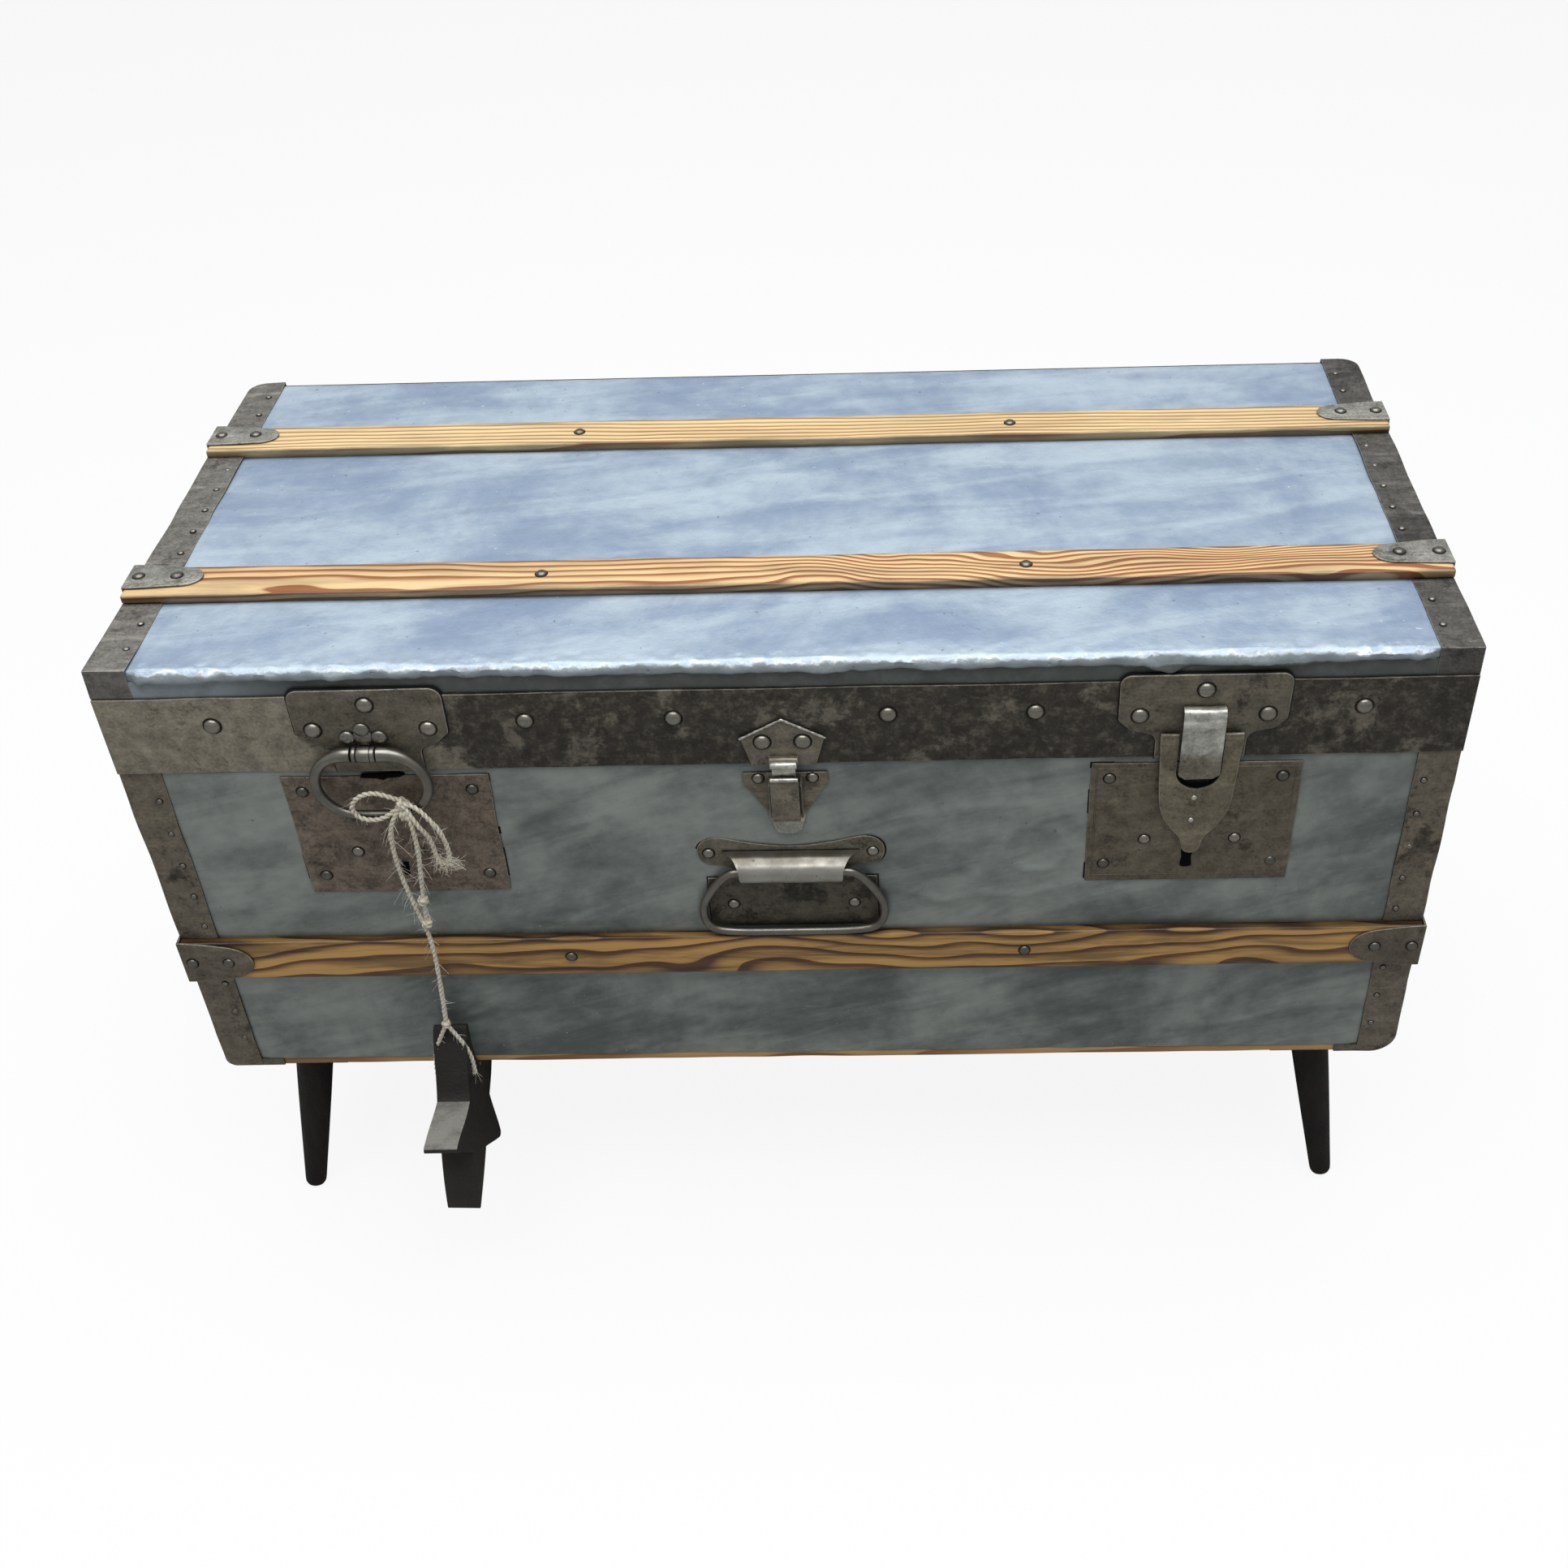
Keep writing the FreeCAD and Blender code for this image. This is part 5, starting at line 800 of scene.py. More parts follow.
# Finishes of the metal and the wood, each by its own piece's colour and wear
steels = {
    "rimBand": dict(clean=(0.335, 0.300, 0.228, 1), dark=(0.038, 0.033, 0.026, 1), patch=27.0, smear=0.25,
                    rustShare=0.3, rust=(0.085, 0.048, 0.035, 1),
                    along=("X", -0.27, -0.19, 0.30, 0.66, (0.205, 0.182, 0.142, 1), 0.05)),
    "edgeBand": dict(clean=(0.205, 0.193, 0.170, 1), dark=(0.040, 0.037, 0.033, 1), patch=22.0,
                     darkShare=0.46, rustShare=0.15, smear=0.9, gloss=0.5,
                     along=("X", 0.0, 0.3, 0.40, 0.52, (0.115, 0.107, 0.095, 1), 0.05)),
    "cornerBand": dict(clean=(0.205, 0.175, 0.130, 1), dark=(0.055, 0.045, 0.034, 1), patch=24.0,
                       darkShare=0.40, rustShare=0.3),
    "plate": dict(clean=(0.175, 0.155, 0.115, 1), dark=(0.060, 0.051, 0.038, 1), patch=34.0, darkShare=0.36,
                  rustShare=0.2, smear=0.5),
    "latch": dict(clean=(0.220, 0.195, 0.150, 1), dark=(0.085, 0.072, 0.055, 1), patch=50.0, darkShare=0.34,
                  rustShare=0.2, smear=0.5, metallic=0.65, gloss=0.5, edge=(0.62, 0.60, 0.54, 1)),
    "latchBase": dict(clean=(0.46, 0.44, 0.38, 1), dark=(0.15, 0.13, 0.10, 1), patch=50.0, rustShare=0.2,
                      smear=0.5, metallic=0.65, gloss=0.5, edge=(0.55, 0.53, 0.47, 1),
                      along=("Z", 0.396, 0.402, 0.3, 0.38, (0.200, 0.176, 0.133, 1), 0.002)),
    "lockPlate": dict(clean=(0.205, 0.165, 0.125, 1), dark=(0.070, 0.052, 0.038, 1), patch=30.0,
                      darkShare=0.38, rustShare=0.34, rust=(0.17, 0.075, 0.050, 1), smear=0.4, mottle=1.4),
    "lockPlateRight": dict(clean=(0.165, 0.140, 0.100, 1), dark=(0.060, 0.049, 0.034, 1), patch=30.0,
                           darkShare=0.38, rustShare=0.2, smear=0.5),
    "clamp": dict(mottle=1.2, clean=(0.27, 0.265, 0.235, 1), dark=(0.09, 0.085, 0.07, 1), patch=40.0,
                  darkShare=0.34, rustShare=0.1, smear=0.6),
    "caseClamp": dict(clean=(0.165, 0.142, 0.105, 1), dark=(0.05, 0.044, 0.035, 1), patch=40.0,
                      darkShare=0.34, rustShare=0.15, smear=0.5),
    "hasp": dict(clean=(0.215, 0.188, 0.130, 1), dark=(0.09, 0.075, 0.050, 1), patch=38.0, darkShare=0.34,
                 rustShare=0.15, smear=0.6),
    "bright": dict(clean=(0.60, 0.585, 0.52, 1), dark=(0.22, 0.20, 0.165, 1), patch=46.0, darkShare=0.36,
                   rustShare=0.1, metallic=0.8, bump=0.0002, gloss=0.62, smear=0.5,
                   edge=(0.8, 0.79, 0.74, 1)),
    # the strap is paler and cleaner towards its top: painted light
    "strap": dict(clean=(0.24, 0.215, 0.165, 1), dark=(0.12, 0.10, 0.075, 1), patch=46.0, rustShare=0.15,
                  metallic=0.7, bump=0.0003, gloss=0.6, smear=0.8, edge=(0.7, 0.69, 0.63, 1),
                  along=("Z", 0.448, 0.463, 0.42, 0.25, (0.50, 0.49, 0.44, 1), 0.004)),
    "nail": dict(clean=(0.24, 0.225, 0.19, 1), dark=(0.10, 0.09, 0.075, 1), patch=120.0, darkShare=0.3,
                 rustShare=0.15, bump=0.0001, gloss=0.6, metallic=0.85, mottle=0.3),
    "rivet": dict(clean=(0.30, 0.28, 0.235, 1), dark=(0.13, 0.12, 0.10, 1), patch=120.0, darkShare=0.3,
                  rustShare=0.1, metallic=0.9, bump=0.0001, gloss=0.75, dim=cornerScrews, mottle=0.3),
    "stud": dict(clean=(0.17, 0.16, 0.135, 1), dark=(0.08, 0.072, 0.06, 1), patch=120.0, darkShare=0.3,
                 rustShare=0.1, metallic=0.9, bump=0.0001, gloss=0.7, mottle=0.3),
    "backing": dict(clean=(0.115, 0.100, 0.075, 1), dark=(0.035, 0.030, 0.024, 1), patch=46.0, darkShare=0.45,
                    rustShare=0.2)}
finishes |= {name: steelMaterial(name + "Steel", **values) for name, values in steels.items()}
# the lid top's pale blue is a painted sheen of the sky, and the dark strip colour is painted shade
finishes["topZinc"] = lidZincMaterial("topZinc", (0.49, 0.58, 0.65, 1), (0.265, 0.345, 0.475, 1),
                                      (0.86, 0.90, 0.91, 1), (0.115, 0.126, 0.112, 1), (0, 0, -0.16), 0.5)
finishes["caseZinc"] = zincMaterial("caseZinc", (0.40, 0.435, 0.40, 1), (0.125, 0.148, 0.138, 1), (0, 0.3, 0),
                                    0.5)
finishes["rearSlat"] = pineMaterial("rearSlatPine", (0.90, 0.68, 0.36, 1), (0.36, 0.17, 0.055, 1),
                                    (0, 0.150, 0.500), (0, 0.003, 0.010), 0.0044, 0.012, 1.0,
                                    ("Y", 0.0979, 0.0185), stain=0.2)
finishes["frontSlat"] = pineMaterial("frontSlatPine", (0.86, 0.61, 0.31, 1), (0.33, 0.110, 0.030, 1),
                                     (0.05, -0.136, 0.512), (0.0, 0.020, 0.040), 0.0046, 0.018, 1.2,
                                     ("Y", -0.1026, 0.0185), (-0.05, 0.20, 0.070, 2.6), stain=0.3)
finishes["caseSlat"] = pineMaterial("caseSlatPine", (0.76, 0.42, 0.115, 1), (0.13, 0.046, 0.013, 1),
                                    (0, -0.165, 0.247), (0, 0.010, 0.02), 0.0072, 0.045, 1.1,
                                    ("Z", 0.273, 0.0185), stain=0.62)
finishes["runner"] = pineMaterial("runnerPine", (0.62, 0.38, 0.15, 1), (0.3, 0.13, 0.04, 1),
                                  (0, -0.15, 0.15), (0, 0.0, 0.02), 0.0042, 0.010, 0.9)
finishes["board"] = pineMaterial("boardPine", (0.56, 0.40, 0.22, 1), (0.33, 0.19, 0.08, 1),
                                 (0, 0.0, -0.3), (0, 0.02, 0.02), 0.006, 0.012, 0.8)
finishes["ring"] = polishedMaterial("ringSteel", (0.23, 0.215, 0.185, 1), (0.29, 0.275, 0.24, 1), 0.45, 0.47,
                                    0.30)
finishes["sleeve"] = polishedMaterial("sleeveSteel", (0.44, 0.42, 0.37, 1), (0.12, 0.105, 0.080, 1), 0.3575,
                                      0.3655, 0.36)
# near-black colour of the sheets under heads and round plates: painted shadow
finishes["contactShadow"] = newMaterial("contactShadow", Base_Color=(0.018, 0.016, 0.013, 1), Roughness=0.9,
                               Specular_IOR_Level=0.1)[0]
# black colour of the sheets in keyholes, the slot and the hasp's window: painted shade
finishes["holeShade"] = newMaterial("holeShade", Base_Color=(0.003, 0.003, 0.003, 1), Roughness=0.9,
                                 Specular_IOR_Level=0.1)[0]
# legs and star: paler where they face up, painted light
finishes["blackWood"] = blackWoodMaterial("blackWood", (0.010, 0.009, 0.008, 1), (0.05, 0.047, 0.042, 1),
                                          0.35)
finishes["starWood"] = blackWoodMaterial("starWood", (0.020, 0.019, 0.017, 1), (0.33, 0.32, 0.285, 1), 0.9)
print("finishes made:", len(finishes))

# Which finish each node of the frame wears
nodeFinish = {
    "board": ["back_board", "floor_board", "front_board", "left_end_board", "right_end_board", "lid_back_rim",
              "lid_end_rims", "lid_front_rim", "lid_top_board"],
    "topZinc": ["lid_zinc"], "caseZinc": ["case_zinc"],
    "rimBand": ["lid_rim_band"], "edgeBand": ["lid_edge_bands"],
    "cornerBand": ["corner_bands", "lower_end_bands"],
    "plate": ["hasp_plate_left", "hasp_plate_right", "case_hinge_leaves", "lid_hinge_leaves", "runner_straps",
              "leg_plates"],
    "latch": ["latch_keeper", "latch_lever"], "latchBase": ["latch_base"],
    "lockPlate": ["lock_plate_left"], "lockPlateRight": ["lock_plate_right"], "clamp": ["lid_slat_clamps"],
    "caseClamp": ["case_slat_clamps"],
    "ring": ["ring_pull", "ring_lug", "handle_bail", "hinge_pins", "latch_pin"],
    "hasp": ["hasp"], "strap": ["hasp_strap"], "bright": ["latch_link"],
    "nail": ["case_band_nails", "lid_band_nails"],
    "rivet": ["case_hardware_rivets", "lid_rim_rivets"], "stud": ["case_slat_studs", "lid_slat_studs"],
    "backing": ["handle_backing", "lock_cases"],
    "sleeve": ["handle_bracket"],
    "rearSlat": ["lid_rear_slat"], "frontSlat": ["lid_front_slat"],
    "caseSlat": ["case_front_slat", "case_back_slat"], "runner": ["front_runner", "back_runner"],
    "blackWood": ["leg_back_left", "leg_back_right", "leg_front_left", "leg_front_right"],
    "starWood": ["star"]}
finishOf = {nodeName: finish for finish, nodeNames in nodeFinish.items() for nodeName in nodeNames}
for nodeName, finish in finishOf.items():
    node = bpy.data.objects[nodeName]
    if not node.material_slots:
        node.data.materials.append(finishes[finish])
    for materialSlot in node.material_slots:
        materialSlot.material = finishes[finish]
print("finishes on the frame's own pieces")

# Softened plates: a merged copy of the frame's piece, cut across every few millimetres, a little wavy as
# hand-beaten sheet is, with its edges rounded over: body, slot, edge width, waver, cut spacing, cut axes
softened = {"star": ("tag", "black_wood", 0.0024, 0.0007, 0.006, "YZ"),
            "lid_rim_band": ("lid", "aged_steel", 0.0005, 0.00045, 0.012, "XY"),
            "lid_edge_bands": ("lid", "aged_steel", 0.0004, 0.0007, 0.010, "YX"),
            "corner_bands": ("root", "aged_steel", 0.0004, 0.0006, 0.010, "Z"),
            "lower_end_bands": ("root", "aged_steel", 0.0004, 0.0005, 0.012, "Y"),
            "hasp_plate_left": ("lid", "aged_steel", 0.0008, 0.0003, 0.012, "XZ"),
            "hasp_plate_right": ("lid", "aged_steel", 0.0008, 0.0003, 0.012, "XZ"),
            "lock_plate_left": ("root", "aged_steel", 0.0005, 0.0006, 0.012, "XZ"),
            "lock_plate_right": ("root", "aged_steel", 0.0005, 0.0005, 0.012, "XZ"),
            "latch_base": ("root", "hardware_steel", 0.0010, 0.0, 0, ""),
            "latch_keeper": ("lid", "hardware_steel", 0.0015, 0.0, 0, ""),
            "latch_link": ("latch_link", "bright_steel", 0.0004, 0.0, 0, ""),
            "latch_lever": ("latch_lever", "hardware_steel", 0.0006, 0.0, 0, ""),
            "handle_backing": ("root", "aged_steel", 0.0006, 0.0003, 0.012, "XZ"),
            "case_slat_clamps": ("root", "aged_steel", 0.0005, 0.0003, 0.010, "X"),
            "lid_slat_clamps": ("lid", "aged_steel", 0.0005, 0.0003, 0.010, "X")}


def cutAcross(shop, axis, spacing):
    # planes across one axis, a spacing apart, cut every face that they meet
    index = "XYZ".index(axis)
    places = np.array([vertex.co[index] for vertex in shop.verts])
    normal = [0.0, 0.0, 0.0]
    normal[index] = 1.0
    for place in np.arange(places.min() + spacing / 2, places.max(), spacing):
        spot = [0.0, 0.0, 0.0]
        spot[index] = place
        geometry = shop.verts[:] + shop.edges[:] + shop.faces[:]
        bmesh.ops.bisect_plane(shop, geom=geometry, dist=1e-6, plane_co=spot, plane_no=normal)


def waverPoints(points, amount, seed):
    # each point moves by three slow lattice noises, the same through the sheet's thickness
    x, y, z = points.T / 0.034
    moved = np.stack([latticeNoise(x * 0.3 + y + z, x * 0.2 - y * 0.6 + z, seed),
                      latticeNoise(x + y * 0.3, z + y * 0.3 + 9.3, seed + 1),
                      latticeNoise(x + y, y * 0.4 - z * 0.3 + 5.1, seed + 2)], axis=-1)
    return points + moved * amount


def roundEdges(shop, edges, width):
    # the edges rounded over; the attribute worn is 1 along their middle and 0 where the flats begin
    rounded = set(bmesh.ops.bevel(shop, geom=edges, offset=width, segments=2, profile=0.6, affect="EDGES",
                                  clamp_overlap=True)["faces"])
    layer = shop.verts.layers.float.new("worn")
    for vertex in shop.verts:
        vertex[layer] = float(bool(vertex.link_faces) and all(face in rounded for face in vertex.link_faces))


def longerArm(points):
    # the star's top arm reaches 8 mm higher and nearer to the trunk than its fellows, its low arm 4 mm lower
    share = smoothStep(0.168, 0.198, points[:, 2])[:, None]
    low = smoothStep(0.110, 0.064, points[:, 2])[:, None]
    return points + share * np.array([0.0, 0.008, 0.0082]) + low * np.array([0.0, 0.0, -0.0040])


def leaf(points, index, middles):
    # a clamp narrows about its slat's middle line by a smooth step from the trunk's end to its tip
    middle = np.array(middles)[np.abs(points[:, index, None] - middles).argmin(axis=1)]
    factor = 1.08 - 0.26 * smoothStep(0.448, 0.404, np.abs(points[:, 0]))
    moved = points.copy()
    moved[:, index] = middle + (points[:, index] - middle) * factor
    return moved


reshaped = {"star": longerArm, "lid_slat_clamps": lambda points: leaf(points, 1, (-0.1026, 0.0979)),
            "case_slat_clamps": lambda points: leaf(points, 2, (0.273,))}


def softenNode(nodeName, body, slot, width, waver, spacing, axes):
    # the node's mesh merged, its edges sharper than 35 degrees rounded over, then cut across and wavered
    shop = bmesh.new()
    shop.from_mesh(bpy.data.objects[nodeName].data)
    bmesh.ops.remove_doubles(shop, verts=shop.verts, dist=1e-6)
    bmesh.ops.dissolve_limit(shop, angle_limit=math.radians(1.0), verts=shop.verts, edges=shop.edges)
    turned = [edge for edge in shop.edges
              if len(edge.link_faces) == 2 and edge.calc_face_angle(0) > math.radians(35)]
    roundEdges(shop, turned, width)
    for axis in axes:
        cutAcross(shop, axis, spacing)
    bmesh.ops.remove_doubles(shop, verts=shop.verts, dist=1e-7)
    shape = reshaped.get(nodeName, np.asarray)
    move = (lambda points: waverPoints(shape(points), waver, len(nodeName))) if waver else None
    mesh = closeShop(shop, nodeName + "_soft", move)
    smoothMesh(mesh, 50)
    addPiece(nodeName + "_soft", mesh, body, slot, finishOf[nodeName], nodeName)


for nodeName, values in softened.items():
    softenNode(nodeName, *values)
print("plates softened:", len(softened))

# Rivet and nail heads: a steeper dome in the place and size of each head of the frame, on a dark ring of
# painted shadow
heads = {"dome": [(1.0, 0.0), (0.98, 0.2), (0.92, 0.42), (0.8, 0.64), (0.62, 0.82), (0.42, 0.93),
                  (0.22, 0.985), (0.06, 1.0)],
         "contactShadow": [(1.14, 0), (1.13, 0.8), (0.8, 1.0)], "rise": 1.4, "shadowThick": 0.00035, "sides": 20,
         "sets": [("case_hardware_rivets", "root"), ("lid_rim_rivets", "lid"), ("case_slat_studs", "root"),
                  ("lid_slat_studs", "lid"), ("case_band_nails", "root"), ("lid_band_nails", "lid")]}


def headSpots(nodeName):
    # each separate head's foot, way out, radius and height, from the frame's own mesh
    mesh = bpy.data.objects[nodeName].data
    places, index = np.unique(np.round(meshPoints(mesh), 6), axis=0, return_inverse=True)
    edges = np.empty(len(mesh.edges) * 2, int)
    mesh.edges.foreach_get("vertices", edges)
    edges = index.ravel()[edges.reshape(-1, 2)]
    label = np.arange(len(places))
    for _ in range(60):
        least = np.minimum(label[edges[:, 0]], label[edges[:, 1]])
        np.minimum.at(label, edges[:, 0], least)
        np.minimum.at(label, edges[:, 1], least)
    spots = []
    for one in np.unique(label):
        head = places[label == one]
        low, high = head.min(axis=0), head.max(axis=0)
        size, middle = high - low, (low + high) / 2
        axis = int(np.argmin(size))
        radius = size.max() / 2
        away = np.linalg.norm(np.delete(head - middle, axis, axis=1), axis=1)
        foot = head[away > radius * 0.95][:, axis].mean()
        sign = 1.0 if foot - low[axis] < size[axis] / 2 else -1.0
        middle[axis] = low[axis] if sign > 0 else high[axis]
        way = np.zeros(3)
        way[axis] = sign
        spots.append((middle, way, radius, size[axis]))
    return spots


def addHeads(nodeName, body):
    # each head is the dome's profile turned about the way out of the sheet
    domes, rings = [], []
    for middle, way, radius, height in headSpots(nodeName):
        tip = middle + way * height * heads["rise"]
        domes.append(lathe(np.array(heads["dome"]) * [radius, 1.0], middle, tip, heads["sides"]))
        # a dark ring a little wider than the head round its foot: painted shadow
        rings.append(lathe(np.array(heads["contactShadow"]) * [radius, 1.0], middle, middle + way * heads["shadowThick"],
                           heads["sides"]))
    addShape(nodeName + "_domes", joinParts(domes), 60, body, "hardware_steel", finishOf[nodeName], nodeName)
    addShape(nodeName + "_contactShadow", joinParts(rings), 60, body, "hardware_steel", "contactShadow")


for nodeName, body in heads["sets"]:
    addHeads(nodeName, body)
print("heads domed")

# Painted shadow lines round plates: body, margin beyond the plate, thickness
shadowLines = {"lock_plate_left": ("root", 0.0010, 0.0005), "lock_plate_right": ("root", 0.0010, 0.0005),
             "hasp_plate_left": ("lid", 0.0006, 0.0006), "hasp_plate_right": ("lid", 0.0006, 0.0006),
             "latch_keeper": ("lid", 0.0007, 0.0006), "latch_base": ("root", 0.0009, 0.0012),
             "handle_backing": ("root", 0.0008, 0.0009)}


def addShadowLine(nodeName, body, margin, thick):
    # a thin dark copy of a plate, a margin larger all round, at the plate's back: a painted shadow line round
    # it
    shop = bmesh.new()
    shop.from_mesh(bpy.data.objects[nodeName].data)
    bmesh.ops.remove_doubles(shop, verts=shop.verts, dist=1e-6)

    def move(points):
        low, high = points.min(axis=0), points.max(axis=0)
        middle, size = (low + high) / 2, high - low
        grown = middle + (points - middle) * (size + 2 * margin) / size
        back = 0.0003 if abs(high[1]) < abs(low[1]) else 0.0
        grown[:, 1] = high[1] + back - (high[1] - points[:, 1]) / size[1] * (thick + back)
        return grown

    mesh = closeShop(shop, nodeName + "_line", move)
    smoothMesh(mesh, 40)
    addPiece(nodeName + "_line", mesh, body, "aged_steel", "contactShadow")


for nodeName, values in shadowLines.items():
    addShadowLine(nodeName, *values)

# Sheet pieces from an outline: front edges rounded over, cut into small faces and bulged by a formula


def noBulge(x, z):
    return 0 * x


def addSheet(name, outline, front, back, edge, spacing, bulge, body, slot, finish, *replaced):
    # the outline from front to back, its front rim rounded over by edge, its points pushed out by bulge
    shop = bmesh.new()
    near = [shop.verts.new((x, front, z)) for x, z in outline]
    far = [shop.verts.new((x, back, z)) for x, z in outline]
    face = shop.faces.new(near)
    shop.faces.new(far[::-1])
    count = len(outline)
    for index in range(count):
        ahead = (index + 1) % count
        shop.faces.new([near[index], near[ahead], far[ahead], far[index]])
    bmesh.ops.recalc_face_normals(shop, faces=shop.faces)
    roundEdges(shop, list(face.edges), edge)
    for axis in "XZ":
        cutAcross(shop, axis, spacing)
    move = lambda points: points - bulge(points[:, 0], points[:, 2])[:, None] * [0, 1, 0]
    mesh = closeShop(shop, name, move)
    smoothMesh(mesh, 45)
    addPiece(name, mesh, body, slot, finish, *replaced)


def softLine(corners, steps=8, closed=False):
    # quadratic curves from the middle of each side to that of the next, pulled to the corner between
    corners = np.asarray(corners, float)
    if closed:
        corners = np.concatenate([corners[-1:], corners, corners[:1]])
    share = np.linspace(0, 1, steps, endpoint=False)[:, None]
    run = []
    for before, corner, after in zip(corners, corners[1:], corners[2:]):
        start, stop = (before + corner) / 2, (corner + after) / 2
        run.append(start * (1 - share) ** 2 + corner * 2 * share * (1 - share) + stop * share ** 2)
    if not closed:
        run = [corners[:1]] + run + [corners[-1:]]
    return np.concatenate(run)


def mirrored(half):
    # an outline from its right half, listed from the top down
    return [tuple(point) for point in half] + [(-x, z) for x, z in half[::-1] if abs(x) > 1e-6]


def ridgedSheet(profile, thick, halfWidth, columns=41, bulge=None):
    # a bent strip: its (y, z) profile carried along X to halfWidth(z) each way, thick behind its face
    profile = np.asarray(profile, float)
    along = np.gradient(profile, axis=0)
    along /= np.linalg.norm(along, axis=1)[:, None]
    behind = profile + thick * np.stack([-along[:, 1], along[:, 0]], axis=-1)
    share = np.linspace(-1, 1, columns)
    sheets = []
    for side in (profile, behind):
        x = halfWidth(profile[:, 1])[:, None] * share
        y = side[:, :1] + 0 * x - (bulge(x, profile[:, 1:2]) if bulge else 0)
        sheets.append(np.stack([x, y, side[:, 1:2] + 0 * x], axis=-1))
    return closedSheetOf(*sheets)


def closedSheetOf(outer, inner):
    # two grids of the same size joined all round
    rows, columns = outer.shape[:2]
    base = rows * columns
    faces = gridFaces(rows, columns) + [[base + index for index in face[::-1]]
                                        for face in gridFaces(rows, columns)]
    for row in (0, rows - 1):
        a, b = row * columns, base + row * columns
        faces += [[a + index, a + index + 1, b + index + 1, b + index] for index in range(columns - 1)]
    for column in (0, columns - 1):
        a = [row * columns + column for row in range(rows)]
        faces += [[low, high, base + high, base + low] for low, high in zip(a, a[1:])]
    return np.concatenate([outer.reshape(-1, 3), inner.reshape(-1, 3)]), faces


# Handle: a bracket with wide ears, a bright half-round sleeve rolled out of it, and a round-cornered bail
bracket = {"half": [(0, 0.372), (0.012, 0.3725), (0.024, 0.3745), (0.036, 0.3768), (0.045, 0.3795),
                    (0.053, 0.3808), (0.060, 0.3788), (0.0648, 0.3735), (0.066, 0.3665), (0.0640, 0.3590),
                    (0.0585, 0.3550), (0.0510, 0.3545), (0.0450, 0.3555), (0.0405, 0.3515), (0.0375, 0.3470),
                    (0, 0.3468)],
           "sleeve": [(-0.2014, 0.3685), (-0.2019, 0.3655), (-0.2036, 0.3630), (-0.2066, 0.3612),
                      (-0.2096, 0.3596), (-0.2118, 0.3568), (-0.2130, 0.3535), (-0.2127, 0.3500),
                      (-0.2108, 0.3472), (-0.2078, 0.3459), (-0.2050, 0.3462)],
           "bail": [(0, 0.353), (-0.036, 0.353), (-0.046, 0.351), (-0.0575, 0.336), (-0.0655, 0.320),
                    (-0.0630, 0.302), (-0.0500, 0.2955), (0, 0.2955), (0.0500, 0.2955), (0.0630, 0.302),
                    (0.0655, 0.320), (0.0575, 0.336), (0.046, 0.351), (0.036, 0.353), (0, 0.353)],
           "bailRadius": 0.0031, "bailPlane": -0.2065, "front": -0.2015, "back": -0.1999, "edge": 0.0008,
           "shadowFront": -0.2009, "shadowGrowth": 1.016, "sleeveThick": 0.0011, "beaten": 0.0003,
           "sleeveHalf": 0.0350, "flareLow": (0.0014, 0.346, 0.354), "flareHigh": (0.0125, 0.3535, 0.3705)}


def handlePieces():
    # the sleeve's profile is carried across, its ends flared by two smooth steps; the bail is a soft line
    beaten = bracket["beaten"]
    plain = lambda x, z: beaten * latticeNoise(x / 0.02, z / 0.02, 61)
    outline = softLine(mirrored(bracket["half"]), 4, True)
    addSheet("bracketPlate", outline, bracket["front"], bracket["back"], bracket["edge"], 0.010, plain,
             "root", "hardware_steel", "plate", "handle_bracket")
    # a dark copy of the bracket's outline, a little larger, behind it: a painted shadow line round it
    addSheet("bracketShadow", outline * [bracket["shadowGrowth"], 1.0], bracket["shadowFront"], bracket["back"],
             0.0001, 0.05, plain, "root", "aged_steel", "contactShadow")
    (low, *lowRamp), (high, *highRamp) = bracket["flareLow"], bracket["flareHigh"]
    flare = lambda z: (bracket["sleeveHalf"] + low * smoothStep(*lowRamp, z)
                       + high * smoothStep(*highRamp, z) ** 1.6)
    sleeve = ridgedSheet(softLine(bracket["sleeve"], 4), -bracket["sleeveThick"], flare, 61,
                         lambda x, z: beaten * latticeNoise(x / 0.012, z / 0.01, 62))
    addShape("bracketSleeve", sleeve, 50, "root", "bright_steel", "sleeve")
    loop = softLine(bracket["bail"], 10)
    line = np.stack([loop[:, 0], 0 * loop[:, 0] + bracket["bailPlane"], loop[:, 1]], axis=-1)
    keep = np.concatenate([[True], np.linalg.norm(np.diff(line, axis=0), axis=1) > 1e-6])
    wire = carriedTube(line[keep], lambda turn, length: bracket["bailRadius"], 18)[:2]
    addShape("bailWire", wire, 50, "front_handle", "hardware_steel", "ring", "handle_bail")


handlePieces()
print("handle made")

# Hasp and strap on the right
hasp = {"middle": 0.276, "half": [(0.0272, 0.4690), (0.0274, 0.4640), (0.0264, 0.4480), (0.0256, 0.4250),
                                  (0.0242, 0.4080), (0.0205, 0.3960), (0.0135, 0.3860), (0.0084, 0.3805),
                                  (0.0068, 0.3750), (0.0058, 0.3695), (0.0040, 0.3668), (0, 0.3658)],
        "top": 0.469, "windowRadius": 0.0150, "windowMiddle": 0.4380, "front": -0.2076, "back": -0.2060,
        "edge": 0.0007, "bow": 0.0007, "bowReach": 0.028, "beaten": 0.0003,
        "noseMiddle": (0.0, 0.3775), "noseWide": 0.0052, "noseHigh": 0.0020,
        "crescent": 0.0035, "crescentFront": -0.2064, "crescentBack": -0.2056,
        "rivets": [(-0.0012, 0.4157), (-0.0017, 0.3959)], "rivetFoot": -0.2080, "rivetTip": -0.2098,
        "rivetDome": [(0.0021, 0), (0.0021, 0.3), (0.0017, 0.7), (0.0009, 0.95), (0.0002, 1.0)]}
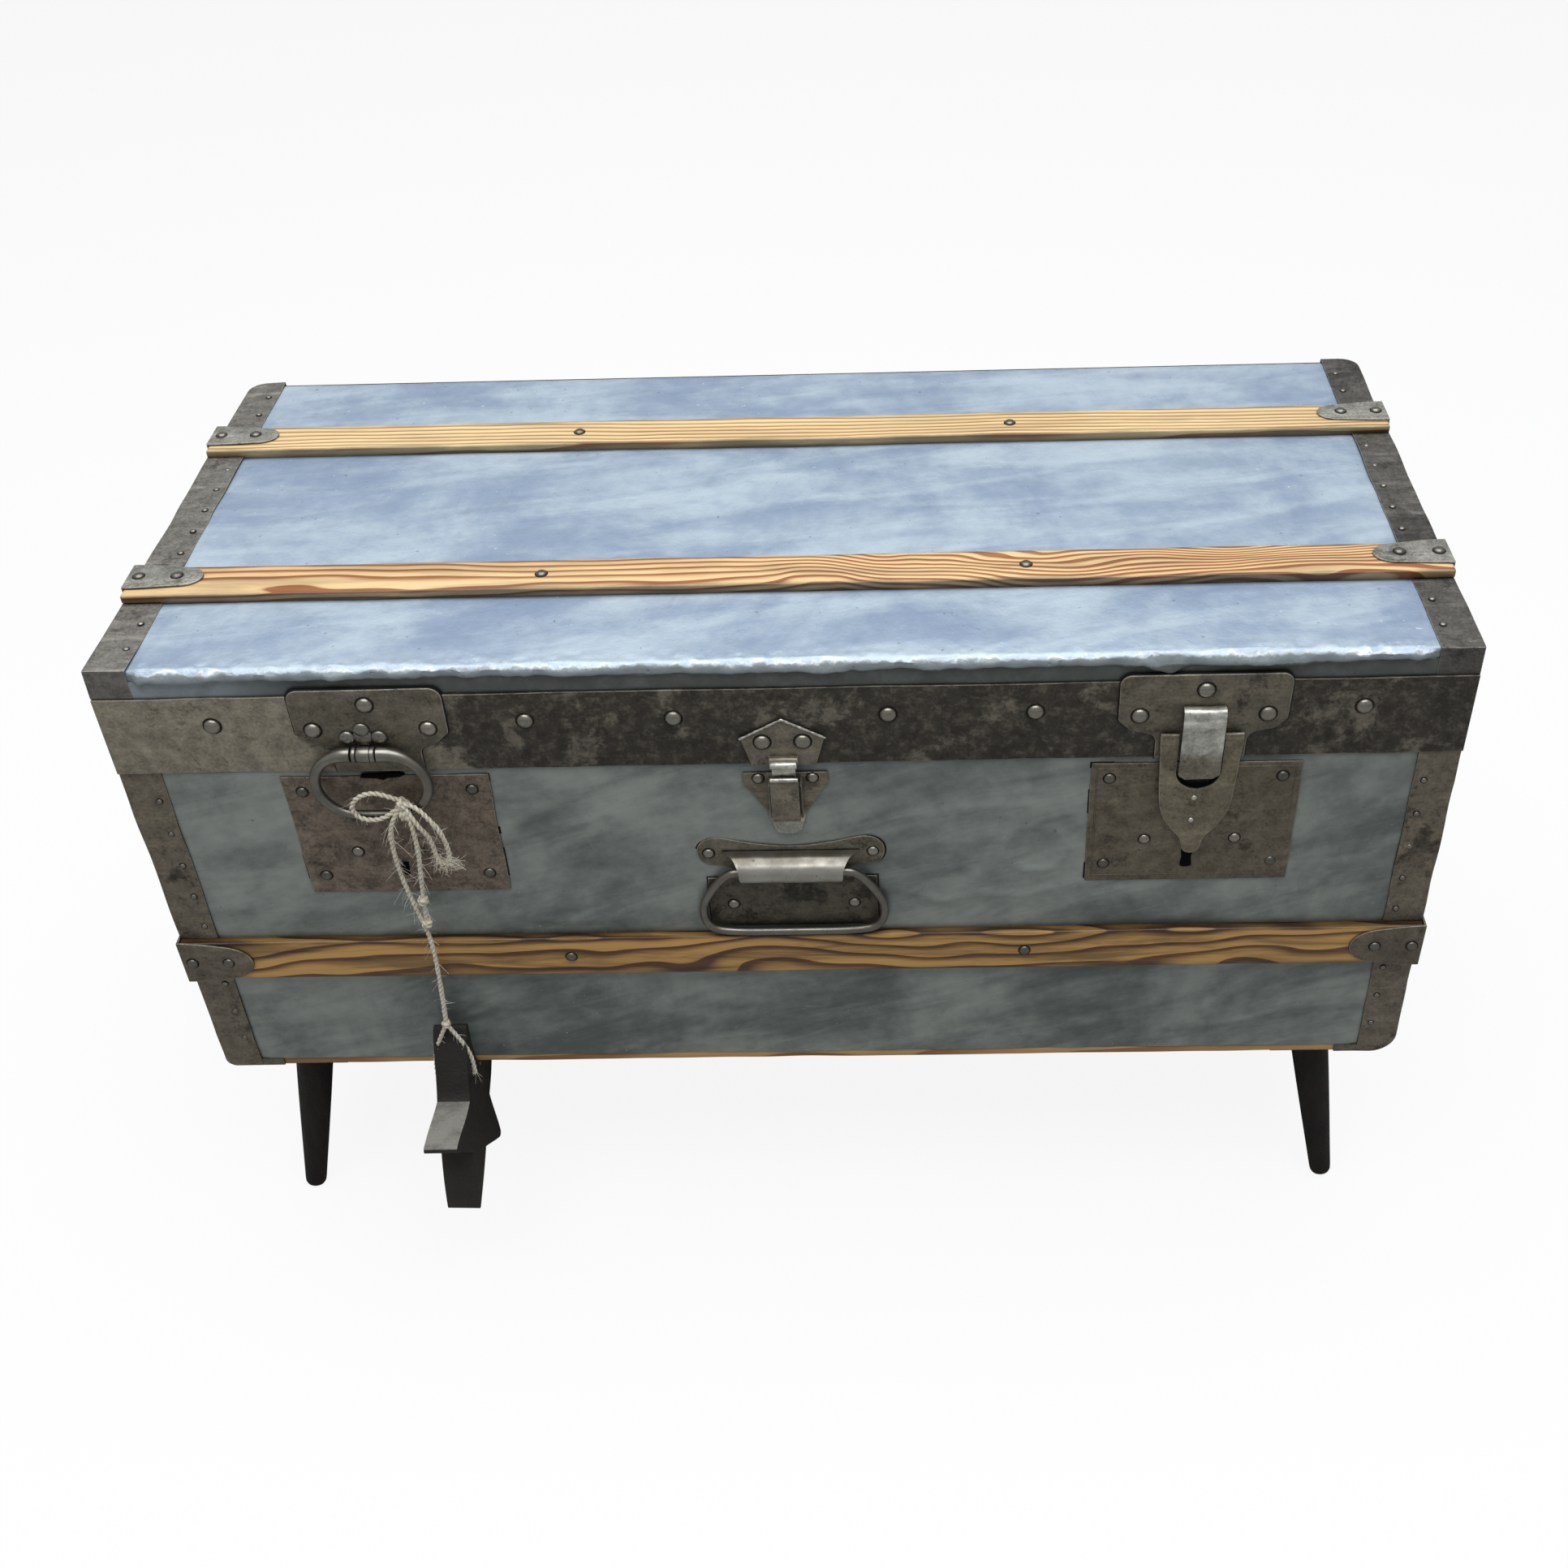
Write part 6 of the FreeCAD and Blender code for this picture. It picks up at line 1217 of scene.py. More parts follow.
strap = {"half": 0.0138, "end": 0.4335, "thick": 0.0012, "bow": 0.0004, "narrow": 0.30, "narrowReach": 0.0045,
         "profile": [(-0.2036, 0.4880), (-0.2064, 0.4888), (-0.2092, 0.4880), (-0.2101, 0.4850),
                     (-0.2103, 0.4740), (-0.2101, 0.4620), (-0.2094, 0.4540), (-0.2095, 0.4450)],
         "tongue": ((-0.2094, 0.443), (-0.2092, 0.4335), 10)}


def haspPieces():
    # the shield is a soft half outline and its mirror image, less a half circle at the top: the window
    middle, radius = hasp["middle"], hasp["windowRadius"]
    outer = softLine(hasp["half"], 4)
    turns = np.linspace(0, -math.pi, 19)
    window = np.stack([radius * np.cos(turns), hasp["windowMiddle"] + radius * np.sin(turns)], axis=-1)
    outline = np.concatenate([outer, (outer[::-1] * [-1, 1])[1:], [(-radius, hasp["top"])], window[::-1],
                              [(radius, hasp["top"])]]) + [middle, 0]

    def bulge(x, z):
        # bowed across, with a round nose raised on its foot
        local = x - middle
        noseX, noseZ = hasp["noseMiddle"]
        away = (local - noseX) ** 2 + ((z - noseZ) * 0.8) ** 2
        return (hasp["bow"] * (1 - (local / hasp["bowReach"]) ** 2)
                + hasp["beaten"] * latticeNoise(x / 0.015, z / 0.02, 63)
                + hasp["noseHigh"] * np.exp(-away / hasp["noseWide"] ** 2))

    addSheet("haspShield", outline, hasp["front"], hasp["back"], hasp["edge"], 0.006, bulge,
             "hasp", "hardware_steel", "hasp", "hasp")
    # a black crescent behind the window's lower rim: painted shadow of the gap there
    turns = np.linspace(0.15, -math.pi - 0.15, 41)
    radius = radius + 0.0006
    away = np.stack([np.cos(turns), np.sin(turns)], axis=-1)
    inner = away * (radius - hasp["crescent"] * np.clip(-np.sin(turns), 0.25, 1)[:, None])
    crescent = np.concatenate([away * radius, inner[::-1]]) + [middle, hasp["windowMiddle"]]
    addSheet("haspWindowShadow", crescent, hasp["crescentFront"], hasp["crescentBack"], 0.0001, 0.03, noBulge,
             "hasp", "hardware_steel", "holeShade")


def strapPiece():
    # a bent strip whose profile ends in a straight tongue, narrowed at its tip by a smooth step
    half, end = strap["half"], strap["end"]
    first, last, steps = strap["tongue"]
    profile = np.concatenate([strap["profile"], np.linspace(first, last, steps)])
    rounded = lambda z: half * (1 - strap["narrow"] * smoothStep(end + strap["narrowReach"], end, z) ** 2)
    bulge = lambda x, z: strap["bow"] * (latticeNoise(x / 0.01, z / 0.012, 64) + (1 - (x / half) ** 2))
    points, faces = ridgedSheet(softLine(profile, 5), -strap["thick"], rounded, 31, bulge)
    points[:, 0] += hasp["middle"]
    addShape("strapBent", (points, faces), 50, "lid", "bright_steel", "strap", "hasp_strap")


def haspRivets():
    middle, foot, tip = hasp["middle"], hasp["rivetFoot"], hasp["rivetTip"]
    domes = [lathe(hasp["rivetDome"], (middle + x, foot, z), (middle + x, tip, z), 16)
             for x, z in hasp["rivets"]]
    addShape("haspRivets", joinParts(domes), 50, "hasp", "hardware_steel", "bright")


haspPieces()
strapPiece()
haspRivets()
print("hasp made")

# Ring pull: a bar that swells towards its collars, and a lug of domed lobes, each (x, z, radius, height)
ringPull = {"middle": -0.277, "plane": -0.2106, "axis": 0.4665, "straight": 0.012, "bow": 0.0258,
            "thin": 0.0030, "side": 0.0039, "swell": 0.0052, "lugFace": -0.2035,
            "thickens": (0.105, 0.03), "swells": (0.034, 0.0085), "collarEnd": 0.0088,
            "eyeEnd": 0.0048, "eyeRadius": 0.0031, "collar": 0.0054,
            "groove": 0.0018, "grooveAt": 0.0084, "grooveWide": 0.0006,
            "lobes": [(0, 0.4822, 0.0054, 0.0030), (-0.0106, 0.4757, 0.0054, 0.0030),
                      (0.0106, 0.4757, 0.0054, 0.0030), (0, 0.4758, 0.0070, 0.0024),
                      (0, 0.4695, 0.0048, 0.0024)],
            "dome": [(1.0, 0), (1.0, 0.35), (0.93, 0.62), (0.75, 0.85), (0.45, 0.97), (0.05, 1.0)],
            "eye": [(0.0034, 0), (0.0050, 0.02), (0.0054, 0.12), (0.0054, 0.88), (0.0050, 0.98),
                    (0.0034, 1.0)],
            "eyeHalf": 0.0045}


def ringPieces():
    # the bar's line is two half circles and two straights, which starts and ends in the middle of the eye
    axis, bow, straight = ringPull["axis"], ringPull["bow"], ringPull["straight"]
    turns = np.linspace(math.pi / 2, -math.pi / 2, 40)
    right = np.stack([straight + bow * np.cos(turns), axis - bow + bow * np.sin(turns)], axis=-1)
    upper = np.stack([np.linspace(0, straight, 24, endpoint=False), np.full(24, axis)], axis=-1)
    lower = np.stack([np.linspace(straight, -straight, 14)[1:-1], np.full(12, axis - 2 * bow)], axis=-1)
    half = np.concatenate([upper, right])
    path = np.concatenate([half, lower, half[::-1] * [-1, 1]])
    line = np.stack([ringPull["middle"] + path[:, 0], np.full(len(path), ringPull["plane"]), path[:, 1]],
                    axis=-1)
    total = np.linalg.norm(np.diff(line, axis=0), axis=1).sum()

    def reach(turn, length):
        # thin at the bottom, thicker at the sides, and swelling to a collar on each side of the eye
        away = np.minimum(length, total - length)
        thin, side, swell = ringPull["thin"], ringPull["side"], ringPull["swell"]
        body = thin + (side - thin) * smoothStep(*ringPull["thickens"], away)
        body = body + (swell - side) * smoothStep(*ringPull["swells"], away)
        groove = np.exp(-((away - ringPull["grooveAt"]) / ringPull["grooveWide"]) ** 2)
        collar = ringPull["collar"] - ringPull["groove"] * groove
        return np.where(away < ringPull["eyeEnd"], ringPull["eyeRadius"],
                        np.where(away < ringPull["collarEnd"], collar, body))

    addShape("ringBar", carriedTube(line, reach, 20)[:2], 50, "ring", "hardware_steel", "ring", "ring_pull")
    middle, face, plane, half = (ringPull[key] for key in ("middle", "lugFace", "plane", "eyeHalf"))
    parts = [lathe(np.array(ringPull["dome"]) * [radius, 1.0], (middle + across, face, z),
                   (middle + across, face - high, z)) for across, z, radius, high in ringPull["lobes"]]
    parts.append(lathe(ringPull["eye"], (middle - half, plane, axis), (middle + half, plane, axis)))
    addShape("trefoil", joinParts(parts), 50, "lid", "hardware_steel", "ring", "ring_lug")


ringPieces()

# Latch: a bright rolled edge on the keeper, and a bright roll on the link and on the lever
latchTrim = {"keeper": [(-0.0285, 0.4685), (0, 0.4842), (0.0285, 0.4685)], "edgeRadius": 0.00085,
             "face": -0.2040, "rolls": [("linkRoll", "latch_link", 0.4512, -0.2107, 0.0026, 0.0180),
                                        ("leverRoll", "latch_lever", 0.4412, -0.2139, 0.0015, 0.0188)]}
corners = np.array([(x, latchTrim["face"], z) for x, z in latchTrim["keeper"]])
edgeLine = np.concatenate([np.linspace(a, b, 24, endpoint=False) for a, b in zip(corners, corners[1:])]
                          + [corners[-1:]])
rolled = lambda turn, length: (latchTrim["edgeRadius"]
                               * (1 + 0.3 * np.sin(length * 900) * np.sin(length * 370)))
addShape("keeperEdge", carriedTube(edgeLine, rolled)[:2], 60, "lid", "bright_steel", "bright")
for name, body, z, y, radius, wide in latchTrim["rolls"]:
    profile = [(radius * 0.8, 0), (radius, 0.03), (radius * 1.02, 0.5), (radius, 0.97), (radius * 0.8, 1.0)]
    addShape(name, lathe(profile, (-wide / 2, y, z), (wide / 2, y, z), 24), 50, body, "bright_steel",
             "bright")

# Corner wraps: the quarter turn of each back corner band, between its two wings
wrap = {"middle": (0.4417, 0.1966), "outer": 0.0083, "inner": 0.0071, "low": 0.1543, "high": 0.4460,
        "overlap": 0.04, "columns": 13, "rows": 30}
turns = np.linspace(-wrap["overlap"], math.pi / 2 + wrap["overlap"], wrap["columns"])
levels = np.linspace(wrap["low"], wrap["high"], wrap["rows"])
for name, sign in (("cornerWrapLeft", -1), ("cornerWrapRight", 1)):
    sheets = []
    for radius in (wrap["outer"], wrap["inner"]):
        x = sign * (wrap["middle"][0] + radius * np.cos(turns))
        y = wrap["middle"][1] + radius * np.sin(turns)
        sheets.append(np.stack([np.stack([x, y, 0 * x + z], axis=-1) for z in levels]))
    addShape(name, closedSheetOf(*sheets), 40, "root", "aged_steel", "cornerBand")

# The right lock plate's raised border: a thin bead round it near its edge, half sunk in the plate
bead = {"corners": [(0.2100, 0.3405), (0.2095, 0.4362), (0.3425, 0.4362), (0.3420, 0.3405), (0.2100, 0.3405)],
        "plane": -0.2014, "radius": 0.0005}
border = np.array(bead["corners"])
flat = np.concatenate([np.linspace(a, b, 30, endpoint=False) for a, b in zip(border, border[1:])]
                      + [border[-1:]])
beadLine = np.stack([flat[:, 0], np.full(len(flat), bead["plane"]), flat[:, 1]], axis=-1)
addShape("lockPlateBead", carriedTube(beadLine, lambda turn, length: bead["radius"], 8)[:2], 60,
         "root", "aged_steel", "lockPlateRight")

# Painted shade in holes: black sheets for the keyholes, as (x, z, half width) down their middle, and for the
# slot above the left lock plate
holeShades = {"front": -0.2024, "back": -0.2003,
           "keyholes": {"keyholeLeft": [(-0.2713, 0.3620, 0.0030), (-0.2713, 0.3560, 0.0018),
                                        (-0.2713, 0.3515, 0.0022)],
                        "keyholeRight": [(0.2752, 0.3655, 0.0038), (0.2752, 0.3615, 0.0040),
                                         (0.2752, 0.3565, 0.0030), (0.2752, 0.3520, 0.0040),
                                         (0.2752, 0.3480, 0.0038)]},
           "slot": [(-0.2855, 0.4425), (-0.2600, 0.4440), (-0.2565, 0.4420), (-0.2600, 0.4402),
                    (-0.2680, 0.4396), (-0.2715, 0.4378), (-0.2750, 0.4392), (-0.2870, 0.4400)]}


def addHoleShade(name, outline):
    # a black sheet set in the hole: painted shade
    addSheet(name, outline, holeShades["front"], holeShades["back"], 0.0001, 0.02, noBulge, "root",
             "hardware_steel", "holeShade")


for name, spots in holeShades["keyholes"].items():
    outline = [(x + wide, z) for x, z, wide in spots] + [(x - wide, z) for x, z, wide in spots[::-1]]
    addHoleShade(name, softLine(outline, 4, True))
addHoleShade("slotLeft", holeShades["slot"])
print("ring, lug and keyholes made")

# Zinc skins: thin closed sheets whose outer side is dented and whose inner side is plain


def closedSheet(outer, innerRows):
    # outer is a grid of points, innerRows a shorter one with as many columns behind it; rims join the two
    rows, columns = outer.shape[:2]
    plain = innerRows.shape[0]
    points = np.concatenate([outer.reshape(-1, 3), innerRows.reshape(-1, 3)])
    base = rows * columns
    faces = gridFaces(rows, columns)
    faces += [[base + index for index in face[::-1]] for face in gridFaces(plain, columns)]
    for outerRow, innerRow in ((0, 0), (rows - 1, plain - 1)):
        a, b = outerRow * columns, base + innerRow * columns
        faces += [[a + index, a + index + 1, b + index + 1, b + index] for index in range(columns - 1)]
    for column in (0, columns - 1):
        faces.append([row * columns + column for row in range(rows)]
                     + [base + row * columns + column for row in range(plain - 1, -1, -1)])
    return points, faces


lidSkin = {"front": -0.1999, "back": 0.2037, "top": 0.5288, "foot": 0.4465, "reach": 0.4486, "thick": 0.0008,
           "columns": 720, "wave": 0.00045, "hammer": 0.0014, "lipDrop": 0.0070, "lipOut": 0.0030,
           "backBend": 0.0045, "curl": 0.0036, "lipEnds": (0.414, 0.421), "backRadius": 0.0105,
           "backStart": 0.018, "bandTop": 0.506, "skirt": (0.5095, 0.519, 6), "rowStep": 0.0042,
           "hammered": 0.022, "sunkMost": 0.0005,
           "dips": [(0.2505, 0.011, 0.0062), (-0.085, 0.012, 0.0022), (-0.2, 0.007, 0.0018),
                    (0.33, 0.02, 0.0016), (-0.31, 0.006, 0.0016), (0.10, 0.009, 0.0014)]}


def lidSkinShape(skin):
    # a profile from the front foot over the top to the back foot, carried along X; near the front edge
    # lattice noises of three sizes hammer it and move its lip in, out, up and down
    x = np.linspace(-skin["reach"], skin["reach"], skin["columns"])
    lipWander = (0.5 * latticeNoise(x / 0.045, x * 0 + 0.5, 11)
                 + 0.35 * latticeNoise(x / 0.014, x * 0 + 0.5, 12)
                 + 0.25 * latticeNoise(x / 0.006, x * 0 + 0.5, 13))
    curl = np.clip(latticeNoise(x / 0.022, x * 0 + 0.5, 14) + 0.5 * latticeNoise(x / 0.008, x * 0 + 0.5, 15),
                   -1, 1)
    dip = sum(deep * np.exp(-((x - middle) / wide) ** 2) for middle, wide, deep in skin["dips"])
    top, front, back = skin["top"], skin["front"], skin["back"]
    sunk = np.minimum(dip * 0.3, skin["sunkMost"])
    within = 1 - smoothStep(*skin["lipEnds"], np.abs(x))
    lipFoot = top - skin["lipDrop"] + 0.0036 * lipWander * within - dip
    out = (skin["lipOut"] + skin["curl"] * 0.5 * curl) * within + 0.0003
    rows = [(front + 0 * x, skin["foot"] + 0 * x), (front + 0 * x, skin["bandTop"] + 0 * x)]
    for height in np.linspace(*skin["skirt"]):
        bulge = 0.0005 + 0.0005 * latticeNoise(x / 0.03, height / 0.02 + 0 * x, 16)
        rows.append((front - bulge, np.minimum(height, lipFoot - 0.0006)))
    rows += [(front - 0.0007 + 0 * x, lipFoot), (front - out * 0.8, lipFoot - 0.0002),
             (front - out * 1.05, lipFoot + 0.0008), (front - out * 1.02 - 0.0002 * curl, lipFoot + 0.0022),
             (front - out * 0.82 + 0.0003 * lipWander, lipFoot + 0.0042 - 0.0003 * curl),
             (front - out * 0.45, top - 0.0016 - 0.0004 * lipWander - dip * 0.7),
             (front + 0.0003 + 0 * x, top - 0.0002 + 0.0009 * np.maximum(curl, -0.4) * within - sunk),
             (front + 0.0022 + 0 * x, top + 0.0002 + 0.0012 * np.maximum(curl + 0.4, 0) * within
              - sunk * 0.7)]
    bend, step, hammered = skin["backBend"], skin["rowStep"], skin["hammered"]
    places = np.concatenate([np.linspace(front + step, front + hammered, 9),
                             np.arange(front + 0.026, back - bend, step)])
    for place in places:
        near = 1 - smoothStep(0.0, hammered, place - front)
        wave = (0.6 * latticeNoise(x / 0.11, place / 0.08 + 0 * x, 17)
                + 0.4 * latticeNoise(x / 0.035, place / 0.03 + 0 * x, 18))
        knocks = (0.6 * latticeNoise(x / 0.012, place / 0.008 + 0 * x, 19)
                  + 0.5 * latticeNoise(x / 0.005, place / 0.005 + 0 * x, 20))
        rows.append((place + 0 * x, top + (skin["wave"] * (0.6 + wave)
                                           + skin["hammer"] * near * np.maximum(knocks, -0.35)) * within
                     - sunk * near))
    for turn in np.linspace(0.2, 1.0, 5) * math.pi / 2:
        rows.append((back - bend * (1 - math.sin(turn)) + 0 * x, top - bend * (1 - math.cos(turn)) + 0 * x))
    rows += [(back + 0 * x, skin["bandTop"] + 0 * x), (back + 0 * x, skin["foot"] + 0 * x)]
    outer = np.stack([np.stack([x, y + 0 * x, z + 0 * x], axis=-1) for y, z in rows])
    thick = skin["thick"]
    inner = [(front + thick, skin["foot"]), (front + thick, top - thick), (back - thick, top - thick),
             (back - thick, skin["foot"])]
    innerRows = np.stack([np.stack([x, y + 0 * x, z + 0 * x], axis=-1) for y, z in inner])
    for grid in (outer, innerRows):
        # the back corners are round in plan: past start, x shrinks so that the end follows a quarter circle
        radius, start = skin["backRadius"], skin["reach"] - skin["backStart"]
        past = np.clip(grid[..., 1] - (back - radius), 0, radius)
        limit = skin["reach"] - radius + np.sqrt(radius ** 2 - past ** 2)
        side = np.clip(np.abs(grid[..., 0]) - start, 0, None)
        grid[..., 0] -= np.sign(grid[..., 0]) * side * (skin["reach"] - limit) / (skin["reach"] - start)
    return closedSheet(outer, innerRows)


addShape("lidSkin", lidSkinShape(lidSkin), 50, "lid", "zinc", "topZinc", "lid_zinc")

caseSkin = {"front": -0.1999, "back": 0.2037, "side": 0.4488, "low": 0.1612, "high": 0.4454, "thick": 0.0008,
            "wave": 0.00055, "frontReach": 0.434, "sideStart": -0.186, "sideWidth": 0.375, "sideLow": 0.182,
            "frontStep": 0.0026, "backStep": 0.008, "sideStep": 0.007,
            "ring": (0.170, 0.3652, 0.0215, 0.0034, 0.0011), "creaseHigh": 0.0011, "creaseWide": 0.0032,
            "hollowDeep": 0.0003, "hollowWide": 0.009,
            "creases": [((0.100, 0.3155), (0.128, 0.3235), (0.163, 0.3222), (0.207, 0.3345)),
                        ((0.060, 0.3290), (0.085, 0.3262), (0.104, 0.3170), (0.122, 0.3180)),
                        ((-0.205, 0.3120), (-0.190, 0.3060), (-0.160, 0.3030), (-0.120, 0.3050)),
                        ((0.330, 0.3150), (0.366, 0.3250), (0.388, 0.3480), (0.396, 0.3800))]}


def awayFromLine(x, z, corners):
    # distance from each point to a broken line, and how far along that line its nearest place is, from 0 to 1
    best, share = np.full(x.shape, 1e9), np.zeros(x.shape)
    for index, ((ax, az), (bx, bz)) in enumerate(zip(corners, corners[1:])):
        run = (bx - ax) ** 2 + (bz - az) ** 2
        along = np.clip(((x - ax) * (bx - ax) + (z - az) * (bz - az)) / run, 0, 1)
        away = np.hypot(x - ax - along * (bx - ax), z - az - along * (bz - az))
        share = np.where(away < best, (index + along) / (len(corners) - 1), share)
        best = np.minimum(best, away)
    return best, share


def frontLift(x, z, skin):
    # slow waves, a round pushed ring with a sunken middle, and soft creases that fade at their ends
    lift = skin["wave"] * (0.9 + 0.6 * latticeNoise(x / 0.09, z / 0.06, 31)
                           + 0.4 * latticeNoise(x / 0.03, z / 0.024, 32)
                           + 0.25 * latticeNoise(x / 0.011, z / 0.010, 33))
    middleX, middleZ, radius, wide, high = skin["ring"]
    away = np.hypot((x - middleX), (z - middleZ) * 1.08)
    lift = lift + high * np.exp(-((away - radius) / wide) ** 2) - skin["hollowDeep"] * (away < radius)
    for corners in skin["creases"]:
        away, share = awayFromLine(x, z, corners)
        fade = np.sin(math.pi * np.clip(share, 0.02, 0.98)) ** 0.5
        lift = lift + skin["creaseHigh"] * fade * np.exp(-(away / skin["creaseWide"]) ** 2)
        lift = lift - skin["hollowDeep"] * fade * np.exp(-(away / skin["hollowWide"]) ** 2)
    return np.maximum(lift, -0.0005) * (1 - smoothStep(0.412, 0.421, np.abs(x)))


def plainLift(x, z, skin):
    return skin["wave"] * (0.9 + 0.6 * latticeNoise(x / 0.09, z / 0.06, 41)
                           + 0.4 * latticeNoise(x / 0.03, z / 0.024, 42))


def skinPanel(skin, corner, across, outward, width, low, step, lift):
    # a flat panel that stands on the line from corner along across, its outer grid lifted along outward
    u = np.linspace(0, width, int(width / step) + 1)
    v = np.linspace(low, skin["high"], int((skin["high"] - low) / step) + 1)
    uGrid, vGrid = np.meshgrid(u, v)
    across, outward, corner = (np.asarray(value, float) for value in (across, outward, corner))
    place = corner[:2] + uGrid[..., None] * across
    sideways = place @ np.abs(across)
    lifted = lift(sideways, vGrid, skin)
    outer = np.concatenate([place + lifted[..., None] * outward, vGrid[..., None]], axis=-1)
    inner = np.concatenate([place - skin["thick"] * outward, vGrid[..., None]], axis=-1)[[0, -1]]
    return closedSheet(outer, inner)


def caseSkinShape(skin):
    # front, back, left end and right end panels
    reach, side, start, low = skin["frontReach"], skin["side"], skin["sideStart"], skin["low"]
    ends = [skinPanel(skin, (sign * side, start), (0, 1), (sign, 0), skin["sideWidth"], skin["sideLow"],
                      skin["sideStep"], plainLift) for sign in (-1, 1)]
    return joinParts([skinPanel(skin, (-reach, skin["front"]), (1, 0), (0, -1), 2 * reach, low,
                                skin["frontStep"], frontLift),
                      skinPanel(skin, (-reach, skin["back"]), (1, 0), (0, 1), 2 * reach, low,
                                skin["backStep"], plainLift)] + ends)


addShape("caseSkin", caseSkinShape(caseSkin), 50, "root", "zinc", "caseZinc", "case_zinc")
print("zinc skins made")

# Slats: a worn rectangle carried along X, notched over the steel bands at its ends
slatSize = {"width": 0.036, "high": 0.007, "bandEdge": 0.4225, "endRounding": 0.0006}
# body, middle in Y and Z, turn in degrees, reach, notch, finish, seed
slats = {"lid_front_slat": ("lid", (-0.1026, 0.5288), 0, 0.45, 0.0014, "frontSlat", 51),
         "lid_rear_slat": ("lid", (0.0979, 0.5288), 0, 0.45, 0.0014, "rearSlat", 52),
         "case_front_slat": ("root", (-0.1999, 0.273), 90, 0.45, 0.0014, "caseSlat", 53),
         "case_back_slat": ("root", (0.2037, 0.273), -90, 0.45, 0.0014, "caseSlat", 54),
         "front_runner": ("root", (-0.1819, 0.161), 180, 0.422, 0.0, "runner", 55),
         "back_runner": ("root", (0.1857, 0.161), 180, 0.422, 0.0, "runner", 56)}


def slatShape(middle, turn, reach, notch, seed):
    # corners rounded by a radius that wanders along the slat; the underside steps up by notch at the band
    x = np.concatenate([[-reach, -reach + 0.0008], np.linspace(-0.447, -0.4235, 5), [-0.4215],
                        np.arange(-0.415, 0.416, 0.006), [0.4215], np.linspace(0.4235, 0.447, 5),
                        [reach - 0.0008, reach]])
    x = np.unique(np.clip(x, -reach, reach))
    drift = lambda pitch, row: latticeNoise(x / pitch, 0 * x + row, seed)
    wear = 0.0013 + 0.0006 * drift(0.03, 0.5)
    half, high = slatSize["width"] / 2, slatSize["high"]
    under = np.where(np.abs(x) > slatSize["bandEdge"], notch, 0.0)
    left = -half + 0.0004 * drift(0.05, 1.5)
    right = half + 0.0004 * drift(0.05, 2.5)
    crown = high + 0.0002 * drift(0.04, 3.5)
    turns = np.linspace(0, math.pi / 2, 5)
    ring = [(left + 0.0003, under), (left, under + 0.0004)]
    ring += [(left + wear * (1 - math.cos(angle)), crown - wear * (1 - math.sin(angle))) for angle in turns]
    ring += [(left + (right - left) * share, crown + 0.0001 * drift(0.02, share * 9))
             for share in (0.25, 0.5, 0.75)]
    ring += [(right - wear * (1 - math.cos(angle)), crown - wear * (1 - math.sin(angle)))
             for angle in turns[::-1]]
    ring += [(right, under + 0.0004), (right - 0.0003, under)]
    across = np.stack([u for u, w in ring], axis=-1)
    outward = np.stack([w for u, w in ring], axis=-1)
    edge = np.where(np.abs(x) > reach - 0.0004, slatSize["endRounding"], 0.0)[:, None]
    across = across - np.sign(across) * edge
    outward = np.where(outward > high * 0.5, outward - edge, outward)
    angle = math.radians(turn)
    y = middle[0] + across * math.cos(angle) - outward * math.sin(angle)
    z = middle[1] + across * math.sin(angle) + outward * math.cos(angle)
    points = np.stack([np.broadcast_to(x[:, None], y.shape), y, z], axis=-1)
    rows, columns = y.shape
    faces = gridFaces(rows, columns, True)
    faces += [list(range(columns)), [(rows - 1) * columns + index for index in range(columns)]]
    return points, faces


for nodeName, (body, middle, turn, reach, notch, finish, seed) in slats.items():
    addShape(nodeName + "_worn", slatShape(middle, turn, reach, notch, seed), 40, body, "slat_wood", finish,
             nodeName)
print("slats made")

# Legs: turned tapers with a rounded foot, each along its own splayed line, from (x, y) on the floor to (x, y)
legs = {"leg_front_left": ((-0.417, -0.1931), (-0.393, -0.1611)),
        "leg_front_right": ((0.417, -0.1931), (0.393, -0.1611)),
        "leg_back_left": ((-0.417, 0.1969), (-0.393, 0.1649)),
        "leg_back_right": ((0.417, 0.1969), (0.393, 0.1649))}
legHeight = 0.150
legProfile = [(0.0022, 0.0), (0.0052, 0.004), (0.0072, 0.012), (0.0081, 0.024), (0.0085, 0.045),
              (0.0094, 0.16), (0.0112, 0.38), (0.0129, 0.6), (0.0144, 0.82), (0.0154, 0.985), (0.0152, 0.996),
              (0.0146, 1.0)]
for nodeName, (foot, top) in legs.items():
    points, faces = lathe(legProfile, (*foot, 0.0), (*top, legHeight), 40)
    points[:, 2] = np.clip(points[:, 2], 0.0, legHeight)
    addShape(nodeName + "_turned", (points, faces), 50, "root", "black_wood", "blackWood", nodeName)
print("legs turned")

# Stage: a pale floor that shows white to the camera, a broad lamp above and a dim sky
stageLight = {"floorReach": 6.0, "floorPale": 0.92, "floorBounce": 0.38, "lampWidth": 3.6, "lampHeight": 3.4,
              "lampPower": 143.0, "lampColour": (0.96, 0.98, 1.0), "lampTilt": -8, "sky": 0.18,
              "skyInMetal": 0.42, "skyColour": (0.97, 0.985, 1.0, 1)}


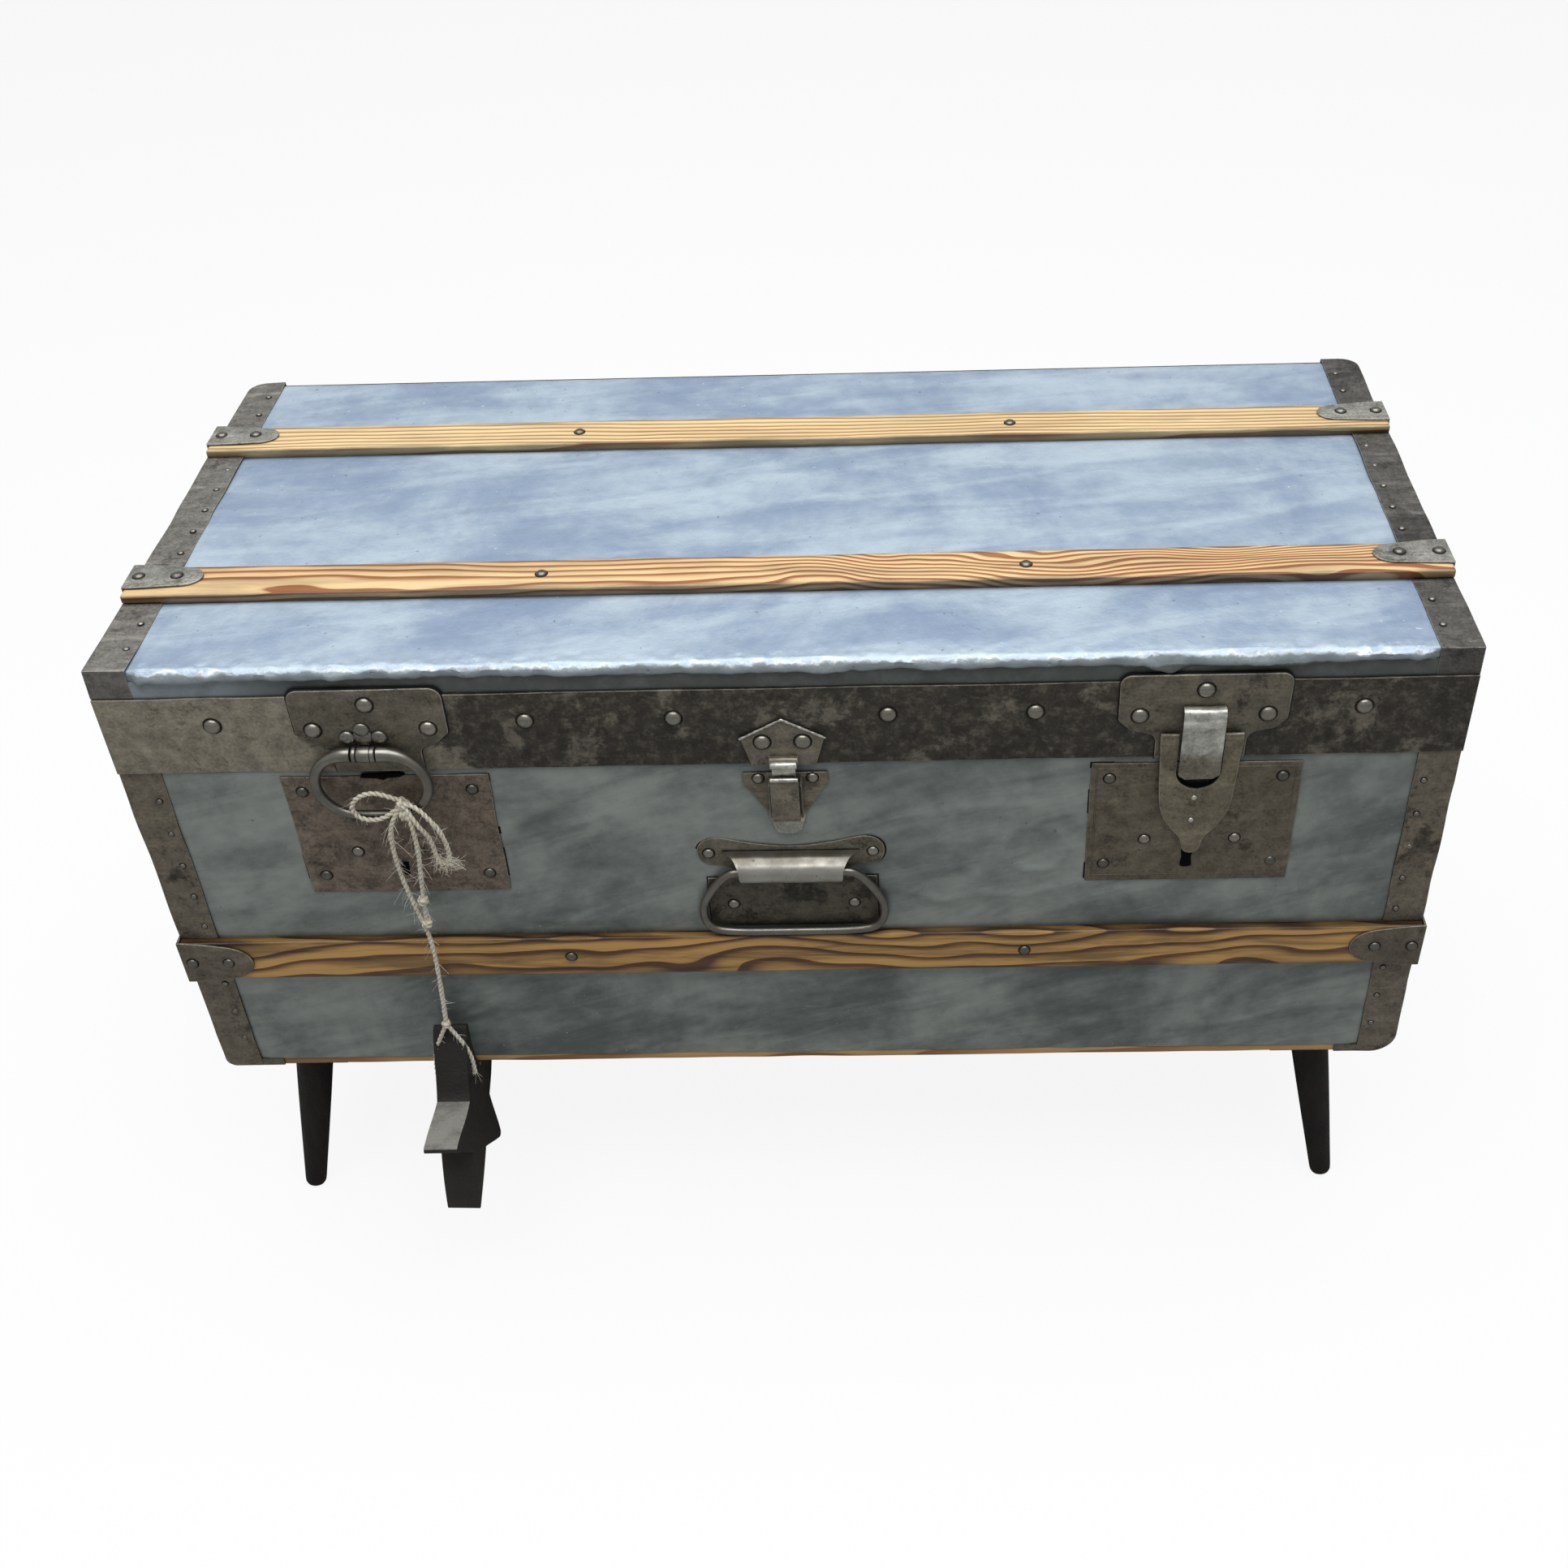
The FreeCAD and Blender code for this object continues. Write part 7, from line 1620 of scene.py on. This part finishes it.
def makeStage(light):
    reach = light["floorReach"]
    mesh = bpy.data.meshes.new("floor")
    mesh.from_pydata([(-reach, -reach, 0), (reach, -reach, 0), (reach, reach, 0), (-reach, reach, 0)], [],
                     [(0, 1, 2, 3)])
    floor = bpy.data.objects.new("floor", mesh)
    bpy.context.collection.objects.link(floor)
    material = bpy.data.materials.new("paleFloor")
    material.use_nodes = True
    net = Net(material.node_tree)
    net.tree.nodes.remove(net.tree.nodes["Principled BSDF"])
    output = net.tree.nodes["Material Output"]
    path = net.add("ShaderNodeLightPath").outputs
    seen = path["Is Camera Ray"]
    tone = net.mix(seen, (light["floorBounce"],) * 3 + (1,), (light["floorPale"],) * 3 + (1,))
    lit = net.add("ShaderNodeBsdfDiffuse", {"Color": tone}).outputs[0]
    glow = net.add("ShaderNodeEmission", {"Color": (1, 1, 1, 1), "Strength": 1.0}).outputs[0]
    blended = net.add("ShaderNodeMixShader", {0: net.times(seen, 0.9), 1: lit, 2: glow}).outputs[0]
    net.tree.links.new(blended, output.inputs["Surface"])
    mesh.materials.append(material)
    lampData = bpy.data.lights.new("softbox", "AREA")
    lampData.shape = "RECTANGLE"
    lampData.size = light["lampWidth"]
    lampData.size_y = light["lampWidth"]
    lampData.energy = light["lampPower"]
    lampData.color = light["lampColour"]
    lamp = bpy.data.objects.new("softbox", lampData)
    lamp.location = (0, -0.5, light["lampHeight"])
    lamp.rotation_euler = (math.radians(light["lampTilt"]), 0, 0)
    bpy.context.collection.objects.link(lamp)
    world = bpy.data.worlds.new("paleSky")
    bpy.context.scene.world = world
    world.use_nodes = True
    sky = Net(world.node_tree)
    ray = sky.add("ShaderNodeLightPath").outputs
    strength = sky.step(ray["Is Glossy Ray"], 0.0, 1.0, light["sky"], light["skyInMetal"])
    strength = sky.calc("MAXIMUM", strength, ray["Is Camera Ray"])
    background = world.node_tree.nodes["Background"]
    background.inputs["Color"].default_value = light["skyColour"]
    world.node_tree.links.new(strength, background.inputs["Strength"])


makeStage(stageLight)
bpy.context.scene.view_settings.view_transform = "Standard"
print("stage and light set")
